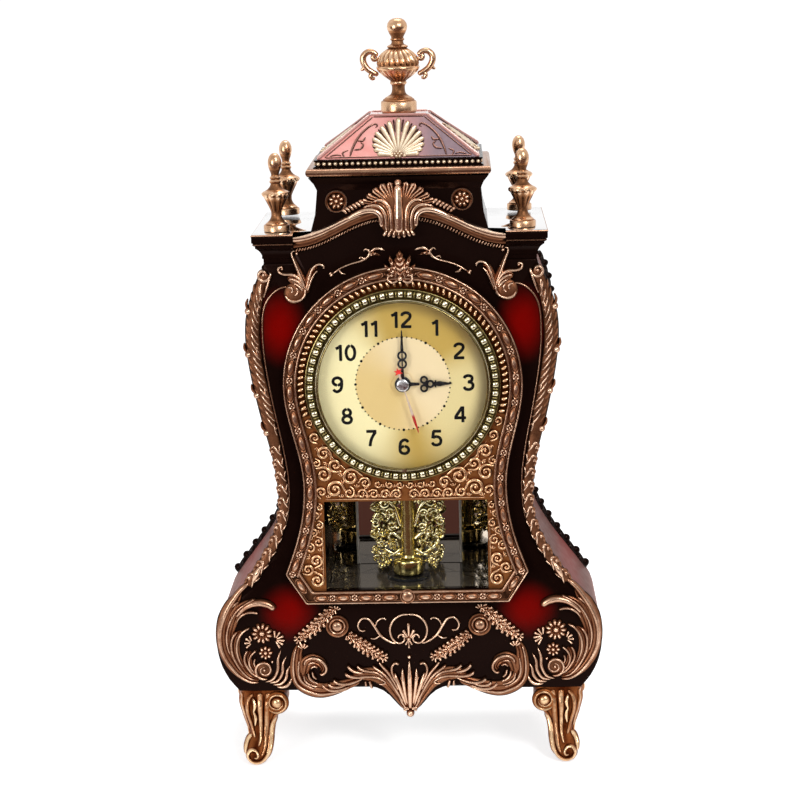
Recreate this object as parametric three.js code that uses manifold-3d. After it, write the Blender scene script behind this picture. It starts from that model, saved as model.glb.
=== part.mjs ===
// An ornate table clock: a waisted case on scrolled feet, a round dial with three hands, a
// mirrored niche with a turning pendulum, a stepped roof and an urn.
// Millimetres, +Z up, front towards -Y, origin on the table under the middle of the case.
import * as THREE from 'three';
import { mergeVertices } from 'three/addons/utils/BufferGeometryUtils.js';
import Module from 'manifold-3d';

const wasm = await Module();
wasm.setup();

// Fits between pieces
const SEAT_GAP = 0.3;
const RUN_GAP = 0.15;
const GEAR_SIDE_GAP = 0.45;

// Dial, bezel and frame, from the middle outwards
const DIAL_RADIUS = 51.2;
const BEZEL_WIDTH = 8;
const FLUTED_BAND = 5.6;
const BEAD_BORDER = 8.3;
const BORDER_RISE = 1.8;
const FRAME_WALL = 3;
const FRAME_FLARE = 12.4;
const FRAME_CHAMFER = 12;
const DIAL_WALL = 1;
const DIAL_LAP = 3;
const LENS_WALL = 1.2;
const LENS_LAP = 1.8;
const BEZEL_LIP = 0.8;

// Heights, from the table up
const FOOT_HEIGHT = 47;
const APRON_HEIGHT = 54.7;
const SILL_HEIGHT = 11.8;
const WINDOW_HEIGHT = 56.7;
const TRANSOM_HEIGHT = 13.8;
const SPANDREL_HEIGHT = 2.5;
const CORNICE_HEIGHT = 17.7;
const ATTIC_HEIGHT = 32;
const FASCIA_HEIGHT = 5.2;
const PLINTH_HEIGHT = 4.8;
const ROOF_HEIGHT = 24;
const URN_HEIGHT = 57.4;
const FINIAL_HEIGHT = 47.6;
const BELLY_RISE = 36;
const SHOULDER_LIFT = 30.5;

// Half widths, from the window outwards
const WINDOW_HALF_WIDTH = 50.5;
const STILE_WIDTH = 12.1;
const CASE_BORDER = 14.4;
const BELLY_FLARE = 44;
const BASE_DRAW = 13.5;
const SHOULDER_MARGIN = 19.9;
const NECK_DRAW = 10.5;
const CORNICE_OVERHANG = 6.5;
const BLOCK_WIDTH = 25;
const ATTIC_INSET = 35.4;
const ATTIC_LEAN = 4;
const ATTIC_WALL = 3.5;
const FASCIA_OVERHANG = 6.2;
const ROOF_INSET = 10.7;
const ROOF_LEDGE_X = 6.2;
const ROOF_LEDGE_Y = 2.1;
const ROOF_WALL = 3;
const URN_BOWL_RADIUS = 13;
const URN_BASE_RADIUS = 11.4;
const FINIAL_RADIUS = 8.5;
const FINIAL_SETBACK = 15;

// Walls and depths
const CASE_DEPTH = 100;
const FRONT_WALL = 4;
const SIDE_WALL = 3;
const BACK_WALL = 3;
const BASE_WALL = 3;
const CORNICE_PROJECTION = 6;
const DECK_WALL = 5;
const CORNICE_RIM = 10;
const ATTIC_SETBACK = 6;
const PEDIMENT_RISE = 17.5;
const PEDIMENT_FLAT = 8;
const PEDIMENT_THICKNESS = 8.5;
const PEDIMENT_PROJECTION = 6;
const RELIEF = 3.4;
const TRIM_WIDTH = 8.5;
const TRIM_OVERHANG = 2.4;
const LEAF_COUNT = 15;

// Feet
const KNEE_HALF = 15.5;
const ANKLE_HALF = 6.7;
const TOE_HALF = 8.8;
const PAD_HALF = 5;
const KNEE_INSET = 14.6;
const TOE_REACH_X = 7;
const TOE_REACH_Y = 16.7;
const VOLUTE_RADIUS = 7.4;

// Niche and pendulum
const NICHE_BACK_HALF = 33;
const MIRROR_WALL = 2;
const FLOOR_WALL = 3;
const NICHE_HEADROOM = 9;
const NICHE_CLEARANCE = 2.5;
const FLOOR_DROP = 1.8;
const PENDULUM_RADIUS = 24.4;
const PENDULUM_CLEARANCE = 1.1;
const NICHE_BACK_GAP = 4;
const COLUMN_RADIUS = 4.5;
const CUP_RADIUS = 9.8;
const CUP_HEIGHT = 10.3;
const DISC_RADIUS = 13.5;
const DISC_WALL = 1.8;
const PIVOT_RADIUS = 1.2;
const PIVOT_LENGTH = 4;
const COIL_RADIUS = 12;
const COIL_HEIGHT = 8;

// Movement behind the dial, from the cell and the arbors outwards
const CELL_RADIUS = 7.2;
const CELL_LENGTH = 50;
const CELL_GAP = 0.4;
const CELL_END_WALL = 2.6;
const CELL_FRONT_WALL = 1.6;
const MOVEMENT_WALL = 1.3;
const MOVEMENT_HEADROOM = 10.5;
const TRAIN_GAP = 0.9;
const COVER_WALL = 2.4;
const MOTOR_WIDTH = 12;
const SECOND_ARBOR = 0.5;
const MINUTE_TUBE_WALL = 0.85;
const HOUR_TUBE_WALL = 0.95;
const NECK_WALL = 1.05;
const NUT_RIM = 2.4;
const NUT_WALL = 1.2;
const HAND_WALL = 0.8;
const HAND_GAP = 0.4;
const CAP_RADIUS = 4.4;
const CAP_HEIGHT = 0.9;
const MINUTE_LENGTH = 34;
const HOUR_LENGTH = 30;
const SECOND_LENGTH = 31.6;
const SECOND_TAIL = 11;
const GEAR_WALL = 1.5;
const KNOB_RADIUS = 5.5;
const KNOB_LENGTH = 5.5;
const MOTION_ARBOR = 1;

// Motion work: cannon pinion to motion wheel, motion pinion to hour wheel, 12 to 1 in all
const CANNON_TEETH = 8;
const MOTION_TEETH = 24;
const MOTION_PINION_TEETH = 8;
const HOUR_TEETH = 32;
const CANNON_MODULE = 0.6;
const ADDENDUM = 0.8;
const DEDENDUM = 1.1;

// Access door in the back cover
const DOOR_WIDTH = 69;
const DOOR_HEIGHT = 84;
const DOOR_GAP = 0.5;
const DOOR_WALL = 2.4;
const HINGE_PIN = 0.9;
const HINGE_WALL = 0.7;
const HINGE_LUG = 5;
const LIP_HEIGHT = 18;
const LIP_WIDTH = 4;
const LIP_RISE = 3;

// Time shown: clockwise angles of the hands in degrees
const HOUR_ANGLE = 90;
const MINUTE_ANGLE = 0;
const SECOND_ANGLE = 163;

// Worked-out radii and half widths
const BEZEL_RADIUS = DIAL_RADIUS + BEZEL_WIDTH;
const ARCH_RADIUS = BEZEL_RADIUS + FLUTED_BAND + BEAD_BORDER;
const LENS_RADIUS = DIAL_RADIUS + LENS_LAP;
const DIAL_HOLE = LENS_RADIUS + 2 * SEAT_GAP;
const DIAL_PLATE = DIAL_HOLE + DIAL_LAP;
const WAIST_HALF = WINDOW_HALF_WIDTH + STILE_WIDTH + CASE_BORDER;
const BELLY_HALF = WAIST_HALF + BELLY_FLARE;
const BASE_HALF = BELLY_HALF - BASE_DRAW;
const SHOULDER_HALF = ARCH_RADIUS + SHOULDER_MARGIN;
const NECK_HALF = SHOULDER_HALF - NECK_DRAW;
const CORNICE_HALF = NECK_HALF + CORNICE_OVERHANG;
const BLOCK_INNER = CORNICE_HALF - BLOCK_WIDTH;
const ATTIC_HALF = CORNICE_HALF - ATTIC_INSET;
const FASCIA_HALF = ATTIC_HALF - ATTIC_LEAN + FASCIA_OVERHANG;
const ROOF_HALF = FASCIA_HALF - ROOF_INSET;

// Worked-out heights
const CASE_Z = FOOT_HEIGHT + SEAT_GAP;
const SILL_Z = CASE_Z + APRON_HEIGHT;
const WINDOW_Z = SILL_Z + SILL_HEIGHT;
const WINDOW_TOP_Z = WINDOW_Z + WINDOW_HEIGHT;
const DIAL_Z = WINDOW_TOP_Z + TRANSOM_HEIGHT + BEZEL_RADIUS;
const NECK_Z = DIAL_Z + ARCH_RADIUS + SPANDREL_HEIGHT;
const BELLY_Z = CASE_Z + BELLY_RISE;
const SHOULDER_Z = DIAL_Z + SHOULDER_LIFT;
const CORNICE_Z = NECK_Z + SEAT_GAP;
const DECK_Z = CORNICE_Z + CORNICE_HEIGHT;
const ATTIC_Z = DECK_Z + SEAT_GAP;
const FASCIA_Z = ATTIC_Z + ATTIC_HEIGHT + SEAT_GAP;
const ROOF_Z = FASCIA_Z + FASCIA_HEIGHT + PLINTH_HEIGHT + SEAT_GAP;
const URN_Z = ROOF_Z + ROOF_HEIGHT + SEAT_GAP;

// Worked-out depths, front towards -Y
const FRONT_Y = -CASE_DEPTH / 2;
const BACK_Y = CASE_DEPTH / 2;
const INNER_FRONT_Y = FRONT_Y + FRONT_WALL;
const INNER_BACK_Y = BACK_Y - BACK_WALL;
const RELIEF_Y = FRONT_Y - SEAT_GAP;
const FRAME_FRONT_Y = RELIEF_Y - FRAME_WALL;
const CORNICE_DEPTH = CASE_DEPTH / 2 + CORNICE_PROJECTION;
const PEDIMENT_Y = FRONT_Y - PEDIMENT_PROJECTION;
const PENDULUM_Y = INNER_FRONT_Y + PENDULUM_RADIUS + PENDULUM_CLEARANCE;

// Worked-out tubes of the hands, one in another
const MINUTE_BORE = SECOND_ARBOR + RUN_GAP;
const MINUTE_TUBE = MINUTE_BORE + MINUTE_TUBE_WALL;
const HOUR_BORE = MINUTE_TUBE + RUN_GAP;
const HOUR_TUBE = HOUR_BORE + HOUR_TUBE_WALL;
const NECK_BORE = HOUR_TUBE + RUN_GAP;
const NECK_TUBE = NECK_BORE + NECK_WALL;

const degrees = THREE.MathUtils.degToRad;
const point = (x, z) => new THREE.Vector2(x, z);

// Materials
function finish(color, roughness, metalness) {
  return new THREE.MeshStandardMaterial({ color, roughness, metalness });
}
const lacquer = finish(0x2a0f0c, 0.25, 0);
const bronze = finish(0x9a6237, 0.35, 0.85);
const gold = finish(0xb98c4f, 0.3, 0.9);
const paleGold = finish(0xd8c98c, 0.3, 0.7);
const rosewood = finish(0x8c1b22, 0.2, 0);
const mirror = finish(0xd9dde0, 0.03, 1);
const clear = finish(0xf4f8fa, 0.05, 0);
const blackEnamel = finish(0x0b0b0b, 0.35, 0);
const redEnamel = finish(0xc41e1e, 0.4, 0);
const steel = finish(0xc0c3c6, 0.25, 1);
const nylon = finish(0xe6e2d6, 0.5, 0);
const blackPlastic = finish(0x151515, 0.5, 0);
const tile = finish(0x3c3e42, 0.12, 0);
const brass = finish(0xc9a24a, 0.25, 1);

const clock = new THREE.Group();
clock.name = 'table_clock';

function add(name, geometry, material, parent = clock) {
  const piece = new THREE.Mesh(geometry, material);
  piece.name = name;
  parent.add(piece);
  return piece;
}

// Solids are joined and cut as closed bodies
const WELD = 1e-4;

function solid(geometry) {
  const bare = new THREE.BufferGeometry();
  bare.setAttribute('position', geometry.attributes.position);
  bare.setIndex(geometry.index);
  const welded = mergeVertices(bare, WELD);
  const corners = welded.index.array;
  const kept = [];
  for (let i = 0; i < corners.length; i += 3) {
    const [a, b, c] = corners.slice(i, i + 3);
    if (a !== b && b !== c && c !== a) kept.push(a, b, c);
  }
  const vertProperties = new Float32Array(welded.attributes.position.array);
  const triVerts = new Uint32Array(kept);
  return new wasm.Manifold(new wasm.Mesh({ numProp: 3, vertProperties, triVerts }));
}

function surface(body) {
  const { vertProperties, triVerts } = body.getMesh();
  const geometry = new THREE.BufferGeometry();
  geometry.setAttribute('position', new THREE.BufferAttribute(vertProperties, 3));
  geometry.setIndex(new THREE.BufferAttribute(triVerts, 1));
  geometry.computeVertexNormals();
  return geometry;
}

function join(...pieces) {
  return surface(pieces.map(solid).reduce((whole, piece) => whole.add(piece)));
}

function cut(piece, ...tools) {
  return surface(tools.map(solid).reduce((left, tool) => left.subtract(tool), solid(piece)));
}

// A closed skin over a row of convex rings with equal point counts, flat at both ends
function loft(rings) {
  const count = rings[0].length;
  const corners = rings.flat();
  const faces = [];
  for (let ring = 0; ring + 1 < rings.length; ring += 1) {
    for (let k = 0; k < count; k += 1) {
      const a = ring * count + k;
      const b = ring * count + ((k + 1) % count);
      faces.push([a, b, a + count], [b, b + count, a + count]);
    }
  }
  const last = (rings.length - 1) * count;
  for (let k = 1; k + 1 < count; k += 1) {
    faces.push([0, k + 1, k], [last, last + k, last + k + 1]);
  }
  const volume = faces.reduce((sum, [a, b, c]) => {
    return sum + corners[a].dot(corners[b].clone().cross(corners[c]));
  }, 0);
  const outward = volume > 0 ? faces : faces.map(([a, b, c]) => [a, c, b]);
  const geometry = new THREE.BufferGeometry();
  geometry.setFromPoints(corners);
  geometry.setIndex(outward.flat());
  geometry.computeVertexNormals();
  return geometry;
}

// A flat plate: an outline in the XZ plane with holes, from one Y to another
function plate(outline, holes, frontY, backY) {
  const shape = new THREE.Shape(outline);
  shape.holes = holes.map((hole) => new THREE.Path(hole));
  const options = { depth: backY - frontY, bevelEnabled: false };
  const geometry = new THREE.ExtrudeGeometry(shape, options);
  geometry.rotateX(Math.PI / 2);
  geometry.translate(0, backY, 0);
  return geometry;
}

function circle(x, z, radius, sides) {
  const steps = Array.from({ length: sides }, (_, k) => (k * 2 * Math.PI) / sides);
  return steps.map((a) => point(x + radius * Math.cos(a), z + radius * Math.sin(a)));
}

function rectangle(x0, z0, x1, z1) {
  return [point(x0, z0), point(x1, z0), point(x1, z1), point(x0, z1)];
}

// A round bar along X, Y or Z between two stations
function bar(axis, u, v, radius, from, to, sides = 16) {
  const ring = (t) => circle(u, v, radius, sides).map((p) => {
    if (axis === 'x') return new THREE.Vector3(t, p.x, p.y);
    if (axis === 'y') return new THREE.Vector3(p.x, t, p.y);
    return new THREE.Vector3(p.x, p.y, t);
  });
  return loft([ring(from), ring(to)]);
}

function block(x0, x1, y0, y1, z0, z1) {
  const box = new THREE.BoxGeometry(x1 - x0, y1 - y0, z1 - z0);
  box.translate((x0 + x1) / 2, (y0 + y1) / 2, (z0 + z1) / 2);
  return box;
}

// A rectangular moulding: half width, half depth and height of each level
function moulding(levels) {
  return loft(levels.map(([x, y, z]) => [
    new THREE.Vector3(-x, -y, z),
    new THREE.Vector3(x, -y, z),
    new THREE.Vector3(x, y, z),
    new THREE.Vector3(-x, y, z),
  ]));
}

// A turned form about Z; with lobes, its radius waves in and out as gadroons do
function turned(profile, sides, lobes = 0) {
  return loft(profile.map(([radius, z, depth = 0]) => {
    return Array.from({ length: sides }, (_, k) => {
      const angle = (k * 2 * Math.PI) / sides;
      const reach = radius * (1 + depth * Math.cos(lobes * angle));
      return new THREE.Vector3(reach * Math.cos(angle), reach * Math.sin(angle), z);
    });
  }));
}

function smooth(points, steps) {
  return new THREE.SplineCurve(points).getPoints(steps);
}

function sideways(path, k) {
  const before = path[Math.max(k - 1, 0)];
  const after = path[Math.min(k + 1, path.length - 1)];
  const along = after.clone().sub(before).normalize();
  return point(along.y, -along.x);
}

// A raised strand on a flat ground: a ridge along a path in the XZ plane, whose width and
// height follow the path from 0 to 1
function strand(path, width, height, groundY = RELIEF_Y) {
  return loft(path.map((p, k) => {
    const t = k / (path.length - 1);
    const side = sideways(path, k);
    const half = width(t) / 2;
    const crestY = groundY - height(t);
    const at = (share, y) => {
      return new THREE.Vector3(p.x + side.x * half * share, y, p.y + side.y * half * share);
    };
    return [at(-1, groundY), at(-0.45, crestY), at(0.45, crestY), at(1, groundY)];
  }));
}

const taper = (start, end) => (t) => start + (end - start) * t;
const swell = (ends, middle) => (t) => ends + (middle - ends) * Math.sin(Math.PI * t);

// A round tube along a path in space
function tube(points, radius, steps, sides = 6) {
  const section = new THREE.Shape(circle(0, 0, radius, sides));
  const extrudePath = new THREE.CatmullRomCurve3(points);
  return new THREE.ExtrudeGeometry(section, { steps, extrudePath, bevelEnabled: false });
}

// The same piece on the other side of the middle plane
function mirrored(geometry) {
  const copy = geometry.clone();
  copy.deleteAttribute('normal');
  copy.deleteAttribute('uv');
  const whole = copy.index ? copy : mergeVertices(copy, WELD);
  whole.scale(-1, 1, 1);
  const corners = whole.index.array;
  for (let i = 0; i < corners.length; i += 3) {
    [corners[i], corners[i + 1]] = [corners[i + 1], corners[i]];
  }
  whole.computeVertexNormals();
  return whole;
}

function pair(name, geometry, material) {
  add(`${name}_right`, geometry, material);
  add(`${name}_left`, mirrored(geometry), material);
}

// Case edge: half width against height, upright at the belly, the waist and the shoulder
function bend(x0, z0, x1, z1, hold0, hold1, lean0 = 0, lean1 = 0) {
  const rise = z1 - z0;
  return new THREE.CubicBezierCurve(
    point(x0, z0),
    point(x0 + lean0, z0 + rise * hold0),
    point(x1 - lean1, z1 - rise * hold1),
    point(x1, z1),
  );
}
const BASE_LEAN = 9.5;
const NECK_LEAN = -2.5;
const caseBends = [
  bend(BASE_HALF, CASE_Z, BELLY_HALF, BELLY_Z, 0.27, 0.43, BASE_LEAN),
  bend(BELLY_HALF, BELLY_Z, WAIST_HALF, WINDOW_TOP_Z, 0.23, 0.43),
  bend(WAIST_HALF, WINDOW_TOP_Z, SHOULDER_HALF, SHOULDER_Z, 0.32, 0.28),
  bend(SHOULDER_HALF, SHOULDER_Z, NECK_HALF, NECK_Z, 0.49, 0.22, 0, NECK_LEAN),
];
const BEND_STEPS = [4, 8, 7, 5];
const EDGE_SAMPLES = 120;

function edgePoints(steps) {
  const runs = caseBends.map((curve, k) => curve.getPoints(steps[k]));
  return runs.flatMap((run, k) => (k === 0 ? run : run.slice(1)));
}
const fineEdge = edgePoints(BEND_STEPS.map(() => EDGE_SAMPLES));

// The case edge at a height, moved square to itself by an inset
function edgeAt(z, inset = 0) {
  const after = fineEdge.findIndex((p) => p.y >= z);
  const k = after < 0 ? fineEdge.length - 1 : Math.max(after, 1);
  const low = fineEdge[k - 1];
  const high = fineEdge[k];
  const t = (z - low.y) / (high.y - low.y);
  const side = sideways(fineEdge, k);
  return point(low.x + (high.x - low.x) * t - side.x * inset, z - side.y * inset);
}

function edgeStretch(z0, z1, inset, steps) {
  return Array.from({ length: steps + 1 }, (_, k) => edgeAt(z0 + ((z1 - z0) * k) / steps, inset));
}

function bothSides(right) {
  const left = right.map((p) => point(-p.x, p.y)).reverse();
  return [...right, ...left];
}

// Pediment: the upper edge of the curved moulding over the dial
function pedimentTop(x) {
  const reach = Math.max(Math.abs(x) - PEDIMENT_FLAT, 0) / (BLOCK_INNER - PEDIMENT_FLAT);
  return DECK_Z - 1.5 + (PEDIMENT_RISE * (1 + Math.cos(Math.PI * Math.min(reach, 1)))) / 2;
}

// Lower edge of the front: a shallow scallop at each side and a pendant in the middle
const APRON_HALF = BASE_HALF - KNEE_INSET - KNEE_HALF - VOLUTE_RADIUS;
const PENDANT_DROP = 16.5;
const apronEdge = smooth([
  point(0, CASE_Z - PENDANT_DROP),
  point(APRON_HALF * 0.09, CASE_Z - PENDANT_DROP * 0.72),
  point(APRON_HALF * 0.24, CASE_Z - 1),
  point(APRON_HALF * 0.45, CASE_Z + 2.2),
  point(APRON_HALF * 0.8, CASE_Z - 2.6),
  point(APRON_HALF, CASE_Z),
], 15);

// Front panel: waisted board with the tympanum under the pediment, open at dial and window
const PANEL_EASE = 1;
function frontPanel() {
  const half = BLOCK_INNER - SEAT_GAP;
  const steps = 10;
  const tympanum = Array.from({ length: steps + 1 }, (_, k) => {
    const x = half * (1 - k / steps);
    return point(x, pedimentTop(x) - PEDIMENT_THICKNESS - SEAT_GAP);
  });
  const right = [...apronEdge, ...edgePoints(BEND_STEPS), point(half, NECK_Z), ...tympanum];
  const unique = right.slice(1, -1);
  const outline = [right[0], ...unique, right.at(-1), ...unique.map((p) => point(-p.x, p.y)).reverse()];
  const window = rectangle(
    -WINDOW_HALF_WIDTH - PANEL_EASE, WINDOW_Z - PANEL_EASE,
    WINDOW_HALF_WIDTH + PANEL_EASE, WINDOW_TOP_Z + PANEL_EASE,
  );
  const dialHole = circle(0, DIAL_Z, DIAL_PLATE + 2 * SEAT_GAP, 32);
  return plate(outline, [window, dialHole], FRONT_Y, INNER_FRONT_Y);
}
add('front_panel', frontPanel(), lacquer);

// Side panels: bent walls that follow the case edge between front and back
const SIDE_Z = CASE_Z + BASE_WALL + SEAT_GAP;
function sidePanel() {
  const outer = edgePoints(BEND_STEPS).filter((p) => p.y > SIDE_Z);
  outer.unshift(edgeAt(SIDE_Z));
  const inner = outer.map((p) => edgeAt(p.y, SIDE_WALL)).map((p, k) => point(p.x, outer[k].y));
  return plate([...outer, ...inner.reverse()], [], INNER_FRONT_Y + SEAT_GAP, INNER_BACK_Y - SEAT_GAP);
}
pair('side_panel', sidePanel(), lacquer);

// Base plate between front and back, carrying the feet below and the walls above
add('base_plate', block(
  -BASE_HALF, BASE_HALF, INNER_FRONT_Y + SEAT_GAP, INNER_BACK_Y - SEAT_GAP, CASE_Z, CASE_Z + BASE_WALL,
), blackPlastic);

// Back cover with a doorway and two lugs for the door's hinge pins
const DOOR_Z = DIAL_Z - DOOR_HEIGHT / 2;
const DOORWAY_HALF = DOOR_WIDTH / 2 + DOOR_GAP;
const HINGE_RADIUS = HINGE_PIN + HINGE_WALL;
const HINGE_X = DOORWAY_HALF;
const HINGE_Y = BACK_Y + HINGE_RADIUS + SEAT_GAP;
const PIN_REACH = DOOR_GAP + HINGE_LUG * 0.6;
function backCover() {
  const outline = bothSides(edgePoints(BEND_STEPS));
  const doorTop = DOOR_Z + DOOR_HEIGHT;
  const doorway = rectangle(-DOORWAY_HALF, DOOR_Z - DOOR_GAP, DOORWAY_HALF, doorTop + DOOR_GAP);
  const cover = plate(outline, [doorway], INNER_BACK_Y, BACK_Y);
  const reach = HINGE_RADIUS + HINGE_WALL;
  const lug = (z) => {
    return block(HINGE_X - reach, HINGE_X + reach, INNER_BACK_Y + 1, HINGE_Y + reach, z, z + HINGE_LUG);
  };
  const hole = (z0, z1) => bar('z', HINGE_X, HINGE_Y, HINGE_PIN + RUN_GAP, z0, z1, 12);
  const lugs = [lug(DOOR_Z - DOOR_GAP - HINGE_LUG), lug(doorTop + DOOR_GAP)];
  const lowHole = hole(DOOR_Z - PIN_REACH - SEAT_GAP, DOOR_Z);
  const highHole = hole(doorTop, doorTop + PIN_REACH + SEAT_GAP);
  return cut(join(cover, ...lugs), lowHole, highHole);
}
add('back_cover', backCover(), blackPlastic);

// Access door: a plate in the doorway on a barrel with two pins, and a finger lip
function accessDoor() {
  const half = DOOR_WIDTH / 2;
  const doorTop = DOOR_Z + DOOR_HEIGHT;
  const leafY = INNER_BACK_Y + SEAT_GAP;
  const faceY = leafY + DOOR_WALL;
  const leaf = block(-half, half, leafY, faceY, DOOR_Z, doorTop);
  const knuckle = block(half - HINGE_RADIUS * 2, half, faceY - 1, HINGE_Y + HINGE_WALL, DOOR_Z, doorTop);
  const barrel = bar('z', HINGE_X, HINGE_Y, HINGE_RADIUS, DOOR_Z, doorTop, 12);
  const pin = bar('z', HINGE_X, HINGE_Y, HINGE_PIN, DOOR_Z - PIN_REACH, doorTop + PIN_REACH, 12);
  const lipX = -half + LIP_WIDTH;
  const lip = block(
    lipX, lipX + LIP_WIDTH, faceY - 1, BACK_Y + LIP_RISE, DIAL_Z - LIP_HEIGHT / 2, DIAL_Z + LIP_HEIGHT / 2,
  );
  return join(leaf, knuckle, barrel, pin, lip);
}
add('access_door', accessDoor(), blackPlastic);

// Feet: a square knee under each corner that thins to an ankle, leans out to a rounded toe,
// and carries a volute on its front and on its side
const KNEE_X = BASE_HALF - KNEE_INSET;
const KNEE_Y = CASE_DEPTH / 2 - KNEE_HALF;
const FOOT_SIDES = 10;
function foot(sideX, sideY) {
  const levels = [
    [1, KNEE_HALF, 0, 4],
    [0.8, KNEE_HALF * 0.98, 0.03, 4],
    [0.66, (KNEE_HALF + ANKLE_HALF) * 0.57, 0.18, 3],
    [0.52, ANKLE_HALF * 1.3, 0.42, 2.5],
    [0.38, ANKLE_HALF, 0.62, 2],
    [0.27, ANKLE_HALF * 1.06, 0.82, 2],
    [0.17, TOE_HALF, 1, 2],
    [0.07, TOE_HALF * 0.86, 1, 2],
    [0, PAD_HALF, 0.98, 2],
  ];
  const leg = loft(levels.map(([height, half, lean, power]) => {
    const ring = circle(0, 0, 1, FOOT_SIDES);
    const bulge = (value) => half * Math.sign(value) * Math.abs(value) ** (2 / power);
    return ring.map((p) => new THREE.Vector3(
      sideX * (KNEE_X + TOE_REACH_X * lean + bulge(p.x)),
      sideY * (KNEE_Y + TOE_REACH_Y * lean + bulge(p.y)),
      height * FOOT_HEIGHT,
    ));
  }));
  const z = FOOT_HEIGHT - VOLUTE_RADIUS - 1;
  const inset = KNEE_HALF - VOLUTE_RADIUS * 0.9;
  const faceX = KNEE_X + KNEE_HALF;
  const faceY = KNEE_Y + KNEE_HALF;
  const bury = 3;
  const rise = 1.2;
  const frontVolute = bar(
    'y', sideX * (KNEE_X - inset), z, VOLUTE_RADIUS, sideY * (faceY - bury), sideY * (faceY + rise), 12,
  );
  const sideVolute = bar(
    'x', sideY * (KNEE_Y - inset), z, VOLUTE_RADIUS, sideX * (faceX - bury), sideX * (faceX + rise), 12,
  );
  return join(leg, frontVolute, sideVolute);
}
for (const [row, sideY] of [['front', -1], ['rear', 1]]) {
  for (const [hand, sideX] of [['left', -1], ['right', 1]]) {
    add(`foot_${row}_${hand}`, foot(sideX, sideY), gold);
  }
}

// Shoulder cornice: a moulded slab with a block at each corner, notched at the front for the
// tympanum and hollow below its deck
function shoulderCornice() {
  const level = (out, height) => [
    NECK_HALF + CORNICE_OVERHANG * out,
    CASE_DEPTH / 2 + CORNICE_PROJECTION * out,
    CORNICE_Z + CORNICE_HEIGHT * height,
  ];
  const slab = moulding([
    level(0, 0), level(0, 0.2), level(0.25, 0.36), level(0.75, 0.5),
    level(0.78, 0.6), level(1, 0.66), level(1, 1),
  ]);
  const notch = block(
    -BLOCK_INNER, BLOCK_INNER, -CORNICE_DEPTH - 1, INNER_FRONT_Y + SEAT_GAP, CORNICE_Z - 1, DECK_Z + 1,
  );
  const rim = CORNICE_RIM;
  const hollow = block(
    -NECK_HALF + rim, NECK_HALF - rim, FRONT_Y + rim, BACK_Y - rim, CORNICE_Z - 1, DECK_Z - DECK_WALL,
  );
  return cut(slab, notch, hollow);
}
add('shoulder_cornice', shoulderCornice(), lacquer);

// Pediment: a moulding carried along its curve over the tympanum
function pedimentMoulding() {
  const half = BLOCK_INNER - SEAT_GAP;
  const steps = 18;
  const front = (share) => FRONT_Y - PEDIMENT_PROJECTION * share;
  const profile = [
    [0, INNER_FRONT_Y], [0, front(1)], [0.27, front(1)], [0.45, front(0.55)], [0.75, front(0.35)],
    [1, front(0.2)], [1, INNER_FRONT_Y],
  ];
  return loft(Array.from({ length: steps + 1 }, (_, k) => {
    const x = -half + (2 * half * k) / steps;
    return profile.map(([drop, y]) => {
      return new THREE.Vector3(x, y, pedimentTop(x) - drop * PEDIMENT_THICKNESS);
    });
  }));
}
add('pediment_moulding', pedimentMoulding(), bronze);

// Cartouche on the pediment: a fan of lobes over two curls and a fringe
const CARTOUCHE_RISE = 17;
const CARTOUCHE_HALF = 16;
const CARTOUCHE_DROP = 12;
const CARTOUCHE_RELIEF = 3.2;
function cartouche() {
  const groundY = PEDIMENT_Y - SEAT_GAP;
  const crest = pedimentTop(0);
  const heart = crest - 7;
  const ridge = (points, steps, width, height) => strand(smooth(points, steps), width, height, groundY);
  const lobes = [-58, -29, 29, 58].map((angle) => {
    const reach = crest + CARTOUCHE_RISE - heart - 3 - Math.abs(angle) * 0.08;
    const lean = degrees(angle);
    const tip = point(reach * Math.sin(lean), heart + reach * Math.cos(lean));
    return strand([point(0, heart), tip], taper(4, 7.5), taper(2.6, 1.8), groundY);
  });
  const stem = strand(
    [point(0, crest + CARTOUCHE_RISE), point(0, crest - CARTOUCHE_DROP - 4)],
    taper(4.6, 5), taper(CARTOUCHE_RELIEF, CARTOUCHE_RELIEF), groundY,
  );
  const curls = [-1, 1].map((side) => ridge([
    point(side, crest + 4), point(side * 6, crest + 1), point(side * 9.5, crest - 6),
    point(side * 7, crest - 13), point(side * 2, crest - 12),
  ], 6, swell(4, 6), swell(2, 3)));
  const wings = [-1, 1].map((side) => ridge([
    point(side * 3, crest - 4), point(side * 9, crest - 1), point(side * CARTOUCHE_HALF, crest - 6),
  ], 4, taper(6, 4), taper(3, 1.6)));
  const fringe = [-40, 40].map((angle) => {
    const lean = degrees(angle);
    const reach = CARTOUCHE_DROP - 3;
    const root = point(0, crest - 9);
    const tip = point(reach * Math.sin(lean), root.y - reach * Math.cos(lean));
    return strand([root, tip], taper(4, 4), taper(2.4, 1.4), groundY);
  });
  return join(stem, ...lobes, ...curls, ...wings, ...fringe);
}
add('pediment_cartouche', cartouche(), bronze);

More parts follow.
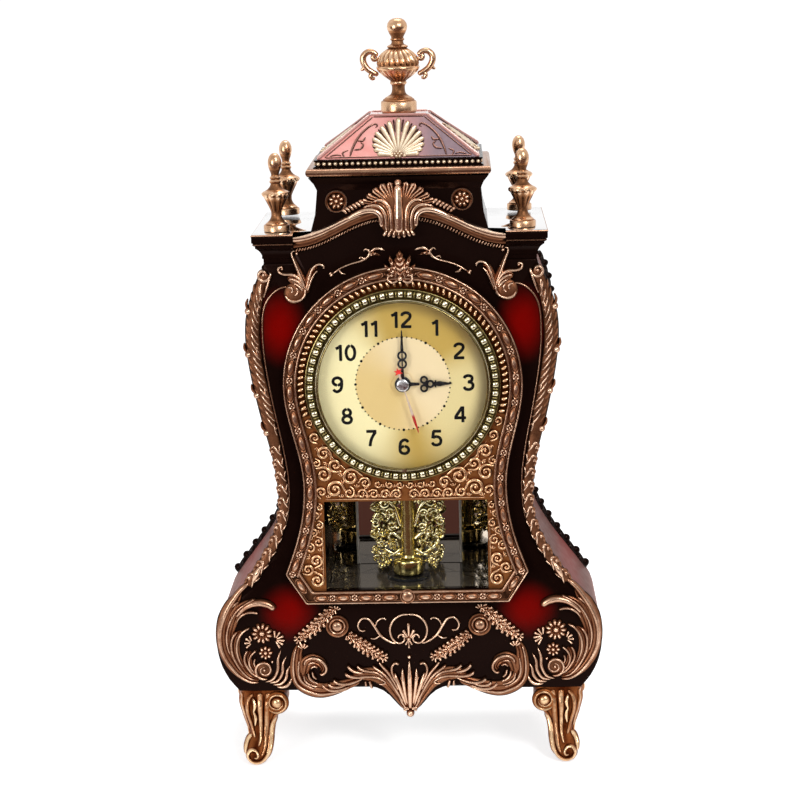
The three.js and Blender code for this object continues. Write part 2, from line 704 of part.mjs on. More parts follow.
// Attic: a leaning box, hollow from below, with a cove under the fascia
const ATTIC_DEPTH = CASE_DEPTH / 2 - ATTIC_SETBACK;
const FASCIA_DEPTH = ATTIC_DEPTH - ATTIC_LEAN + FASCIA_OVERHANG;
function atticBox() {
  const level = (out, height) => [
    ATTIC_HALF - ATTIC_LEAN + out, ATTIC_DEPTH - ATTIC_LEAN + out, ATTIC_Z + ATTIC_HEIGHT * height,
  ];
  const cove = FASCIA_OVERHANG - 1.5;
  const shell = moulding([
    level(ATTIC_LEAN, 0), level(ATTIC_LEAN * 0.35, 0.3), level(0, 0.75),
    level(cove * 0.35, 0.87), level(cove, 1),
  ]);
  const hollow = moulding([level(-ATTIC_WALL, -0.1), level(-ATTIC_WALL, 1 - ATTIC_WALL / ATTIC_HEIGHT)]);
  return cut(shell, hollow);
}
add('attic_box', atticBox(), lacquer);

// Attic cornice: a fascia with a lower plinth on it that carries the roof
const PLINTH_INSET = 6;
add('attic_cornice', moulding([
  [FASCIA_HALF, FASCIA_DEPTH, FASCIA_Z],
  [FASCIA_HALF, FASCIA_DEPTH, FASCIA_Z + FASCIA_HEIGHT],
  [FASCIA_HALF - PLINTH_INSET, FASCIA_DEPTH - PLINTH_INSET, FASCIA_Z + FASCIA_HEIGHT],
  [FASCIA_HALF - PLINTH_INSET, FASCIA_DEPTH - PLINTH_INSET, FASCIA_Z + FASCIA_HEIGHT + PLINTH_HEIGHT],
]), bronze);

// Roof: a hipped shell with a flat top for the urn
const ROOF_DEPTH = FASCIA_DEPTH - ROOF_INSET;
const ROOF_TOP_HALF = URN_BASE_RADIUS + ROOF_LEDGE_X;
const ROOF_TOP_DEPTH = URN_BASE_RADIUS + ROOF_LEDGE_Y;
function roof() {
  const shell = moulding([
    [ROOF_HALF, ROOF_DEPTH, ROOF_Z],
    [ROOF_TOP_HALF, ROOF_TOP_DEPTH, ROOF_Z + ROOF_HEIGHT],
  ]);
  const hollow = moulding([
    [ROOF_HALF - ROOF_WALL, ROOF_DEPTH - ROOF_WALL, ROOF_Z - 0.1],
    [ROOF_TOP_HALF - ROOF_WALL, ROOF_TOP_DEPTH - ROOF_WALL, ROOF_Z + ROOF_HEIGHT - ROOF_WALL],
  ]);
  return cut(shell, hollow);
}
add('roof', roof(), rosewood);

// Urn: turned foot, gadrooned bowl and lid, a bud on top and a scrolled handle at each side
const URN_SIDES = 20;
const URN_LOBES = 10;
const HANDLE_RADIUS = 1.3;
function urn() {
  const bowl = URN_BOWL_RADIUS;
  const profile = [
    [URN_BASE_RADIUS, 0], [URN_BASE_RADIUS, 0.095], [bowl * 0.7, 0.115], [bowl * 0.42, 0.17],
    [bowl * 0.36, 0.24], [bowl * 0.44, 0.29, 0.02], [bowl * 0.78, 0.39, 0.06], [bowl, 0.475, 0.03],
    [bowl * 0.9, 0.59, 0.06], [bowl * 0.5, 0.69, 0.03], [bowl * 0.34, 0.725], [bowl * 0.36, 0.77],
    [bowl * 0.52, 0.87], [bowl * 0.4, 0.95], [bowl * 0.06, 1],
  ];
  const levels = profile.map(([r, height, depth]) => [r, height * URN_HEIGHT, depth]);
  const body = turned(levels, URN_SIDES, URN_LOBES);
  const handle = (side) => tube([
    [0.8, 0.62], [1.1, 0.67], [1.45, 0.685], [1.7, 0.62], [1.6, 0.53], [1.25, 0.45], [0.86, 0.4],
  ].map(([out, height]) => new THREE.Vector3(side * out * bowl, 0, height * URN_HEIGHT)), HANDLE_RADIUS, 10, 5);
  return join(body, handle(-1), handle(1));
}
add('urn_finial', urn(), bronze).position.z = URN_Z;

// Corner finials: a stepped foot, a fluted cup and a bud, one on each corner block
const FINIAL_SIDES = 10;
function cornerFinial() {
  const cup = FINIAL_RADIUS;
  const profile = [
    [cup * 0.86, 0], [cup * 0.86, 0.09], [cup * 0.6, 0.12], [cup * 0.5, 0.2], [cup * 0.55, 0.27],
    [cup, 0.48], [cup * 0.72, 0.53], [cup * 0.42, 0.66], [cup * 0.68, 0.83], [cup * 0.5, 0.94], [cup * 0.12, 1],
  ];
  return turned(profile.map(([r, height]) => [r, height * FINIAL_HEIGHT]), FINIAL_SIDES);
}
for (const [row, sideY] of [['front', -1], ['rear', 1]]) {
  for (const [hand, sideX] of [['left', -1], ['right', 1]]) {
    const finial = add(`corner_finial_${row}_${hand}`, cornerFinial(), bronze);
    const blockMiddle = CORNICE_HALF - BLOCK_WIDTH / 2 - 2;
    finial.position.set(sideX * blockMiddle, sideY * (CORNICE_DEPTH - FINIAL_SETBACK), DECK_Z + SEAT_GAP);
  }
}

// Leaf trims: overlapping leaves along the front edge, and along the rear edge of the walls
const TRIM_Z = SILL_Z + 15;
const TRIM_TOP_Z = NECK_Z - 6;
const LEAF_STEPS = 2 * LEAF_COUNT;
const leafWidth = (k) => TRIM_WIDTH * (k % 2 ? 1 : 0.72);
const leafHeight = (k) => RELIEF * (k % 2 ? 0.95 : 0.5);
pair('leaf_trim_front', strand(
  edgeStretch(TRIM_Z, TRIM_TOP_Z, TRIM_WIDTH / 2 - TRIM_OVERHANG, LEAF_STEPS),
  (t) => leafWidth(Math.round(t * LEAF_STEPS)),
  (t) => leafHeight(Math.round(t * LEAF_STEPS)),
), bronze);

function rearTrim() {
  const backY = INNER_BACK_Y - SEAT_GAP;
  const steps = LEAF_COUNT;
  return loft(Array.from({ length: steps + 1 }, (_, k) => {
    const z = TRIM_Z + ((TRIM_TOP_Z - TRIM_Z) * k) / steps;
    const low = edgeAt(z, -SEAT_GAP);
    const high = edgeAt(z, -SEAT_GAP - leafHeight(k) * 0.7);
    const middle = backY - TRIM_WIDTH / 2;
    const half = leafWidth(k) / 2;
    return [
      new THREE.Vector3(low.x, middle - half, low.y),
      new THREE.Vector3(high.x, middle - half * 0.45, high.y),
      new THREE.Vector3(high.x, middle + half * 0.45, high.y),
      new THREE.Vector3(low.x, middle + half, low.y),
    ];
  }));
}
pair('leaf_trim_rear', rearTrim(), lacquer);

// Belly scroll: a long leaf that follows the belly's edge, branches inwards and ends in a volute
function bellyScroll() {
  const voluteX = BASE_HALF - 14.5;
  const voluteZ = CASE_Z + 14.5;
  const nearVolute = (points) => points.map(([x, z]) => point(voluteX + x, voluteZ + z));
  const main = smooth([
    ...edgeStretch(TRIM_Z - 3, CASE_Z + 17, 4.4, 4),
    ...nearVolute([[6, -8.8], [-1.5, -8.5], [-7, -2], [-4, 4], [1.5, 2.2]]),
  ], 17);
  const branch = smooth([
    edgeAt(BELLY_Z + 1, 6), edgeAt(BELLY_Z + 11, 8), point(BELLY_HALF - 17, SILL_Z + 0.5),
    point(BELLY_HALF - 27, SILL_Z + 3), point(BELLY_HALF - 36, SILL_Z - 1),
  ], 7);
  const inner = smooth([
    edgeAt(BELLY_Z + 4, 13), edgeAt(BELLY_Z - 6, 10), edgeAt(BELLY_Z - 16, 9.5), ...nearVolute([[8, -6.5]]),
  ], 6);
  return join(
    strand(main, (t) => 3 + 3.2 * Math.sin(Math.PI * Math.min(t * 1.4, 1)), swell(2.2, RELIEF)),
    strand(branch, taper(4.4, 1.6), taper(3, 1.6)),
    strand(inner, taper(1.8, 4), taper(1.8, 2.8)),
  );
}
pair('belly_scroll', bellyScroll(), bronze);

// Ornaments on the apron are drawn for one size of field and follow its width and height
const DRAWN_HALF = 70;
const DRAWN_HEIGHT = 54.7;
function onApron(points) {
  const across = APRON_HALF / DRAWN_HALF;
  const up = APRON_HEIGHT / DRAWN_HEIGHT;
  return points.map(([x, z]) => point(x * across, CASE_Z + z * up));
}

// Garland: a rosette with a swag of buds to each side
const SWAG_BUDS = 5;
const ROSETTE_RADIUS = 7.6;
const budWidth = (t) => 4.6 + 2.2 * Math.abs(Math.sin(Math.PI * SWAG_BUDS * t));
const budHeight = (t) => 1.8 + 1.4 * Math.abs(Math.sin(Math.PI * SWAG_BUDS * t));
function garland() {
  const outer = smooth(onApron([[47, 50], [53, 48.5], [60, 41.6], [66, 36.4], [70, 33]]), 10);
  const inner = smooth(onApron([[43, 38], [40, 36], [33.7, 31.9], [26.6, 25.9], [19, 22.5]]), 10);
  const [middle] = onApron([[45.8, 42.3]]);
  const rosette = bar('y', middle.x, middle.y, ROSETTE_RADIUS, RELIEF_Y, RELIEF_Y - RELIEF * 0.65, 12);
  const boss = bar('y', middle.x, middle.y, ROSETTE_RADIUS / 2, RELIEF_Y, RELIEF_Y - RELIEF, 8);
  return join(rosette, boss, strand(outer, budWidth, budHeight), strand(inner, budWidth, budHeight));
}
pair('garland', garland(), bronze);

// Scroll in the middle of the apron: a ring of two curls about a flower, with an S at each side
function bellyCentreScroll() {
  const side = (sign) => {
    const reach = (points) => onApron(points.map(([x, z]) => [sign * x, z]));
    const ring = smooth(reach([[-1, 49.2], [8, 46.5], [11.7, 40.4], [10, 31.5], [5, 30], [2.6, 33.5]]), 9);
    const ess = smooth(reach([
      [26.5, 38.6], [30.8, 39], [31.8, 43.2], [27.7, 46.8], [23.2, 43.8], [18.5, 36], [10, 30.2],
    ]), 11);
    return [strand(ring, taper(2.2, 2), taper(2, 1.6)), strand(ess, taper(1.8, 2.6), taper(1.6, 2))];
  };
  const flower = strand(onApron([[0, 44], [0, 38], [0, 33.5], [0, 27.5]]), swell(1.6, 6), swell(1.4, 2.6));
  return join(flower, ...side(-1), ...side(1));
}
add('belly_centre_scroll', bellyCentreScroll(), bronze);

// Apron mount: leaves along the lower edge that meet in a pendant
function apronMount() {
  const side = (sign) => {
    const reach = (points) => onApron(points.map(([x, z]) => [sign * x, z]));
    const outer = smooth(reach([
      [69.5, 28.5], [73, 21.5], [73.5, 13.5], [70.5, 5], [65, 0.2], [57.8, -2.2], [47.6, -0.2], [36.2, 4.2],
      [27.7, 7], [19.3, 6], [11.5, 0.5], [5.6, -8.6], [0, -15],
    ]), 21);
    const curl = smooth(reach([
      [70, 6], [66.5, 14], [66, 19.5], [60.5, 21.5], [54.5, 17.6], [56.5, 11.6], [61, 11.5],
    ]), 11);
    const plume = smooth(reach([[33, 5], [40, 8.5], [44, 12.5]]), 3);
    const frond = smooth(reach([[10, 1], [13, 9], [19.5, 16.5]]), 3);
    return [
      strand(outer, swell(3.6, 6.2), swell(2.4, RELIEF)),
      strand(curl, taper(5, 3), taper(2.4, 3)),
      strand(plume, taper(6, 2), taper(2.8, 1.6)),
      strand(frond, taper(5, 2), taper(2.8, 1.6)),
    ];
  };
  const stem = strand(onApron([[0, 19], [0, 0], [0, -16.5]]), taper(2.6, 5), taper(2.2, RELIEF));
  return join(stem, ...side(-1), ...side(1));
}
add('apron_mount', apronMount(), bronze);

// Shoulder scroll: a stem, a hook and a leaf that meet in a volute under each corner block
function shoulderScroll() {
  const x0 = NECK_HALF - 18.5;
  const z0 = NECK_Z - 19;
  const near = (points) => points.map(([x, z]) => point(x0 + x, z0 + z));
  const stem = smooth(near([
    [0.3, 18], [-3.2, 13.6], [-6.4, 6.1], [-5, -1], [0, -4.6], [4.6, -2.6], [3.4, 2], [0.4, 1.4],
  ]), 13);
  const hook = smooth(near([[-18, 13.5], [-15, 16], [-10.6, 12], [-6.4, 4.5]]), 6);
  const leaf = smooth(near([[8, 11], [2, 9], [-5, 3.5]]), 4);
  return join(
    strand(stem, swell(2, 4.4), swell(1.8, 3)),
    strand(hook, taper(1.8, 3.6), taper(1.6, 2.6)),
    strand(leaf, taper(2.4, 4.4), taper(1.6, 2.6)),
  );
}
pair('shoulder_scroll', shoulderScroll(), bronze);

// Dial frame: arched over the dial, drawn in at the window and flared to a chamfered foot, with
// a raised border along its outline
const FRAME_WAIST = WINDOW_HALF_WIDTH + STILE_WIDTH;
const FRAME_FOOT = FRAME_WAIST + FRAME_FLARE;
const FRAME_FOOT_Z = SILL_Z + FRAME_CHAMFER * 2;
function inset(outline, distance) {
  const count = outline.length;
  return outline.map((p, k) => {
    const before = p.clone().sub(outline[(k + count - 1) % count]).normalize();
    const after = outline[(k + 1) % count].clone().sub(p).normalize();
    const sum = point(-before.y - after.y, before.x + after.x);
    return p.clone().addScaledVector(sum, distance / (1 + before.dot(after)));
  });
}
function dialFrame() {
  const waistZ = WINDOW_TOP_Z + TRANSOM_HEIGHT * 0.7;
  const flare = bend(FRAME_FOOT, FRAME_FOOT_Z, FRAME_WAIST, waistZ, 0.2, 0.45, -FRAME_FLARE / 3).getPoints(7);
  const shoulder = bend(FRAME_WAIST, waistZ, ARCH_RADIUS, DIAL_Z, 0.35, 0.35).getPoints(6);
  const arch = circle(0, DIAL_Z, ARCH_RADIUS, 36).slice(1, 9);
  const right = [
    point(FRAME_FOOT - FRAME_CHAMFER, SILL_Z), ...flare, ...shoulder.slice(1), ...arch,
  ];
  const outline = [...right, point(0, DIAL_Z + ARCH_RADIUS), ...right.map((p) => point(-p.x, p.y)).reverse()];
  const opening = circle(0, DIAL_Z, DIAL_HOLE, 32);
  const window = rectangle(-WINDOW_HALF_WIDTH, WINDOW_Z, WINDOW_HALF_WIDTH, WINDOW_TOP_Z);
  const ground = plate(outline, [opening, window], FRAME_FRONT_Y, RELIEF_Y);
  const border = plate(outline, [inset(outline, BEAD_BORDER)], FRAME_FRONT_Y - BORDER_RISE, RELIEF_Y);
  return join(ground, border, ...palmette());
}

// Palmette on the crown of the arch
const PALMETTE_RISE = 17;
const PALMETTE_RELIEF = FRAME_WALL + BORDER_RISE;
function palmette() {
  const root = point(0, DIAL_Z + ARCH_RADIUS - BEAD_BORDER / 2);
  return [-75, -38, 0, 38, 75].map((angle) => {
    const lean = degrees(angle);
    const reach = (PALMETTE_RISE + BEAD_BORDER / 2) * (1 - Math.abs(angle) / 200);
    const tip = point(root.x + reach * Math.sin(lean), root.y + reach * Math.cos(lean));
    return strand([root, tip], taper(3.5, 6), taper(PALMETTE_RELIEF, PALMETTE_RELIEF - 2));
  });
}
add('dial_frame', dialFrame(), bronze);

// Hands and their arbors stand in this order in front of the dial
const NUT_FRONT_Y = FRONT_Y - SEAT_GAP - NUT_WALL;
const HOUR_FRONT_Y = NUT_FRONT_Y - HAND_GAP - HAND_WALL;
const MINUTE_FRONT_Y = HOUR_FRONT_Y - HAND_GAP - HAND_WALL;
const SECOND_FRONT_Y = MINUTE_FRONT_Y - HAND_GAP - HAND_WALL;
const CAP_FRONT_Y = SECOND_FRONT_Y - SEAT_GAP - CAP_HEIGHT;
const LENS_BACK_Y = CAP_FRONT_Y - HAND_GAP;
const LENS_FRONT_Y = LENS_BACK_Y - LENS_WALL;
const LIP_FRONT_Y = LENS_FRONT_Y - SEAT_GAP - BEZEL_LIP;

// A form turned about the dial's axis from a closed outline of radius and depth
const ROUND_SIDES = 36;
function turnedRing(outline) {
  const profile = outline.map(([radius, y]) => point(radius, y));
  const ring = new THREE.LatheGeometry([...profile, profile[0]], ROUND_SIDES);
  ring.translate(0, 0, DIAL_Z);
  return ring;
}

// Bezel: a ring seated on the frame, with a lip in front of the lens
const BEZEL_BACK_Y = FRAME_FRONT_Y - SEAT_GAP;
const BEZEL_BORE = LENS_RADIUS + SEAT_GAP;
const BEZEL_DEPTH = BEZEL_BACK_Y - LIP_FRONT_Y;
add('bezel', turnedRing([
  [BEZEL_RADIUS, BEZEL_BACK_Y - BEZEL_DEPTH * 0.35],
  [BEZEL_RADIUS, BEZEL_BACK_Y],
  [BEZEL_BORE, BEZEL_BACK_Y],
  [BEZEL_BORE, LENS_FRONT_Y - SEAT_GAP],
  [DIAL_RADIUS, LENS_FRONT_Y - SEAT_GAP],
  [DIAL_RADIUS, LIP_FRONT_Y],
  [BEZEL_RADIUS - BEZEL_WIDTH * 0.55, LIP_FRONT_Y],
  [BEZEL_RADIUS - BEZEL_WIDTH * 0.2, BEZEL_BACK_Y - BEZEL_DEPTH * 0.75],
]), paleGold);
add('lens', bar('y', 0, DIAL_Z, LENS_RADIUS, LENS_FRONT_Y, LENS_BACK_Y, ROUND_SIDES), clear);

// Dial plate, held against the back of the frame
const DIAL_BACK_Y = FRONT_Y + DIAL_WALL;
add('dial', plate(
  circle(0, DIAL_Z, DIAL_PLATE, ROUND_SIDES), [circle(0, DIAL_Z, NECK_TUBE + SEAT_GAP, 12)],
  FRONT_Y, DIAL_BACK_Y,
), paleGold);

// Motion work: a pair of gear layers in front of the second wheel
const CENTRE_DISTANCE = (CANNON_MODULE * (CANNON_TEETH + MOTION_TEETH)) / 2;
const HOUR_MODULE = (2 * CENTRE_DISTANCE) / (MOTION_PINION_TEETH + HOUR_TEETH);
const MOTION_Z = DIAL_Z + CENTRE_DISTANCE;
const gearTip = (teeth, module) => module * (teeth / 2 + ADDENDUM);
const MOVEMENT_FRONT_Y = DIAL_BACK_Y + SEAT_GAP;
const TRAY_FRONT_Y = MOVEMENT_FRONT_Y + MOVEMENT_WALL;
const HOUR_LAYER_Y = TRAY_FRONT_Y + GEAR_SIDE_GAP;
const MINUTE_LAYER_Y = HOUR_LAYER_Y + GEAR_WALL + GEAR_SIDE_GAP;
const MINUTE_BACK_Y = MINUTE_LAYER_Y + GEAR_WALL;

// Gear blank with trapezoid teeth, one of them centred on the angle given
function gearOutline(z, teeth, module, angle) {
  const root = module * (teeth / 2 - DEDENDUM);
  const tip = gearTip(teeth, module);
  const corners = [[-0.3, root], [-0.11, tip], [0.11, tip], [0.3, root]];
  return Array.from({ length: teeth }, (_, k) => corners.map(([share, radius]) => {
    const a = degrees(angle + ((k + share) * 360) / teeth);
    return point(radius * Math.cos(a), z + radius * Math.sin(a));
  })).flat();
}

// Movement case: a tray with a neck through the dial, and a bay for the cell that opens behind
const CELL_BAY = CELL_RADIUS + CELL_GAP;
const MOVEMENT_HALF = CELL_LENGTH / 2 + CELL_GAP + CELL_END_WALL;
const MOVEMENT_BACK_Y = MOVEMENT_FRONT_Y + CELL_FRONT_WALL + 2 * CELL_BAY;
const TRAY_BACK_Y = MOVEMENT_BACK_Y - COVER_WALL - SEAT_GAP;
const TRAIN_Z = DIAL_Z - gearTip(HOUR_TEETH, HOUR_MODULE) - TRAIN_GAP;
const COVER_Z = TRAIN_Z - MOVEMENT_WALL;
const CELL_Z = COVER_Z - CELL_BAY;
const CELL_Y = MOVEMENT_BACK_Y - CELL_BAY;
const MOVEMENT_Z = CELL_Z - CELL_BAY - MOVEMENT_WALL;
const MOVEMENT_TOP_Z = MOTION_Z + gearTip(MOTION_TEETH, CANNON_MODULE) + MOVEMENT_HEADROOM;
function movementCase() {
  const body = block(
    -MOVEMENT_HALF, MOVEMENT_HALF, MOVEMENT_FRONT_Y, MOVEMENT_BACK_Y, MOVEMENT_Z, MOVEMENT_TOP_Z,
  );
  const neck = bar('y', 0, DIAL_Z, NECK_TUBE, NUT_FRONT_Y - RUN_GAP, TRAY_FRONT_Y, 12);
  const bore = bar('y', 0, DIAL_Z, NECK_BORE, NUT_FRONT_Y - 1, TRAY_FRONT_Y + 1, 12);
  const coverSeat = block(
    -MOVEMENT_HALF - 1, MOVEMENT_HALF + 1, TRAY_BACK_Y, MOVEMENT_BACK_Y + 1, COVER_Z, MOVEMENT_TOP_Z + 1,
  );
  const inner = MOVEMENT_HALF - MOVEMENT_WALL;
  const train = block(-inner, inner, TRAY_FRONT_Y, TRAY_BACK_Y + 1, TRAIN_Z, MOVEMENT_TOP_Z - MOVEMENT_WALL);
  const bayHalf = CELL_LENGTH / 2 + CELL_GAP;
  const bay = bar('x', CELL_Y, CELL_Z, CELL_BAY, -bayHalf, bayHalf);
  const mouth = block(
    -bayHalf, bayHalf, CELL_Y, MOVEMENT_BACK_Y + 1, CELL_Z - CELL_BAY * 0.98, CELL_Z + CELL_BAY * 0.98,
  );
  return cut(join(body, neck), coverSeat, train, bay, mouth, bore);
}
add('movement_case', movementCase(), blackPlastic);

// Nut on the neck that clamps dial and movement together
const NUT_SIDES = 6;
const NUT_RADIUS = (NECK_TUBE + RUN_GAP + NUT_RIM) / Math.cos(Math.PI / NUT_SIDES);
add('fixing_nut', plate(
  circle(0, DIAL_Z, NUT_RADIUS, NUT_SIDES), [circle(0, DIAL_Z, NECK_TUBE + RUN_GAP, 12)],
  NUT_FRONT_Y, FRONT_Y - SEAT_GAP,
), brass);

// Minute tube with its pinion
function cannonPinion() {
  const pinion = plate(gearOutline(DIAL_Z, CANNON_TEETH, CANNON_MODULE, 90), [], MINUTE_LAYER_Y, MINUTE_BACK_Y);
  const tubeBody = bar('y', 0, DIAL_Z, MINUTE_TUBE, MINUTE_FRONT_Y, MINUTE_BACK_Y, 12);
  const bore = bar('y', 0, DIAL_Z, MINUTE_BORE, MINUTE_FRONT_Y - 1, MINUTE_BACK_Y + 1, 12);
  return cut(join(pinion, tubeBody), bore);
}
add('cannon_pinion', cannonPinion(), brass);

// Hour wheel on its tube
function hourWheel() {
  const backY = HOUR_LAYER_Y + GEAR_WALL;
  const toothAngle = 90 + 180 / HOUR_TEETH;
  const wheel = plate(gearOutline(DIAL_Z, HOUR_TEETH, HOUR_MODULE, toothAngle), [], HOUR_LAYER_Y, backY);
  const tubeBody = bar('y', 0, DIAL_Z, HOUR_TUBE, HOUR_FRONT_Y, backY, 12);
  const bore = bar('y', 0, DIAL_Z, HOUR_BORE, HOUR_FRONT_Y - 1, backY + 1, 12);
  return cut(join(wheel, tubeBody), bore);
}
add('hour_wheel', hourWheel(), nylon);

// Motion wheel and pinion on an arbor that runs out through the cover
const KNOB_FRONT_Y = MOVEMENT_BACK_Y + SEAT_GAP;
const KNOB_BACK_Y = KNOB_FRONT_Y + KNOB_LENGTH;
function motionWheel() {
  const toothAngle = 180 / MOTION_TEETH - 90;
  const rim = gearOutline(MOTION_Z, MOTION_TEETH, CANNON_MODULE, toothAngle);
  const wheel = plate(rim, [], MINUTE_LAYER_Y, MINUTE_BACK_Y);
  const leaves = gearOutline(MOTION_Z, MOTION_PINION_TEETH, HOUR_MODULE, -90);
  const pinion = plate(leaves, [], HOUR_LAYER_Y, MINUTE_LAYER_Y + GEAR_WALL / 2);
  const arbor = bar('y', 0, MOTION_Z, MOTION_ARBOR, TRAY_FRONT_Y + RUN_GAP, KNOB_BACK_Y - 1, 12);
  return join(wheel, pinion, arbor);
}
add('motion_wheel', motionWheel(), nylon);

// Setting knob on the motion wheel's arbor, ribbed for the fingers
function settingKnob() {
  const ribs = 10;
  const outline = circle(0, MOTION_Z, KNOB_RADIUS, 2 * ribs).map((p, k) => {
    return k % 2 ? p : point(p.x * 0.92, MOTION_Z + (p.y - MOTION_Z) * 0.92);
  });
  const hole = bar('y', 0, MOTION_Z, MOTION_ARBOR + RUN_GAP / 2, KNOB_FRONT_Y - 1, KNOB_BACK_Y - RUN_GAP, 12);
  return cut(plate(outline, [], KNOB_FRONT_Y, KNOB_BACK_Y), hole);
}
add('setting_knob', settingKnob(), blackPlastic);

// Cover over the train, pierced for the setting arbor
add('movement_cover', plate(
  rectangle(-MOVEMENT_HALF, COVER_Z + SEAT_GAP, MOVEMENT_HALF, MOVEMENT_TOP_Z),
  [circle(0, MOTION_Z, MOTION_ARBOR + RUN_GAP, 12)], MOVEMENT_BACK_Y - COVER_WALL, MOVEMENT_BACK_Y,
), blackPlastic);

// Second wheel and its arbor, which runs through the minute tube to the second hand
const SECOND_WHEEL_Y = MINUTE_BACK_Y + GEAR_SIDE_GAP;
const SECOND_WHEEL_RADIUS = CENTRE_DISTANCE - MOTION_ARBOR - GEAR_SIDE_GAP;
function secondWheel() {
  const wheel = bar('y', 0, DIAL_Z, SECOND_WHEEL_RADIUS, SECOND_WHEEL_Y, SECOND_WHEEL_Y + GEAR_WALL, 18);
  const arbor = bar('y', 0, DIAL_Z, SECOND_ARBOR, SECOND_FRONT_Y, TRAY_BACK_Y, 10);
  return join(wheel, arbor);
}
add('second_wheel', secondWheel(), nylon);

// Step motor: coil and stator block at one side of the train
const MOTOR_X = MOVEMENT_HALF - MOVEMENT_WALL - SEAT_GAP;
add('step_motor', block(
  MOTOR_X - MOTOR_WIDTH, MOTOR_X, TRAY_FRONT_Y + SEAT_GAP, TRAY_BACK_Y - SEAT_GAP,
  TRAIN_Z + SEAT_GAP, MOVEMENT_TOP_Z - MOVEMENT_WALL - SEAT_GAP,
), brass);

// Dry cell in its bay
function cell() {
  const half = CELL_LENGTH / 2;
  const can = bar('x', CELL_Y, CELL_Z, CELL_RADIUS, -half, half - 1.2);
  const nub = bar('x', CELL_Y, CELL_Z, CELL_RADIUS * 0.38, half - 2, half, 10);
  return join(can, nub);
}
add('battery_cell', cell(), steel);

// Hands: flat pierced plates on their tubes, drawn pointing to twelve and turned to the time
function handPlate(parts, holes, frontY) {
  const backY = frontY + HAND_WALL;
  const whole = parts.map((outline) => plate(outline, [], frontY, backY));
  const voids = holes.map((outline) => plate(outline, [], frontY - 1, backY + 1));
  return cut(join(...whole), ...voids);
}
function blade(from, to, width, tip) {
  return [point(-width / 2, from), point(width / 2, from), point(tip / 2, to), point(-tip / 2, to)];
}
function hang(name, geometry, material, angle) {
  const hand = add(name, geometry, material);
  hand.position.z = DIAL_Z;
  hand.rotation.y = degrees(angle);
}
function minuteHand() {
  const loops = [0.38, 0.53].map((share) => share * MINUTE_LENGTH);
  return handPlate([
    circle(0, 0, CAP_RADIUS, 14),
    blade(0, loops[0], 2.2, 1.4),
    ...loops.map((z) => circle(0, z, 2.9, 8)),
    blade(loops[1], MINUTE_LENGTH, 2, 0.6),
  ], [circle(0, 0, MINUTE_TUBE + RUN_GAP / 2, 12), ...loops.map((z) => circle(0, z, 1.6, 6))], MINUTE_FRONT_Y);
}
hang('minute_hand', minuteHand(), blackEnamel, MINUTE_ANGLE);

function hourHand() {
  const trefoil = 0.47 * HOUR_LENGTH;
  const leaves = [[0, 2.6], [-2.6, -1], [2.6, -1]].map(([x, z]) => [x, trefoil + z]);
  return handPlate([
    circle(0, 0, CAP_RADIUS * 1.12, 14),
    blade(0, trefoil + 1, 2.4, 1.8),
    ...leaves.map(([x, z]) => circle(x, z, 2.5, 8)),
    blade(trefoil + 3, HOUR_LENGTH, 2.2, 0.7),
  ], [
    circle(0, 0, HOUR_TUBE + RUN_GAP / 2, 12),
    ...leaves.map(([x, z]) => circle(x, z, 1.3, 6)),
  ], HOUR_FRONT_Y);
}
hang('hour_hand', hourHand(), blackEnamel, HOUR_ANGLE);

function secondHand() {
  return handPlate([
    circle(0, 0, 2.4, 12),
    blade(-SECOND_TAIL, SECOND_LENGTH, 1.6, 0.6),
    circle(0, -SECOND_TAIL + 2, 2, 10),
  ], [circle(0, 0, SECOND_ARBOR + RUN_GAP / 2, 12)], SECOND_FRONT_Y);
}
hang('second_hand', secondHand(), redEnamel, SECOND_ANGLE);

function centreCap() {
  const profile = [[CAP_RADIUS, 0], [CAP_RADIUS * 0.85, 0.6], [CAP_RADIUS * 0.45, 1]];
  const cap = turned(profile.map(([r, share]) => [r, share * CAP_HEIGHT]), 12);
  cap.rotateX(Math.PI / 2);
  cap.translate(0, SECOND_FRONT_Y - SEAT_GAP, 0);
  return cap;
}
hang('centre_cap', centreCap(), steel, 0);

// Niche: a tiled floor, a ceiling, a back mirror and two splayed side mirrors
const FLOOR_Z = WINDOW_Z - FLOOR_DROP;
const CEILING_Z = WINDOW_TOP_Z + NICHE_HEADROOM;
const NICHE_FRONT_Y = INNER_FRONT_Y + SEAT_GAP;
const NICHE_BACK_Y = PENDULUM_Y + PENDULUM_RADIUS + PENDULUM_CLEARANCE + NICHE_BACK_GAP;
const NICHE_FRONT_HALF = WAIST_HALF - SIDE_WALL - NICHE_CLEARANCE;
function slab(outline, holes, z0, z1) {
  const shape = new THREE.Shape(outline);
  shape.holes = holes.map((hole) => new THREE.Path(hole));
  const geometry = new THREE.ExtrudeGeometry(shape, { depth: z1 - z0, bevelEnabled: false });
  geometry.translate(0, 0, z0);
  return geometry;
}
const nichePlan = [
  point(-NICHE_FRONT_HALF, NICHE_FRONT_Y), point(NICHE_FRONT_HALF, NICHE_FRONT_Y),
  point(NICHE_BACK_HALF + MIRROR_WALL, NICHE_BACK_Y + MIRROR_WALL),
  point(-NICHE_BACK_HALF - MIRROR_WALL, NICHE_BACK_Y + MIRROR_WALL),
];
const PIVOT_BORE = PIVOT_RADIUS + RUN_GAP;
add('niche_floor', slab(nichePlan, [], FLOOR_Z - FLOOR_WALL, FLOOR_Z), tile);
add('niche_ceiling', slab(
  nichePlan, [circle(0, PENDULUM_Y, PIVOT_BORE, 12)], CEILING_Z, CEILING_Z + FLOOR_WALL,
), blackPlastic);
const MIRROR_Z = FLOOR_Z + SEAT_GAP;
const MIRROR_TOP_Z = CEILING_Z - SEAT_GAP;
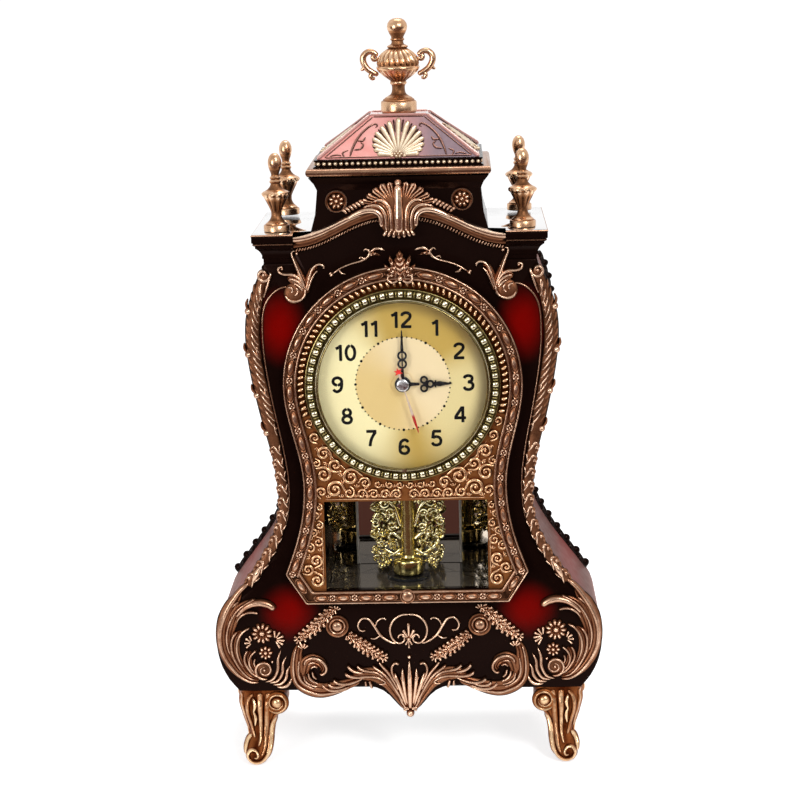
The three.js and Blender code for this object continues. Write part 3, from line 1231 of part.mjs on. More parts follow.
add('mirror_back', block(
  -NICHE_BACK_HALF, NICHE_BACK_HALF, NICHE_BACK_Y, NICHE_BACK_Y + MIRROR_WALL, MIRROR_Z, MIRROR_TOP_Z,
), mirror);
function sideMirror() {
  const rear = point(NICHE_BACK_HALF + SEAT_GAP, NICHE_BACK_Y);
  const front = point(NICHE_FRONT_HALF - 2 * MIRROR_WALL, NICHE_FRONT_Y + SEAT_GAP);
  const along = front.clone().sub(rear).normalize();
  const out = point(-along.y, along.x).multiplyScalar(MIRROR_WALL);
  return slab([rear, front, front.clone().add(out), rear.clone().add(out)], [], MIRROR_Z, MIRROR_TOP_Z);
}
pair('mirror', sideMirror(), mirror);

// Pendulum: a cup and column that turn on a pivot, with scrolled wings, guided in the ceiling
const DISC_TOP_Z = FLOOR_Z + SEAT_GAP + DISC_WALL;
function pivotDisc() {
  const disc = bar('z', 0, PENDULUM_Y, DISC_RADIUS, FLOOR_Z + SEAT_GAP, DISC_TOP_Z, 20);
  const pin = bar('z', 0, PENDULUM_Y, PIVOT_RADIUS, DISC_TOP_Z - 1, DISC_TOP_Z + PIVOT_LENGTH, 12);
  return join(disc, pin);
}
add('pivot_disc', pivotDisc(), blackPlastic);

// A flat scroll with a diamond section, thin along Y
function wing(points, steps, width, thickness) {
  const path = smooth(points, steps);
  return loft(path.map((p, k) => {
    const side = sideways(path, k);
    const t = k / (path.length - 1);
    const half = width(t) / 2;
    const at = (share, y) => {
      return new THREE.Vector3(p.x + side.x * half * share, PENDULUM_Y + y, p.y + side.y * half * share);
    };
    return [at(-1, 0), at(0, -thickness / 2), at(1, 0), at(0, thickness / 2)];
  }));
}
function pendulum() {
  const cupZ = DISC_TOP_Z + HAND_GAP;
  const columnTop = CEILING_Z - HAND_GAP;
  const height = columnTop - cupZ;
  const body = turned([
    [CUP_RADIUS * 0.7, 0], [CUP_RADIUS * 0.9, 0.3 * CUP_HEIGHT], [CUP_RADIUS, 0.85 * CUP_HEIGHT],
    [CUP_RADIUS * 0.8, CUP_HEIGHT], [COLUMN_RADIUS * 1.2, CUP_HEIGHT * 1.05], [COLUMN_RADIUS, CUP_HEIGHT * 1.4],
    [COLUMN_RADIUS * 0.85, height * 0.6], [COLUMN_RADIUS, height * 0.9], [COLUMN_RADIUS * 0.6, height],
  ], 14);
  body.translate(0, PENDULUM_Y, cupZ);
  const guide = bar('z', 0, PENDULUM_Y, PIVOT_RADIUS, columnTop - 1, CEILING_Z + FLOOR_WALL * 0.7, 12);
  const socket = bar('z', 0, PENDULUM_Y, PIVOT_BORE, cupZ - 1, DISC_TOP_Z + PIVOT_LENGTH + HAND_GAP, 12);
  const reach = (side, points) => points.map(([x, z]) => point(side * x * PENDULUM_RADIUS, cupZ + z * height));
  const wings = [-1, 1].flatMap((side) => [
    wing(reach(side, [
      [0.1, 0.24], [0.5, 0.26], [0.86, 0.4], [0.88, 0.58], [0.62, 0.66], [0.46, 0.55], [0.6, 0.48],
    ]), 12, swell(2.6, 6), 3.2),
    wing(reach(side, [[0.1, 0.5], [0.35, 0.72], [0.72, 0.78], [0.78, 0.9], [0.55, 0.92]]), 8, swell(3, 5.4), 3),
    wing(reach(side, [[0.1, 0.3], [0.45, 0.2], [0.75, 0.22], [0.9, 0.3]]), 5, taper(6, 2.4), 3),
  ]);
  return cut(join(body, guide, ...wings), socket);
}
add('pendulum', pendulum(), brass);

// Drive coil under the niche floor that keeps the pendulum turning
const COIL_TOP_Z = FLOOR_Z - FLOOR_WALL - SEAT_GAP;
add('pendulum_coil', bar(
  'z', 0, PENDULUM_Y, COIL_RADIUS, COIL_TOP_Z - COIL_HEIGHT, COIL_TOP_Z, 20,
), brass);

export default clock;
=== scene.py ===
import math

import bpy
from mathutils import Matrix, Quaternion, Vector
import numpy as np


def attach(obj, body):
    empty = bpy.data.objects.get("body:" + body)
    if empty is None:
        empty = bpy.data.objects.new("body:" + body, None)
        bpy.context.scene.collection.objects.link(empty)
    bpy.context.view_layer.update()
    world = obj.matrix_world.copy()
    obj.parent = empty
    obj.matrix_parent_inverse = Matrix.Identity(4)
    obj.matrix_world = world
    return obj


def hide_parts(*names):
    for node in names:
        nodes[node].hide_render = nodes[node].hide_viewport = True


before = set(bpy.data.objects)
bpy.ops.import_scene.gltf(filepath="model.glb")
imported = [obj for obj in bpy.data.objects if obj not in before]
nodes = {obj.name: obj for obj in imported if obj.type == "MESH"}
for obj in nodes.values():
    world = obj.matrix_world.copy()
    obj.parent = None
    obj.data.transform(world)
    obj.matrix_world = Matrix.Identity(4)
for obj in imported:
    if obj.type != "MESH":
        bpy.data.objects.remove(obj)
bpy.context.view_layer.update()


# Case lacquer: the boards and mouldings are moulded, sprayed almost black and polished under a clear
# coat, with a red glow fogged into the field at each shoulder and at each corner of the belly.
def material(name, rough, metal, coat=0.0):
    """A new material with one Principled shader, whose plain values are set on its own sockets."""
    made = bpy.data.materials.new(name)
    made.use_nodes = True
    shader = made.node_tree.nodes["Principled BSDF"]
    shader.inputs["Roughness"].default_value = rough
    shader.inputs["Metallic"].default_value = metal
    shader.inputs["Coat Weight"].default_value = coat
    shader.inputs["Coat Roughness"].default_value = 0.04
    return made, made.node_tree, shader


def feed(target, key, value):
    """Joins a value that changes over the surface to an input of a node."""
    target.id_data.links.new(value, target.inputs[key])


def node(tree, kind, values=None, **settings):
    """A shader node with its settings, and its inputs filled with values or joined to other sockets."""
    made = tree.nodes.new(kind)
    for key, value in settings.items():
        setattr(made, key, value)
    for key, value in (values or {}).items():
        if isinstance(value, bpy.types.NodeSocket):
            feed(made, key, value)
        else:
            made.inputs[key].default_value = value
    return made


def blend(tree, share, low, high):
    """Colour that runs from low to high with a share from 0 to 1."""
    made = node(tree, "ShaderNodeMix", {0: share, 6: low, 7: high}, data_type="RGBA")
    return made.outputs[2]


def span(tree, value, low, high, to_low=0.0, to_high=1.0):
    """A value eased from one range to another, held at its ends."""
    made = node(tree, "ShaderNodeMapRange", {0: value, 1: low, 2: high, 3: to_low, 4: to_high})
    made.interpolation_type = "SMOOTHSTEP"
    return made.outputs[0]


def sums(tree, how, first, second=0.0, third=0.0):
    """One step of arithmetic between values."""
    return node(tree, "ShaderNodeMath", {0: first, 1: second, 2: third}, operation=how).outputs[0]


def distance(tree, across, up):
    """How far a point lies from a middle, by its two offsets."""
    squares = [sums(tree, "POWER", offset, 2) for offset in (across, up)]
    return sums(tree, "SQRT", sums(tree, "ADD", *squares))


def own_place(tree):
    """The piece's own coordinates in metres: across, depth and height."""
    place = node(tree, "ShaderNodeTexCoord").outputs["Object"]
    return tuple(node(tree, "ShaderNodeSeparateXYZ", {0: place}).outputs)


def noise(tree, scale, detail=3.0, stretch=None):
    """Cloudy noise on the piece's own coordinates, in features per metre."""
    place = node(tree, "ShaderNodeTexCoord").outputs["Object"]
    if stretch:
        place = node(tree, "ShaderNodeMapping", {"Vector": place, "Scale": stretch}).outputs[0]
    made = node(tree, "ShaderNodeTexNoise", {"Vector": place, "Scale": scale, "Detail": detail})
    return made.outputs[0]


def mottle(tree, shader, cloud, low, high):
    """Roughness that follows a cloud of noise between two values."""
    feed(shader, "Roughness", span(tree, cloud, 0.3, 0.7, low, high))


def bump(tree, shader, height, strength, deep):
    """Feeds a fine height to the shader's normal."""
    made = node(tree, "ShaderNodeBump", {"Height": height, "Strength": strength, "Distance": deep})
    feed(shader, "Normal", made.outputs[0])


def case_lacquer(name, glows, ground=(0.0038, 0.0014, 0.001, 1), gloss=(0.12, 0.22), shine=0.05, bloom=0.0):
    """Near black, with red round each glow's x and z: the share falls with distance over its width and
    height. Gloss is the range of roughness, and bloom the haze of handling on a satin coat."""
    red = (0.16, 0.0008, 0.0004, 1)
    made, tree, shader = material(name, 0.16, 0, 0.02)
    shader.inputs["Specular IOR Level"].default_value = shine
    shader.inputs["Specular Tint"].default_value = (1, 0.45, 0.34, 1)
    shader.inputs["Sheen Weight"].default_value = bloom
    shader.inputs["Sheen Roughness"].default_value = 0.35
    shader.inputs["Sheen Tint"].default_value = (1, 0.53, 0.47, 1)
    across, _, height = own_place(tree)
    across = sums(tree, "ABSOLUTE", across)
    share = 0.0
    for x, z, wide, tall in glows:
        out = sums(tree, "MULTIPLY", sums(tree, "SUBTRACT", across, x), 1 / wide)
        up = sums(tree, "MULTIPLY", sums(tree, "SUBTRACT", height, z), 1 / tall)
        share = sums(tree, "ADD", share, span(tree, distance(tree, out, up), 0.12, 1, 1, 0))
    cloud = noise(tree, 60)
    colour = blend(tree, cloud, ground, tuple(1.9 * c for c in ground[:3]) + (1,))
    if glows:
        share = sums(tree, "MULTIPLY", share, span(tree, cloud, 0.25, 0.75, 0.86, 1))
        colour = blend(tree, share, colour, red)
    feed(shader, "Base Color", colour)
    mottle(tree, shader, noise(tree, 240), *gloss)
    bump(tree, shader, noise(tree, 130, 2), 0.05, 0.0006)
    return made


lacquer = case_lacquer("case_lacquer", [])
glow_lacquer = case_lacquer("front_lacquer", [(0.0735, 0.2795, 0.0185, 0.0275),
                                              (0.0745, 0.0985, 0.0215, 0.0215)])


# Front board: a waisted board whose edge is upright at belly, waist and shoulder, with a scalloped
# apron below and the tympanum above. It is moulded in one, and its rim is rounded over.
def bend(x0, z0, x1, z1, hold0, hold1, lean0=0.0, lean1=0.0):
    """Cubic stretch of the case edge between two points, with how far each end holds its direction."""
    rise = z1 - z0
    hull = [(x0, z0), (x0 + lean0, z0 + rise * hold0), (x1 - lean1, z1 - rise * hold1), (x1, z1)]
    t = np.linspace(0, 1, 60)[:-1, None]
    weights = np.hstack([(1 - t) ** 3, 3 * t * (1 - t) ** 2, 3 * t**2 * (1 - t), t**3])
    return weights @ np.array(hull)


CASE_FOOT, CASE_HEAD = 47.3, 319.1
CASE_EDGE = np.vstack([
    bend(107.5, CASE_FOOT, 121, 83.3, 0.27, 0.43, 9.5),
    bend(121, 83.3, 77, 170.5, 0.23, 0.43),
    bend(77, 170.5, 93, 274, 0.32, 0.28),
    bend(93, 274, 82.5, CASE_HEAD, 0.49, 0.22, 0, -2.5),
    [[82.5, CASE_HEAD]],
])
EDGE_SLOPE = np.gradient(CASE_EDGE[:, 0], CASE_EDGE[:, 1])


def case_edge(z, inset=0.0):
    """The right edge of the case at heights z, moved square to itself by an inset."""
    x = np.interp(z, CASE_EDGE[:, 1], CASE_EDGE[:, 0])
    slope = np.interp(z, CASE_EDGE[:, 1], EDGE_SLOPE)
    length = np.sqrt(1 + slope**2)
    return np.stack([x - inset / length, z + inset * slope / length], -1)


def run_length(points):
    """How far along a line each of its points lies."""
    return np.concatenate([[0], np.cumsum(np.linalg.norm(np.diff(points, axis=0), axis=1))])


def evenly(points, count):
    """Points measured off at even steps along a line."""
    length = run_length(points)
    wanted = np.linspace(0, length[-1], count)
    return np.stack([np.interp(wanted, length, values) for values in points.T], 1)


def line(points, count):
    """A smooth evenly spaced line through points: each stretch is a cubic that leaves and meets its ends
    along the chord of their neighbours, and the whole is measured off by length."""
    p = np.asarray(points, float)
    p = np.vstack([2 * p[0] - p[1], p, 2 * p[-1] - p[-2]])
    a, b, c, d = p[:-3], p[1:-2], p[2:-1], p[3:]
    t = np.linspace(0, 1, 16, endpoint=False)[:, None, None]
    run = 0.5 * (2 * b + (c - a) * t + (2 * a - 5 * b + 4 * c - d) * t**2 + (3 * b - a - 3 * c + d) * t**3)
    run = np.vstack([run.transpose(1, 0, 2).reshape(-1, p.shape[1]), p[-2:-1]])
    return evenly(run, count)


def skin(rings, crest, loop=False):
    """Closed surface over rings of points, each joined to the next, with a pole at each end or, in a loop,
    the last ring joined to the first. Crest says how high each point stands, for wear and dirt."""
    count, around = rings.shape[:2]
    grid = np.arange(count * around).reshape(count, around)
    low, high = (grid, np.roll(grid, -1, 0)) if loop else (grid[:-1], grid[1:])
    faces = np.stack([low, np.roll(low, -1, 1), np.roll(high, -1, 1), high], -1).reshape(-1, 4)
    points, crest = rings.reshape(-1, 3), np.broadcast_to(crest, (count, around)).ravel()
    if not loop:
        poles = np.stack([rings[0].mean(0), rings[-1].mean(0)])
        first, last = grid[0], grid[-1]
        start, end = np.full(around, count * around), np.full(around, count * around + 1)
        opening = np.stack([start, np.roll(first, -1), first, first], -1)
        closing = np.stack([end, last, np.roll(last, -1), np.roll(last, -1)], -1)
        faces = np.vstack([faces, opening, closing])
        points = np.vstack([points, poles])
        crest = np.concatenate([crest, [crest[0], crest[-1]]])
    return points, faces, crest


def lay(patch, place=lambda p: p):
    """A patch put in its place, with its faces outwards: a negative enclosed volume turns them round."""
    points, faces, crest = patch
    points = place(points)
    a, b, c, d = (points[faces[:, k]] - points.mean(0) for k in range(4))
    volume = np.sum(a * np.cross(b, c)) + np.sum(a * np.cross(c, d))
    return points, faces if volume > 0 else faces[:, [1, 0, 3, 2]], crest


def mirrored(patches):
    """The same patches on the other side of the middle plane."""
    return [lay(patch, lambda p: p * [-1, 1, 1]) for patch in patches]


def build(name, patches, finish, replaced=(), body="case", sharp=42):
    """One object of closed patches in millimetres, smooth but for edges sharper than an angle."""
    starts = np.cumsum([0] + [len(p) for p, _, _ in patches])
    points = np.vstack([p for p, _, _ in patches]) / 1000
    faces = np.vstack([f + s for (_, f, _), s in zip(patches, starts)])
    sizes = np.where(faces[:, 2] == faces[:, 3], 3, 4)
    corners = faces[np.arange(4) < sizes[:, None]]
    mesh = bpy.data.meshes.new(name)
    mesh.vertices.add(len(points))
    mesh.vertices.foreach_set("co", points.astype(np.float32).ravel())
    mesh.loops.add(len(corners))
    mesh.loops.foreach_set("vertex_index", corners.astype(np.int32))
    mesh.polygons.add(len(faces))
    mesh.polygons.foreach_set("loop_start", (np.cumsum(sizes) - sizes).astype(np.int32))
    crest = mesh.attributes.new("crest", "FLOAT", "POINT")
    crest.data.foreach_set("value", np.concatenate([c for _, _, c in patches]).astype(np.float32))
    mesh.update(calc_edges=True)
    mesh.validate()
    mesh.shade_smooth()
    mesh.set_sharp_from_angle(angle=math.radians(sharp))
    made = bpy.data.objects.new(name, mesh)
    bpy.context.scene.collection.objects.link(made)
    made.data.materials.append(finish)
    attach(made, body)
    if replaced:
        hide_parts(*replaced)


def dress(finish, *names):
    """Gives CAD nodes a finish in place of their plain colour."""
    for name in names:
        nodes[name].data.materials.clear()
        nodes[name].data.materials.append(finish)


def pediment_top(x):
    """Upper edge of the pediment: a flat crown, then half a cosine down to the corner blocks."""
    reach = np.clip((np.abs(x) - 8) / 56, 0, 1)
    return 335.6 + 17.5 * (1 + np.cos(math.pi * reach)) / 2


DIAL_Z = 243.5
ARCH_RADIUS = 73.1
SILL_Z = 105


def frame_outline():
    """Right half of the dial frame's outline, from the sill's middle round the foot to the arch's crown."""
    flare = bend(75.6, 124.6, 62.6, 180.2, 0.2, 0.45, -4.1)
    shoulder = bend(62.6, 180.2, ARCH_RADIUS, DIAL_Z, 0.35, 0.35)
    turn = np.linspace(0, math.pi / 2, 60)[:, None]
    arch = np.hstack([ARCH_RADIUS * np.cos(turn), DIAL_Z + ARCH_RADIUS * np.sin(turn)])
    foot = np.array([[0, SILL_Z], [20, SILL_Z], [40, SILL_Z], [63.2, SILL_Z], [69.4, 114.8]])
    return np.vstack([foot, flare, shoulder, arch])


def front_board():
    """Ring from under the dial frame to the case outline: seen from a point in the middle, each direction
    gives one radius on either outline, and the section between them has a rounded rim."""
    apron = line([(0, 30.8), (6.3, 35.4), (16.8, 46.3), (31.5, 49.5), (56, 44.7), (70, CASE_FOOT)], 60)
    base = np.stack([np.linspace(71, 107, 20), np.full(20, CASE_FOOT)], 1)
    top = np.linspace(63.7, 0, 50)
    tympanum = np.stack([top, pediment_top(top) - 8.8], 1)
    outline = np.vstack([apron, base, CASE_EDGE, [[63.75, CASE_HEAD]], tympanum])
    heart = np.array([0, 190])
    polar = lambda p: (np.arctan2(p[:, 0], heart[1] - p[:, 1]), np.hypot(*(p - heart).T))
    angle, outer = polar(outline)
    frame_angle, frame_radius = polar(frame_outline())
    inner = np.interp(angle, frame_angle, frame_radius) - 4
    angle = np.concatenate([angle, -angle[-2:0:-1]])
    outer, inner = (np.concatenate([r, r[-2:0:-1]]) for r in (outer, inner))
    radius = np.stack([inner, inner, outer - 1.3, outer - 0.4, outer + 0.1, outer + 0.1, outer - 1], 1)
    depth = np.array([-46.2, -50.15, -50.15, -49.9, -49.2, -46.5, -46.2])
    flat = radius[..., None] * np.stack([np.sin(angle), -np.cos(angle)], 1)[:, None] + heart
    rings = np.stack([flat[..., 0], np.broadcast_to(depth, radius.shape), flat[..., 1]], -1)
    return lay(skin(rings, 0.5, loop=True))


build("front_board", [front_board()], glow_lacquer)
dress(lacquer, "front_panel")


# Side walls: two bent boards between front and back that follow the same edge, lacquered and polished.
def side_wall():
    """Sheet 3 mm thick along the case edge, carried from front to back."""
    z = np.linspace(50.6, 319.05, 220)
    outer, inner = case_edge(z), case_edge(z, 3)
    inner[:, 1] = z
    depths = [-45.7, -45.2, 46.2, 46.7]
    front = [np.insert(outer, 1, y, 1) for y in depths]
    back = [np.insert(inner, 1, y, 1) for y in depths[::-1]]
    return lay(skin(np.stack(front + back, 1), 0.5))


def build_pair(name, patches, finish, replaced):
    """A piece on the right and its mirror image on the left, each in place of its CAD node."""
    build(f"{name}_right", patches, finish, [f"{replaced}_right"])
    build(f"{name}_left", mirrored(patches), finish, [f"{replaced}_left"])


satin = {"ground": (0.02, 0.008, 0.0062, 1), "gloss": (0.3, 0.44), "shine": 0.004, "bloom": 0.5}
wall_lacquer = case_lacquer("wall_lacquer", [(0.112, 0.119, 0.03, 0.019)], **satin)
build_pair("side_wall", [side_wall()], wall_lacquer, "side_panel")


# Base, back cover and access door: moulded dark plastic with a fine spark-eroded grain, the cover screwed
# to the walls and the door hung on pins between the cover's lugs.
def moulded_plastic(name, colour, rough=0.42, shine=0.5):
    """Plastic with cloudy gloss and a fine grain as bump."""
    made, tree, shader = material(name, rough, 0)
    shader.inputs["Specular IOR Level"].default_value = shine
    cloud = noise(tree, 45)
    light = tuple(min(1, 1.35 * c + 0.004) for c in colour) + (1,)
    feed(shader, "Base Color", blend(tree, cloud, tuple(colour) + (1,), light))
    mottle(tree, shader, noise(tree, 500), rough - 0.07, rough + 0.1)
    bump(tree, shader, noise(tree, 2400, 2), 0.25, 0.0002)
    return made


black_plastic = moulded_plastic("black_plastic", (0.012, 0.01, 0.01))
dress(black_plastic, "back_cover", "access_door", "base_plate")


# Antique bronze: cast relief, painted bronze and rubbed back, so that hollows stay dark brown and the
# crests shine. The mounts, the dial frame and the finials share this finish in several tones.
def aged_metal_group():
    """Colour, gloss and grain from the crest of a surface: dirt in the hollows, bare metal on the heights,
    with cloudy noise between them."""
    tree = bpy.data.node_groups.new("aged_metal", "ShaderNodeTree")
    ask = tree.interface.new_socket
    for name, kind in (("Crest", "Float"), ("Deep", "Color"), ("Middle", "Color"), ("Bright", "Color")):
        ask(name, in_out="INPUT", socket_type=f"NodeSocket{kind}")
    for name, kind in (("Color", "Color"), ("Roughness", "Float"), ("Height", "Float")):
        ask(name, in_out="OUTPUT", socket_type=f"NodeSocket{kind}")
    given, wanted = tree.nodes.new("NodeGroupInput"), tree.nodes.new("NodeGroupOutput")
    coarse = sums(tree, "SUBTRACT", noise(tree, 160, 4), 0.5)
    fine = sums(tree, "SUBTRACT", noise(tree, 1300, 2), 0.5)
    worn = sums(tree, "ADD", given.outputs["Crest"], sums(tree, "MULTIPLY", coarse, 0.42))
    worn = sums(tree, "ADD", worn, sums(tree, "MULTIPLY", fine, 0.18))
    low = blend(tree, span(tree, worn, 0.05, 0.48), given.outputs["Deep"], given.outputs["Middle"])
    colour = blend(tree, span(tree, worn, 0.62, 1.1), low, given.outputs["Bright"])
    feed(wanted, "Color", colour)
    feed(wanted, "Roughness", span(tree, worn, 0.1, 1, 0.52, 0.24))
    feed(wanted, "Height", sums(tree, "ADD", coarse, sums(tree, "MULTIPLY", fine, 0.5)))
    return tree


aged_metal = aged_metal_group()


def aged(name, deep, middle, bright, crest=None, metal=1.0, polish=1.0):
    """Material over the aged metal group. Crest is read from the piece, or is one height for a plain piece,
    and polish scales the roughness."""
    made, tree, shader = material(name, 0.3, metal)
    group = node(tree, "ShaderNodeGroup", node_tree=aged_metal)
    if crest is None:
        read = node(tree, "ShaderNodeAttribute", attribute_name="crest")
        feed(group, "Crest", read.outputs["Fac"])
    else:
        group.inputs["Crest"].default_value = crest
    for key, colour in (("Deep", deep), ("Middle", middle), ("Bright", bright)):
        group.inputs[key].default_value = colour + (1,)
    feed(shader, "Base Color", group.outputs["Color"])
    feed(shader, "Roughness", sums(tree, "MULTIPLY", group.outputs["Roughness"], polish))
    bump(tree, shader, group.outputs["Height"], 0.25, 0.0005)
    return made


bronze = aged("antique_bronze", (0.012, 0.004, 0.002), (0.265, 0.108, 0.052), (0.93, 0.64, 0.45))
gold = aged("warm_gold", (0.06, 0.01, 0.002), (0.26, 0.08, 0.022), (0.96, 0.68, 0.4))


# Feet: four cast legs under the corners. Each is square at the knee, leans out to an ankle and ends in a
# rolled toe, with a leaf on its outer face, bands down its front and a ball in a volute at the inner side.
def square_to(path):
    """Unit directions square to a flat line, at each of its points."""
    run = np.gradient(path, axis=0)
    run /= np.linalg.norm(run, axis=1)[:, None]
    return np.stack([-run[:, 1], run[:, 0]], 1)[:, None]


def rounded_ends(t, blunt, least):
    """Share of full size along a run from 0 to 1, with both ends rounded like a quarter circle."""
    return np.sqrt(np.clip(1 - (1 - np.clip(np.minimum(t, 1 - t) / blunt, 0, 1)) ** 2, least, 1))


def spread(values, t):
    """Values given from start to end, read along a run from 0 to 1."""
    return np.interp(t, np.linspace(0, 1, np.size(values)), np.atleast_1d(values))


def full_turn(count):
    """Angles at even steps round a full turn."""
    return np.arange(count) * 2 * math.pi / count


def ridge(points, width, height, flutes=0, count=None, sides=8, blunt=0.14, sink=0.25, tone=1.0):
    """Ridge along a smooth line on a flat ground: half round across, or cut into flutes by a cosine, with
    width and height given from start to end and both ends rounded like a quarter circle. Tone is how far its
    crest is rubbed bright."""
    points = np.asarray(points, float)
    length = np.linalg.norm(np.diff(points, axis=0), axis=1).sum()
    count = count or int(np.clip(length / 0.9, 10, 90))
    path = line(points, count)
    t = np.linspace(0, 1, count)
    tip = rounded_ends(t, blunt, 0.002)
    half, rise = spread(width, t) / 2 * tip, spread(height, t) * tip
    s = np.linspace(-1, 1, 5 * flutes + 1 if flutes else sides + 1)
    dome = np.sqrt(np.clip(1 - s**2, 0, 1))
    shape = dome * (0.45 + 0.55 * np.abs(np.sin(flutes * math.pi * (s + 1) / 2))) if flutes else dome
    flat = path[:, None] + square_to(path) * (half[:, None] * s)[..., None]
    top = np.dstack([flat, rise[:, None] * shape])
    under = np.dstack([flat[:, [-1, 0]], np.full((count, 2), -sink)])
    crest = np.hstack([np.broadcast_to(shape, top.shape[:2]) * (0.7 + 0.3 * tip[:, None]),
                       np.zeros((count, 2))])
    return skin(np.concatenate([top, under], 1), tone * crest)


def leaf(points, width, height, lobes, sides=12, blunt=0.6, sink=0.25):
    """Carved leaf along a smooth line: its outline swells and tapers with a lobe cut in at each step, its
    veins slant to the tip, and a rib runs along the middle."""
    points = np.asarray(points, float)
    count = 7 * lobes + 5
    path = line(points, count)
    t = np.linspace(0, 1, count)[:, None]
    s = np.linspace(-1, 1, 2 * sides + 1)[None]
    swell = np.sin(math.pi * np.clip(0.04 + 0.96 * t, 0, 1) ** blunt) ** 0.75
    cut = np.abs(np.sin(math.pi * (lobes * t + 0.25)))
    vein = np.abs(np.sin(math.pi * (lobes * t + 0.25 - 0.75 * np.abs(s))))
    half = np.maximum(width / 2 * swell * (0.7 + 0.3 * cut), 0.05)
    shape = np.sqrt(np.clip(1 - s**2, 0, 1)) * (0.5 + 0.5 * vein) * (0.45 + 0.55 * swell)
    shape = np.maximum(shape, np.exp(-((s / 0.13) ** 2)) * (0.35 + 0.65 * swell))
    shape[:, [0, -1]] = 0
    flat = path[:, None] + square_to(path) * (half * s)[..., None]
    top = np.dstack([flat, height * shape])
    under = np.dstack([flat[:, [-1, 0]], np.full((count, 2), -sink)])
    crest = np.hstack([0.15 + 0.85 * shape * (0.4 + 0.6 * vein), np.zeros((count, 2))])
    return skin(np.concatenate([top, under], 1), crest)


def turned(profile, sides=24, lobes=0, depth=0.0, twist=0.0):
    """Form turned about its own axis from radius and height, or radius, height and a share of gadrooning,
    where the radius dips between the lobes. The ends are closed."""
    rows = np.array([tuple(p) + (0,) * (3 - len(p)) for p in profile], float)
    angle = full_turn(sides)
    lobe = np.ones((len(rows), sides))
    if lobes:
        lobe = np.abs(np.cos(lobes * (angle[None] + twist * rows[:, 1:2]) / 2))
    radius = np.maximum(rows[:, :1], 0.02) * (1 - depth * rows[:, 2:] * (1 - lobe))
    rings = np.stack([radius * np.cos(angle), radius * np.sin(angle),
                      np.broadcast_to(rows[:, 1:2], radius.shape)], -1)
    steep = np.gradient(rows[:, 0])
    bent = np.sign(np.round(steep - np.roll(steep, 1), 3))[:, None]
    crest = np.clip(0.55 + 0.5 * (lobe - 0.6) * (rows[:, 2:] > 0) - 0.3 * bent, 0.1, 1)
    return skin(rings, crest)


def bead(x, z, radius, height, sides=10):
    """Half-round bead on a flat ground."""
    rise = np.linspace(0, math.pi / 2, 5)
    dome = [(radius * math.cos(a), height * math.sin(a)) for a in rise]
    points, faces, _ = turned([(radius, -0.25)] + dome, sides)
    return points + [x, z, 0], faces, np.clip(0.15 + 0.85 * points[:, 2] / height, 0, 1)


def blossom(x, z, radius, height, petals, turn=0.0):
    """Flower on a flat ground: petals swell from a bead in the middle and dip between each other."""
    share = np.linspace(0, 1, 13)[:, None]
    angle = full_turn(10 * petals)[None]
    petal = np.abs(np.cos(petals * (angle - turn) / 2))
    reach = radius * (0.72 + 0.28 * petal**0.5)
    body = np.where(share < 0.3, np.sqrt(np.clip(1 - (share / 0.3) ** 2, 0, 1)) * 0.95,
                    np.sin(math.pi * np.clip((share - 0.26) / 0.74, 0, 1)) * (0.3 + 0.6 * petal))
    body = np.where(share >= 1, 0, np.maximum(body, 0.08))[::-1]
    out = (share * reach)[::-1]
    rings = np.stack([x + out * np.cos(angle), z + out * np.sin(angle),
                      height * np.broadcast_to(body, out.shape)], -1)
    skirt = rings[:1] * [1, 1, 0] - [0, 0, 0.25]
    crest = np.vstack([np.zeros((1, angle.size)), np.clip(1.25 * body, 0, 1)])
    return skin(np.vstack([skirt, rings]), crest)


FOOT_LEVELS = np.array([
    (0, 4.4, 97.8, 0.98, 2), (0.9, 5.6, 97.8, 1, 2), (3.3, 7.2, 97.8, 1, 2), (8, 8.3, 97.4, 1, 2),
    (12.7, 8, 96.5, 0.82, 2.1), (17.9, 7.2, 95.4, 0.62, 2.3), (24.5, 8.6, 95.6, 0.42, 2.5),
    (31, 12.6, 94.3, 0.18, 3), (37.5, 15.2, 93.1, 0.03, 3.8), (41.5, 14.8, 92.9, 0, 4),
    (44.5, 15.5, 92.9, 0, 4), (47, 15.3, 92.9, 0, 4),
])
LEG_Y, LEG_LEAN = -34.5, 16.7


def foot_section(z):
    """Half width, middle, lean and squareness of the leg's section at a height."""
    return (np.interp(z, FOOT_LEVELS[:, 0], FOOT_LEVELS[:, k]) for k in (1, 2, 3, 4))


def foot_hollow(angle):
    """How far a direction about the leg lies between two of its five rounded edges."""
    return 1 - np.abs(np.cos(2.5 * (angle + math.pi / 4)))


def foot_skin(angle, z, out=0.0):
    """Point of a right front foot at an angle about its leg and a height, raised by out: the section is a
    super-ellipse whose half width, middle, lean and squareness run smoothly between levels."""
    half, middle, lean, power = foot_section(z)
    c, s = np.cos(angle), np.sin(angle)
    carve = 1 - 0.1 * np.exp(-(((z - 24) / 15) ** 2)) * foot_hollow(angle)
    x = np.sign(c) * np.abs(c) ** (2 / power) * half * carve + out * c
    y = np.sign(s) * np.abs(s) ** (2 / power) * half * carve + out * s
    return np.stack([middle + x, LEG_Y - LEG_LEAN * lean + y, np.broadcast_to(z, x.shape)], -1)


def on_foot(points):
    """Ground of the foot's relief: across is an angle in tenths of a radian, up is height."""
    return foot_skin(points[:, 0] / 10, points[:, 1], points[:, 2])


def on_foot_front(points):
    """Ground on the front of the foot: across, up and towards the front from the leg's section."""
    x, z = points[:, 0], points[:, 1]
    half, middle, lean, power = foot_section(z)
    off = np.clip(np.abs(x - middle) / half, 0, 0.98)
    face = 0.97 * half * (1 - off**power) ** (1 / power)
    return np.stack([x, LEG_Y - LEG_LEAN * lean - face - points[:, 2], z], 1)


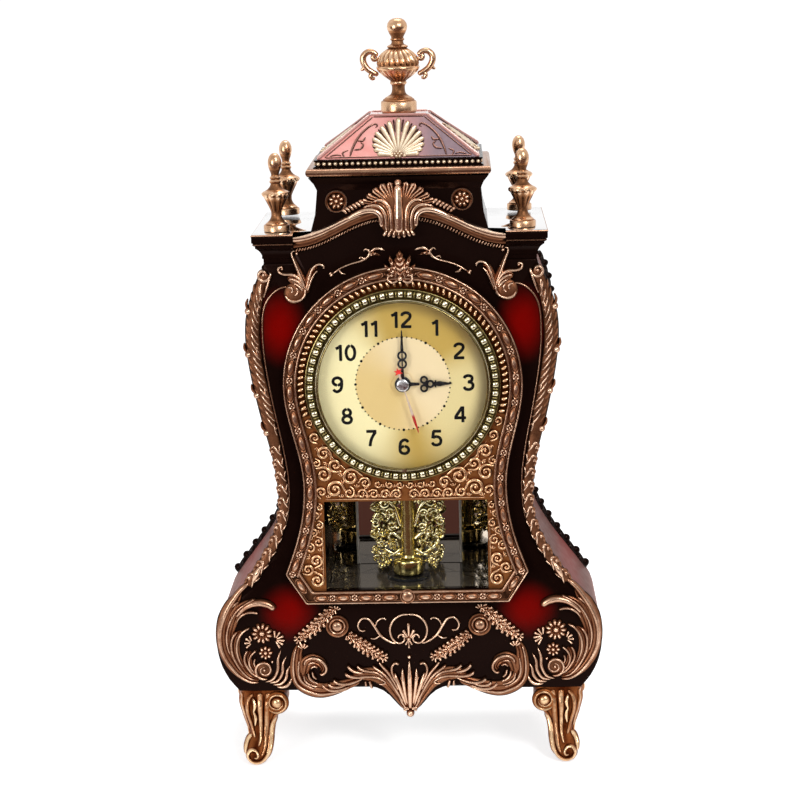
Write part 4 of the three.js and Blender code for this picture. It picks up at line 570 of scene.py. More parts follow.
def cast_foot():
    """Right front foot: the leg's skin with a leaf at the outer side, bands that run down and roll up in the
    toe, and a ball in a volute at the knee."""
    levels = np.concatenate([np.linspace(47, 0.9, 70), [0.4, 0]])
    angle = full_turn(64)
    rings = foot_skin(angle[None], levels[:, None])
    patches = [lay(skin(rings, 0.34 - 0.24 * foot_hollow(angle)[None]))]
    patches += [lay(ridge(path, width, height, sides=10, sink=1.2), on_foot) for path, width, height in (
        ([(-0.2, 45), (-0.6, 32), (-0.8, 18), (-2, 6)], (3, 3.4, 5, 4), (1.2, 1.6, 1.5, 1)),
        ([(4.6, 45), (4, 32), (3.2, 18), (1.6, 6)], (2.4, 2.8, 4, 3), (1, 1.3, 1.2, 0.8)),
    )]
    patches += [lay(leaf([(2, 45), (1.4, 36), (1, 25), (-0.4, 15)], 7, 1.6, 5, sink=1.0), on_foot)]
    roll = [(85.2, 29), (87.4, 24.4), (88.4, 19), (88.8, 13), (90.2, 7), (93.4, 3.2), (97.8, 1.9),
            (102, 3.4), (103.4, 6.8), (101.6, 10.2), (98.4, 10.6), (96.4, 8.2), (97.2, 5.6), (99.6, 5.8)]
    patches += [lay(ridge(path, width, height, sides=10, sink=1.2, blunt=0.06, tone=tone), on_foot_front)
                for path, width, height, tone in (
        (roll, (3.6, 3.8, 3.8, 3.6, 3.2, 2.6, 2.2, 1.8), (1.8, 2.3, 2.3, 2, 1.6), 0.98),
        ([(89.6, 46), (90.4, 38), (91, 29), (91.6, 20), (92.2, 12), (94.6, 6.4)], (4, 4.6, 4.2, 3.8, 3.2, 2),
         (1.6, 2.2, 2.2, 1.8), 0.8),
        ([(94.8, 46), (95, 36), (94.9, 26), (95, 17), (96.4, 12)], (4.6, 4.6, 3.6, 2.8, 1.6),
         (1.8, 2.4, 2.2, 1.6), 0.86),
        ([(99, 45.4), (102.6, 40.4), (103.2, 33), (101.2, 25.4), (98.6, 16.6)], (2.2, 3.4, 3.2, 2.8, 1.6),
         (1.4, 2.2, 2, 1.4), 0.8),
        ([(99.4, 42.4), (98.2, 37.4), (99.4, 32.6)], (1.6, 3.2, 1.4), (1.8, 3, 2), 1.05),
        ([(99.6, 34.4), (98, 29.6), (98.6, 23.4)], (1.4, 3, 1.2), (1.8, 2.8, 1.8), 1),
        ([(107, 45.6), (107.3, 38), (105.4, 29.6), (102.6, 20.6)], (3, 3.6, 3.2, 1.8), (1.4, 1.9, 1.8, 1.2),
         0.84),
        ([(100.8, 18.4), (103.4, 15.6), (104.8, 11.4), (105, 6.4)], (1.6, 3, 3.2, 1.6), (1.4, 2, 1.8, 1), 1),
        ([(81.4, 32.4), (84.4, 31), (87.6, 27.2)], (1.6, 2.8, 1.6), (1.4, 1.8, 1.2), 0.7),
    )]
    spiral = np.linspace(0, 1, 60)
    turns = -0.4 - 9.6 * spiral
    coil = np.stack([np.cos(turns), np.sin(turns)], 1) * (6.7 - 3.2 * spiral)[:, None]
    for at in (lambda p: np.stack([84.3 + p[:, 0], -50 - p[:, 2], 39 + p[:, 1]], 1),
               lambda p: np.stack([108.4 + p[:, 2], -25.7 - p[:, 0], 39 + p[:, 1]], 1)):
        drum, faces, _ = turned([(7.2, -4.5), (7.7, -0.6), (7.4, 0.5), (6.6, 1.1), (5.4, 0.9), (4.6, 0.3),
                                 (0.1, 0.2)], 36)
        patches += [lay((drum, faces, np.interp(drum[:, 2], [-4.5, 0.2, 1.1], [0.3, 0.12, 0.6])), at)]
        patches += [lay(ridge(coil, (2.4, 2, 1.5), (1.7, 1.6, 1.1), count=70, tone=0.86), at)]
        patches += [lay(bead(0, 0, 3.9, 3, 18), at)]
    return patches


for row, turn_y in (("front", 1), ("rear", -1)):
    right = [lay(p, lambda q: q * [1, turn_y, 1]) for p in cast_foot()]
    build_pair(f"cast_foot_{row}", right, gold, f"foot_{row}")


# Shoulder cornice: a dark moulded slab on the walls with a stepped block at each corner, open at the front
# between the blocks for the tympanum.
def moulded_frame(levels, plan):
    """Moulding of an overhang and a height at each level, carried round a plan that moves out with it."""
    rings = np.array([[(x, y, z) for x, y in plan(out)] for out, z in levels], float)
    return lay(skin(rings, 0.5))


def cornice_plan(out):
    """Rectangle with a notch between the corner blocks."""
    x, y = 82.5 + 6.5 * out, 50 + 6 * out
    right = [(64, -45.7), (64, -y), (x, -y), (x, y)]
    return right + [(-a, b) for a, b in right[::-1]]


CORNICE_LEVELS = [
    (0, 0), (0, 0.13), (0.1, 0.15), (0.13, 0.19), (0.1, 0.23), (0.12, 0.27), (0.2, 0.34), (0.36, 0.43),
    (0.58, 0.5), (0.68, 0.52), (0.7, 0.6), (0.84, 0.62), (0.88, 0.66), (0.84, 0.7), (0.97, 0.72), (1, 0.75),
    (1, 0.95), (0.95, 1),
]
CORNICE_FOOT, CORNICE_RISE = 319.4, 17.7
levels = [(out, CORNICE_FOOT + CORNICE_RISE * up) for out, up in CORNICE_LEVELS]
cornice = moulded_frame(levels, cornice_plan)
build("cornice_moulding", [cornice], lacquer, ["shoulder_cornice"], sharp=30)


def deck_gloss():
    """Polished black that turns to a mirror where it is seen along its face."""
    made, tree, shader = material("deck_gloss", 0.04, 0, 0.3)
    along = span(tree, node(tree, "ShaderNodeLayerWeight").outputs["Facing"], 0.5, 0.78)
    cloud = noise(tree, 60)
    ground = blend(tree, cloud, (0.006, 0.0025, 0.002, 1), (0.012, 0.005, 0.004, 1))
    feed(shader, "Base Color", blend(tree, along, ground, (0.93, 0.92, 0.92, 1)))
    feed(shader, "Metallic", along)
    mottle(tree, shader, cloud, 0.03, 0.07)
    return made


deck = moulded_frame([(0.9, 336.9), (0.95, 337.15), (0.93, 337.2)], cornice_plan)
build("cornice_deck", [deck], deck_gloss())


def edge_bead(out, z):
    """Thin bead 1 mm high on the moulding's face, at an overhang and a height."""
    levels = [(out - 0.02, z), (out + 0.05, z + 0.3), (out + 0.05, z + 0.7), (out - 0.02, z + 1)]
    return moulded_frame(levels, cornice_plan)


umber_gold = aged("umber_gold", (0.07, 0.03, 0.018), (0.3, 0.145, 0.085), (0.66, 0.41, 0.26), crest=0.8)
build("cornice_edge", [edge_bead(1, 335.9), edge_bead(0.87, 330.6)], umber_gold, sharp=30)


# Pediment: a cast moulding that swings up over the dial between the blocks, rubbed bright with a painted
# highlight along its upper edge and swell, and finished below with a cabled edge.
PEDIMENT_DROP = 9.8


def pediment_swell():
    """Moulding profile, as a share of its drop and a depth, under the pediment's upper edge."""
    profile = np.array([
        (0, -46), (0, -55.2), (0.03, -55.8), (0.1, -56), (0.2, -55.9), (0.3, -55.3), (0.36, -54.5),
        (0.42, -53.9), (0.52, -53.6), (0.62, -53.7), (0.68, -53.3), (0.72, -52.2), (0.84, -51.4),
        (0.97, -51.4), (1, -51), (1, -46),
    ])
    x = np.linspace(-63.7, 63.7, 120)[:, None]
    z = pediment_top(x) - PEDIMENT_DROP * profile[:, 0]
    rings = np.stack([np.broadcast_to(x, z.shape), np.broadcast_to(profile[:, 1], z.shape), z], -1)
    # Crest down the drop: the upper face and swell are set brightest, wear on the heights with a painted
    # highlight on top; the recess below is dark.
    share = [0, 0.04, 0.12, 0.24, 0.36, 0.52, 0.62, 0.72, 1]
    crest = np.interp(profile[:, 0], share, [1, 1.2, 1.15, 0.9, 0.66, 0.56, 0.66, 0.1, 0.05])
    return lay(skin(rings, crest[None]))


def facing(y):
    """Ground that faces the front at a depth: across, up and towards the front."""
    return lambda p: np.stack([p[:, 0], y - p[:, 2], p[:, 1]], 1)


def cable():
    """Slanted lays of a cable along the moulding's lower edge."""
    x = np.linspace(-62, 62, 73)
    z = pediment_top(x) - 0.87 * PEDIMENT_DROP
    lays = []
    for a, b in zip(x, z):
        slant = [(a - 0.9, b - 1.3), (a, b), (a + 0.9, b + 1.3)]
        lays += [ridge(slant, 1.4, 1.5, count=8, sides=6, blunt=0.5, tone=0.85)]
    return [lay(p, facing(-51.3)) for p in lays]


build("pediment_swell", [pediment_swell()] + cable(), bronze, ["pediment_moulding"])


# Cartouche: a cast shell over the middle of the pediment, with a ribbed stem, a fan of lobes above, two
# curls at its sides, leaves that run down the moulding and a fringe below.
def both(points):
    """A drawn line and its mirror image."""
    points = np.asarray(points, float)
    return [points, points * [-1, 1]]


boss = turned([(11.4, -0.25), (11.6, 0.8), (10.2, 1.7), (6, 2.2), (0.1, 2.3)], 36)
shell = [ridge([(0, 365.6), (0, 358), (0, 346), (0, 336)], (20, 27, 25, 17), (1.4, 2, 2.4, 1.8), sides=20,
               blunt=0.3, tone=0.36)]
shell += [ridge(p, (9, 8, 5, 2), (2.2, 2.2, 1.8, 1.2), sides=12, tone=0.5)
          for p in both([(3, 353), (10, 353), (18, 351.4), (27, 347.6)])]
worn = np.interp(boss[0][:, 2], [-0.25, 0.8, 2.3], [0, 0.2, 0.42])
shell += [(boss[0] * [1, 0.86, 1] + [0, 345.2, 0], boss[1], worn)]
for (x, z), (root_x, root_z), width in (
    ((5.2, 367.4), (3, 357), 5), ((10.4, 366.4), (4.4, 356.6), 5.2), ((15.2, 363.6), (6.2, 356.2), 5),
    ((19, 360), (9, 355.8), 4.4), ((22, 356.6), (12.4, 354.8), 3.8),
):
    for path in both([(root_x, root_z), (0.5 * x + 0.5 * root_x, 0.54 * z + 0.46 * root_z), (x, z)]):
        shell += [ridge(path, (2.6, 0.8 * width, width), (2, 2.4, 3), flutes=2, blunt=0.16, tone=1.15)]
for path, width, height, tone in (
    ([(4.4, 337.6), (4.5, 346), (5.4, 352.2), (8.4, 356.2), (12.6, 357), (15.4, 355.6)],
     (2.4, 3.2, 3.4, 3.4, 2.6, 1.6), (3.2, 3.8, 3.6, 3), 1.1),
    ([(7.4, 338.2), (7.5, 345.6), (9, 350.8), (12.6, 353.8), (17.6, 353.8), (21.6, 352.4)],
     (2.4, 3, 3.2, 3.2, 2.4, 1.4), (3, 3.5, 3.3, 2.4), 1),
    ([(10.4, 340.2), (10.2, 345.2), (11.6, 348.8), (15.2, 350.8), (20.4, 350.6), (26.4, 348.4),
      (31.4, 345.6)], (3, 4, 4.4, 4.6, 4.4, 3.4, 1.8), (2.8, 3.4, 3.2, 2), 1.15),
    ([(6, 338), (6, 347), (7.2, 351.8), (10.6, 355.2), (14.4, 355.2)], (0.8, 0.9, 0.9, 0.7),
     (3.6, 3.9, 3.6, 2.6), 1.1),
):
    shell += [ridge(p, width, height, blunt=0.08, tone=tone) for p in both(path)]
shell += [ridge([(0, 366.4), (0, 358), (0, 348), (0, 336.4)], (5.4, 6.2, 7.2, 6.2), (3.6, 4.2, 4.4, 3.4),
                sides=14, blunt=0.1, tone=1.15), bead(0, 366.8, 2.3, 3.4, 16)]
for x in (0, 2.9, 5.7, 8.3):
    for path in both([(0.8 * x, 339.6), (x, 337), (1.16 * x, 333 + 0.26 * x)]):
        shell += [ridge(path, (1.8, 2.6, 2.5), (2.4, 3, 2.6), blunt=0.25)]
for step in range(6):
    at = np.array([20.2 + 2.1 * step, 353.9 - 0.98 * step])
    for path in both([at, at + [1.5, 1.9], at + [3.6, 3.1 - 0.16 * step]]):
        shell += [ridge(path, (1.8, 2.9 - 0.15 * step, 1.7), 2.4, sides=7, blunt=0.3, tone=0.9)]
build("cartouche_shell", [lay(p, facing(-56.2)) for p in shell], bronze, ["pediment_cartouche"])


# Attic: a lacquered box that leans in to a cove, with an eight-petalled rosette in a thin ring at each side
# of its front.
dress(lacquer, "attic_box")
ROSETTE_X, ROSETTE_Z = 38, 354.7
points, faces, _ = turned([(6.9, -1), (6.9, 0.5), (6.6, 0.9), (6.2, 0.9), (5.9, 0.4), (5.2, 0.1),
                           (0.1, 0.1)], 40)
rosettes = []
for x in (-ROSETTE_X, ROSETTE_X):
    rosettes += [blossom(x, ROSETTE_Z, 5.2, 1.6, 8, turn=math.pi / 8)]
    rosettes += [(points + [x, ROSETTE_Z, 0], faces, np.where(points[:, 2] > 0.3, 0.8, 0.05))]
build("attic_rosettes", [lay(p, facing(-40.75)) for p in rosettes], bronze)


# Attic cornice: a rounded bronze fascia on the attic, a black plinth on it and a row of cream beads round
# the plinth under the eaves.
def rectangle_plan(half_x, half_y):
    """Plan of a rectangle whose sides move out together."""
    corners = ((1, -1), (1, 1), (-1, 1), (-1, -1))
    return lambda out: [(a * (half_x + out), b * (half_y + out)) for a, b in corners]


FASCIA_LEVELS = [(-3, 369.7), (-1.6, 370), (-0.5, 370.8), (0, 371.9), (0, 373.2), (-0.4, 374.2),
                 (-1.4, 374.8), (-3.2, 374.9)]
fascia = moulded_frame(FASCIA_LEVELS, rectangle_plan(55.8, 46.2))
build("fascia_band", [fascia], umber_gold, ["attic_cornice"], sharp=30)
PLINTH_X, PLINTH_Y, PEARL_Z = 49.8, 40.2, 377.35
PLINTH_LEVELS = [(1.6, 374.9), (1.6, 375.4), (0.7, 375.8), (0, 376.1), (0, 378.6), (0.9, 378.8),
                 (1.1, 379.3), (0.9, 379.8), (-3, 379.9)]
plinth = moulded_frame(PLINTH_LEVELS, rectangle_plan(PLINTH_X, PLINTH_Y))
build("eaves_plinth", [plinth], lacquer, sharp=30)
pearls = []
for x in np.linspace(-48.2, 48.2, 29):
    pearl = bead(x, PEARL_Z, 1.25, 1.1, 10)
    pearls += [lay(pearl, facing(-PLINTH_Y))]
    pearls += [lay(pearl, lambda p: np.stack([p[:, 0], PLINTH_Y + p[:, 2], p[:, 1]], 1))]
for y in np.linspace(-38.4, 38.4, 23):
    pearl = bead(y, PEARL_Z, 1.25, 1.1, 10)
    for side in (-1, 1):
        pearls += [lay(pearl, lambda p: np.stack([side * (PLINTH_X + p[:, 2]), p[:, 0], p[:, 1]], 1))]
cream = aged("cream_gold", (0.12, 0.05, 0.03), (0.5, 0.33, 0.2), (0.92, 0.77, 0.56), metal=0.55)
build("eaves_pearls", pearls, cream)


# Roof: four sloping panels in glossy rose lacquer with pale ribs on the hips, each panel framed by a dark
# line and filled with a cast palmette between two vines.
def rose_lacquer():
    """Rose red under a clear coat, with cloudy pigment, that darkens across the roof to a grey lilac at the
    right:
    a painted shade of the right-hand side.
    """
    made, tree, shader = material("rose_lacquer", 0.2, 0, 1)
    across, _, _ = own_place(tree)
    cloud = noise(tree, 70, 4)
    # Share of painted shade: it grows from the left of the roof to the right, wavering with the clouds.
    share = span(tree, sums(tree, "ADD", across, sums(tree, "MULTIPLY", cloud, 0.012)), -0.012, 0.034)
    rosy = blend(tree, span(tree, cloud, 0.35, 0.75, 0, 0.35), (0.76, 0.27, 0.23, 1), (0.92, 0.58, 0.52, 1))
    feed(shader, "Base Color", blend(tree, share, rosy, (0.21, 0.125, 0.15, 1)))
    mottle(tree, shader, noise(tree, 300), 0.14, 0.26)
    bump(tree, shader, noise(tree, 160, 2), 0.06, 0.0005)
    return made


EAVES_X, EAVES_Y, EAVES_Z = 49, 39.2, 380
RIDGE_X, RIDGE_Y, ROOF_RISE = 17.6, 13.5, 24
roof_rings = []
for f in (0, 0.02, 0.5, 0.98, 1):
    x, y, z = EAVES_X + (RIDGE_X - EAVES_X) * f, EAVES_Y + (RIDGE_Y - EAVES_Y) * f, EAVES_Z + ROOF_RISE * f
    roof_rings += [[(x, -y, z), (x, y, z), (-x, y, z), (-x, -y, z)]]
build("roof_panels", [lay(skin(np.array(roof_rings), 0.5))], rose_lacquer(), ["roof"], sharp=15)


def on_slope(half, top, facing_x=False, sign=-1):
    """Ground on a roof slope: across, up the slope and square to it, by the distance of its foot and top."""
    drop = np.array([half - top, ROOF_RISE])
    up = drop / np.linalg.norm(drop)

    def place(p):
        """Distance out falls and height grows with the way up the slope, and relief adds to both."""
        out = half - p[:, 1] * up[0] + p[:, 2] * up[1]
        z = EAVES_Z + p[:, 1] * up[1] + p[:, 2] * up[0]
        return np.stack([sign * out, p[:, 0], z], 1) if facing_x else np.stack([p[:, 0], sign * out, z], 1)

    return place


def fan(x, z, angles, reach, width, height, root=2.0, tone=1.0):
    """Lobes that spread from one point at angles from upright, narrow at the root and round at the tip."""
    lobes = []
    for angle, far in zip(np.radians(angles), np.broadcast_to(reach, len(angles))):
        out = np.array([math.sin(angle), math.cos(angle)])
        path = np.array([x, z]) + out * np.array([[root], [0.5 * far], [far]])
        widths, heights = width * np.array([0.45, 0.7, 1]), height * np.array([0.6, 0.8, 1])
        lobes += [ridge(path, widths, heights, sides=10, blunt=0.22, tone=tone)]
    return lobes


def roof_ornament(scale):
    """Palmette of fifteen lobes between two vines with spurs, drawn for a slope 32 mm high."""
    angles = np.linspace(-84, 84, 15)
    reach = 28.4 - 16.4 * (np.abs(angles) / 84) ** 1.1
    lobes = fan(0, 2.2, angles, reach * scale, 3.9 * scale, 1.1, root=3)
    lobes += [blossom(0, 2.6, 3.2, 1.9, 6), bead(-3.8, 1.6, 1.2, 1.2), bead(3.8, 1.6, 1.2, 1.2)]
    vines = []
    for angle, far in zip(np.radians(angles[:-1] + 6), np.interp(angles[:-1] + 6, angles, reach) * scale):
        out = np.array([math.sin(angle), math.cos(angle)])
        between = [(0, 2.2) + share * far * out for share in (0.62, 0.8, 0.99)]
        vines += [ridge(between, (0.5, 0.9, 1.5), 0.55, sides=5, blunt=0.2, tone=0.3)]
    for path in both([(27, 1.4), (25.5, 8), (22.4, 16), (17.6, 22.6), (13.4, 25.6), (11.8, 24.2),
                      (13.2, 22.8)]):
        vines += [ridge(path * scale, (1.3, 1.7, 1.5, 1.1), 0.75, sides=7)]
    spurs = both([(25, 6.5), (21.2, 7.2), (19.6, 10.4), (21.4, 12)])
    spurs += both([(23.4, 13.5), (20, 13.2), (18.4, 16)])
    vines += [ridge(path * scale, (0.8, 1.6, 0.7), 0.7, sides=7) for path in spurs]
    for path in both([(30, 1.2), (31, 4.6), (27.8, 6.4)]) + both([(38.5, 2), (34.5, 3.2), (31.5, 2.2)]):
        vines += [ridge(path * scale, (0.7, 1.3, 0.6), 0.6, sides=7)]
    return lobes, vines


slopes = [(on_slope(EAVES_Y, RIDGE_Y, False, side), 1.08, EAVES_X, RIDGE_X, 35.1) for side in (-1, 1)]
slopes += [(on_slope(EAVES_X, RIDGE_X, True, side), 0.93, EAVES_Y, RIDGE_Y, 39.4) for side in (-1, 1)]
palmettes, vines = [], []
for place, scale, _, _, _ in slopes:
    lobes, stems = roof_ornament(scale)
    palmettes += [lay(p, place) for p in lobes]
    vines += [lay(p, place) for p in stems]
build("roof_palmettes", palmettes, cream)
dark_line = aged("dark_line", (0.02, 0.008, 0.006), (0.1, 0.042, 0.034), (0.34, 0.17, 0.13))
for place, _, foot, head, length in slopes:
    low, high = 1.2, length - 1.6
    low_x, high_x = (foot + (head - foot) * up / length - 3.4 for up in (low, high))
    frame_line = [(-low_x, low), (low_x, low), (high_x, high), (-high_x, high), (-low_x, low)]
    vines += [lay(ridge(frame_line[k:k + 2], 0.9, 0.5, sides=6, blunt=0.02), place) for k in range(4)]
build("roof_vines", vines, dark_line)


def rod(path, radius, place, sides=10):
    """Round rod along a smooth line in a plane, with radii from start to end and rounded tips."""
    count = int(np.clip(np.linalg.norm(np.diff(path, axis=0), axis=1).sum() / 0.6, 12, 80))
    run_line = line(path, count)
    t = np.linspace(0, 1, count)
    thick = spread(radius, t) * rounded_ends(t, 0.05, 0.01)
    angle = full_turn(sides)
    across = run_line[:, None] + square_to(run_line) * (thick[:, None] * np.cos(angle))[..., None]
    rings = np.dstack([across, thick[:, None] * np.sin(angle)])
    return lay(skin(rings, 0.55 + 0.45 * np.sin(angle)[None] ** 2), place)


hips = []
for sx in (-1, 1):
    for sy in (-1, 1):
        low = np.array([sx * (EAVES_X - 0.1), sy * (EAVES_Y - 0.1), EAVES_Z + 0.2])
        high = np.array([sx * (RIDGE_X - 0.2), sy * (RIDGE_Y - 0.1), EAVES_Z + ROOF_RISE])
        along = (high - low) / np.linalg.norm(high - low)
        side = np.cross(along, [0, 0, 1])
        side /= np.linalg.norm(side)
        up = np.cross(side, along)
        place = lambda p: low + p[:, :1] * along + p[:, 1:2] * side + p[:, 2:] * up
        hips += [rod([(0, 0), (16, 0), (31, 0), (47, 0)], (1.5, 1.2, 1.1, 1.3), place)]
for sy in (-1, 1):
    place = lambda p: p + [0, sy * RIDGE_Y, EAVES_Z + ROOF_RISE - 0.1]
    hips += [rod([(-RIDGE_X, 0), (-6, 0), (6, 0), (RIDGE_X, 0)], 0.9, place)]
rib_rose = aged("rib_rose", (0.1, 0.03, 0.026), (0.5, 0.24, 0.21), (0.88, 0.62, 0.55), metal=0.2)
build("roof_ribs", hips, rib_rose)


# Urn: turned and cast in one, on a stepped foot, with a gadrooned bowl and lid, an egg-shaped bud and two
# scrolled handles, pinned through the roof.
URN_PROFILE = [
    (10.6, 0), (11, 0.6), (11.1, 1.4), (11.1, 6.2), (10.7, 7), (9.8, 7.4), (9.5, 8.2), (8.6, 8.7),
    (8.3, 9.2), (6.8, 10), (5.2, 10.9), (4.4, 12), (4, 13.6), (3.95, 15.6), (4.2, 16.8), (5, 17.4),
    (5.2, 18.1), (5, 18.8), (4.7, 19.2), (5.6, 19.9, 0.3), (8, 21.6, 0.5), (10.4, 23.4, 0.5),
    (12.2, 25.2, 0.3), (12.9, 26.2), (13.3, 26.9), (13.4, 27.7), (13, 28.4), (12.7, 28.8, 0.5),
    (13.1, 30, 1), (12.9, 32, 1), (11.9, 34.2, 1), (10.2, 36.2, 1), (8, 37.8, 0.8), (6.2, 38.8, 0.3),
    (5.7, 39.3), (6.4, 39.8), (6.5, 40.4), (5.8, 40.9), (4.2, 41.5), (3.7, 42.4), (3.6, 43.6), (4.3, 44.2),
    (4.3, 44.9), (3.7, 45.4), (3.9, 46.2), (5, 48.2), (6, 50.4), (6.3, 52.2), (5.9, 54.2), (4.6, 56.1),
    (2.8, 57.1), (0.6, 57.4),
]


def upright(x, y, z):
    """Place of a form turned about an upright axis."""
    return lambda p: p + [x, y, z]


URN_FOOT = 404.3
urn = [lay(turned(URN_PROFILE, 160, lobes=20, depth=0.13, twist=0.02), upright(0, 0, URN_FOOT))]
across_urn = lambda p: np.stack([p[:, 0], p[:, 2], URN_FOOT + p[:, 1]], 1)
for path, radius in (
    ([(11.8, 33.4), (14.6, 32.2), (15.4, 34.2), (13.6, 35.2), (13, 34)], (1.2, 1.4, 1.1)),
    ([(12.4, 34.4), (14.6, 36.6), (18, 37.2), (20.9, 34.9), (21.3, 31.4), (19.4, 27.6), (16.2, 25),
      (12, 23)], (1.5, 1.8, 2, 2, 1.8, 1.5)),
    ([(20.2, 28.8), (21.6, 26.8), (23.2, 26.3)], (1.4, 1.2, 0.6)),
    ([(15.4, 24.4), (17, 22.6), (15.8, 20.8), (14.2, 21.6)], (1.5, 1.4, 0.9)),
):
    urn += [rod(p, radius, across_urn) for p in both(path)]
finial_bronze = aged("finial_bronze", (0.06, 0.02, 0.008), (0.44, 0.2, 0.088), (0.97, 0.66, 0.42))
build("urn_turned", urn, finial_bronze, ["urn_finial"], sharp=40)


# Corner finials: small turned vases with a fluted cup, a crown of leaves and an egg, one on each block.
FINIAL_PROFILE = [
    (7.5, 0), (7.9, 0.4), (7.9, 3.6), (7.6, 4), (6.7, 4.2), (6.6, 4.9), (5.6, 5.6), (4.3, 6.8), (3.5, 8.2),
    (3.1, 9.6), (3.1, 11.8), (3.6, 13.2, 0.4), (4.6, 15.4, 0.8), (6, 18.2, 0.8), (7.2, 20.6, 0.7),
    (7.9, 22, 0.4), (8.3, 22.4), (8.35, 23.2), (8.1, 23.7), (7.6, 24.1), (6.3, 24.7), (4.8, 25.6),
    (3.7, 26.8), (3, 28.1), (2.8, 29), (3.4, 29.6), (3.5, 30.5), (2.9, 31.1), (2.7, 31.6), (3.2, 32),
    (3.3, 32.8), (2.6, 33.4), (2.3, 34.2), (2.6, 35.4), (3.2, 37), (3.9, 39.2), (4.15, 41.2), (3.95, 43.4),
    (3.2, 45.4), (1.9, 46.9), (0.6, 47.3),
]
FINIAL_FOOT, CROWN_RADIUS, CROWN_RISE = 337.4, 7.5, 22.6
tip, faces, _ = turned([(0.1, -1.5), (0.8, -1), (1.25, 0.1), (0.9, 0.9), (0.1, 1.4)], 8)
bright = np.full(len(tip), 0.9)
for row, y in (("front", -41), ("rear", 41)):
    for hand, x in (("left", -74.5), ("right", 74.5)):
        place = upright(x, y, FINIAL_FOOT)
        vase = [lay(turned(FINIAL_PROFILE, 80, lobes=10, depth=0.1), place)]
        for turn in full_turn(14):
            out = [CROWN_RADIUS * math.cos(turn), CROWN_RADIUS * math.sin(turn), CROWN_RISE]
            vase += [lay((tip + out, faces, bright), place)]
        name = f"{row}_{hand}"
        build(f"corner_vase_{name}", vase, finial_bronze, [f"corner_finial_{name}"], sharp=40)


# Leaf trims: cast strips pinned along the edges of the case. The front pair has slanted leaflets with round
# buds at the shoulder and a chain of small forked leaves at the waist. The rear pair is lacquered dark.
FRONT_FACE = -50.3


def on_front_edge(points):
    """Ground along the right front edge: across is measured in from the edge, up is height."""
    at = case_edge(points[:, 1], points[:, 0])
    return np.stack([at[:, 0], FRONT_FACE - points[:, 2], at[:, 1]], 1)


def on_rear_edge(points):
    """Ground along the rear edge of the right wall: across is depth, up is height, out is square to it."""
    at = case_edge(points[:, 1], -0.2 - points[:, 2])
    return np.stack([at[:, 0], points[:, 0], at[:, 1]], 1)


def spiral_line(x, z, start, turns, far, near, count=48):
    """Points of a volute that winds from an outer to an inner radius."""
    share = np.linspace(0, 1, count)
    angle = np.radians(start) + 2 * math.pi * turns * share
    radius = far + (near - far) * share
    return np.stack([x + radius * np.cos(angle), z + radius * np.sin(angle)], 1)


def leaf_strip():
    """Leaflets along the edge on a rounded brown body that is wider at the shoulder."""
    z = np.linspace(117, 315.5, 40)
    wide = np.interp(z, [117, 150, 200, 225, 285, 315.5], [6.4, 6.6, 7, 9.2, 9.6, 6.5])
    body = np.stack([np.interp(z, [117, 215, 260], [1.6, 1.7, 2.3]), z], 1)
    strip = [ridge(body, wide, 1.9, count=120, sides=10, blunt=0.02, tone=0.34)]
    for at in np.arange(219.5, 304, 4.85):
        strip += [ridge([(1, at + 5), (2.7, at + 1), (4.9, at - 3), (6.3, at - 4.6)], (0.9, 1.9, 1.8, 0.9),
                        (2, 2.9, 2.6, 1.4), blunt=0.2)]
        strip += [ridge([(-1.8, at + 4.4), (-0.6, at + 0.6), (1.6, at - 3.2)], (1, 2.2, 1), (1, 2, 1.6),
                        sides=7, tone=0.4)]
    for at in (214.5, 238.2, 263.5, 289.8):
        strip += [bead(-1.3, at, 2.3, 3, 16)]
        strip += [ridge([(-3, at + 7.5), (-3.2, at + 4), (-1.8, at + 1)], (1, 2, 1.6), 2.2, sides=7,
                        tone=0.6)]
        strip += [ridge([(4.6, at + 5.5), (4.3, at + 1), (4.8, at - 3.4)], (1, 1.9, 1.1), (1.8, 2.6, 1.8),
                        sides=7)]
    for at in np.arange(121, 210, 8.1):
        strip += [ridge([(1, at + 4.6), (2.2, at + 1.2), (4.7, at - 3.6)], (1.4, 2.3, 1), (2.2, 2.9, 1.6),
                        blunt=0.24)]
        strip += [ridge([(4.9, at + 4.2), (4, at + 1.4), (3.2, at - 0.6)], (0.9, 1.7, 1), (1.6, 2.4, 1.8),
                        sides=7)]
        strip += [leaf([(1.2, at + 4.4), (-0.6, at + 0.6), (-0.9, at - 4.2)], 4.6, 2.4, 3, sides=6)]
    strip += [ridge([(1.2, 131.6), (1.6, 126.4), (3, 119.8)], (2.2, 5, 2.6), (2.6, 4.2, 2.8), sides=10,
                    blunt=0.3)]
    head = spiral_line(1.8, 313, 40, -1.25, 4.4, 0.9, 36)
    strip += [ridge(head, (2.6, 2.4, 1.8), (2.4, 2.8, 2.6)), bead(1.8, 313, 1.5, 3, 12)]
    strip += [ridge([(6, 313), (6.2, 307), (6.1, 299.5)], (2, 2, 1), (2.4, 2.7, 1.4))]
    return strip + [ridge([(1.8, 308.5), (3.4, 302.5), (4.2, 296)], (1.6, 2.4, 1.2), (2.2, 2.9, 2.2))]


def rear_strip():
    """Overlapping leaves along the wall's rear edge, with a round knob on each."""
    strip = [ridge([(42.3, 97), (42.3, 312)], 8, 1, count=110, blunt=0.03)]
    for at in np.arange(102.4, 308, 8.4):
        strip += [leaf([(42.3, at + 6), (41.6, at + 1), (42.8, at - 5)], 8.4, 2.6, 3, sides=7)]
        strip += [bead(42.6, at - 2.2, 2.7, 4.3, 12)]
    return strip


right = [lay(p, on_front_edge) for p in leaf_strip()]
build_pair("leaf_strip_front", right, bronze, "leaf_trim_front")
right = [lay(p, on_rear_edge) for p in rear_strip()]
build_pair("leaf_strip_rear", right, lacquer, "leaf_trim_rear")


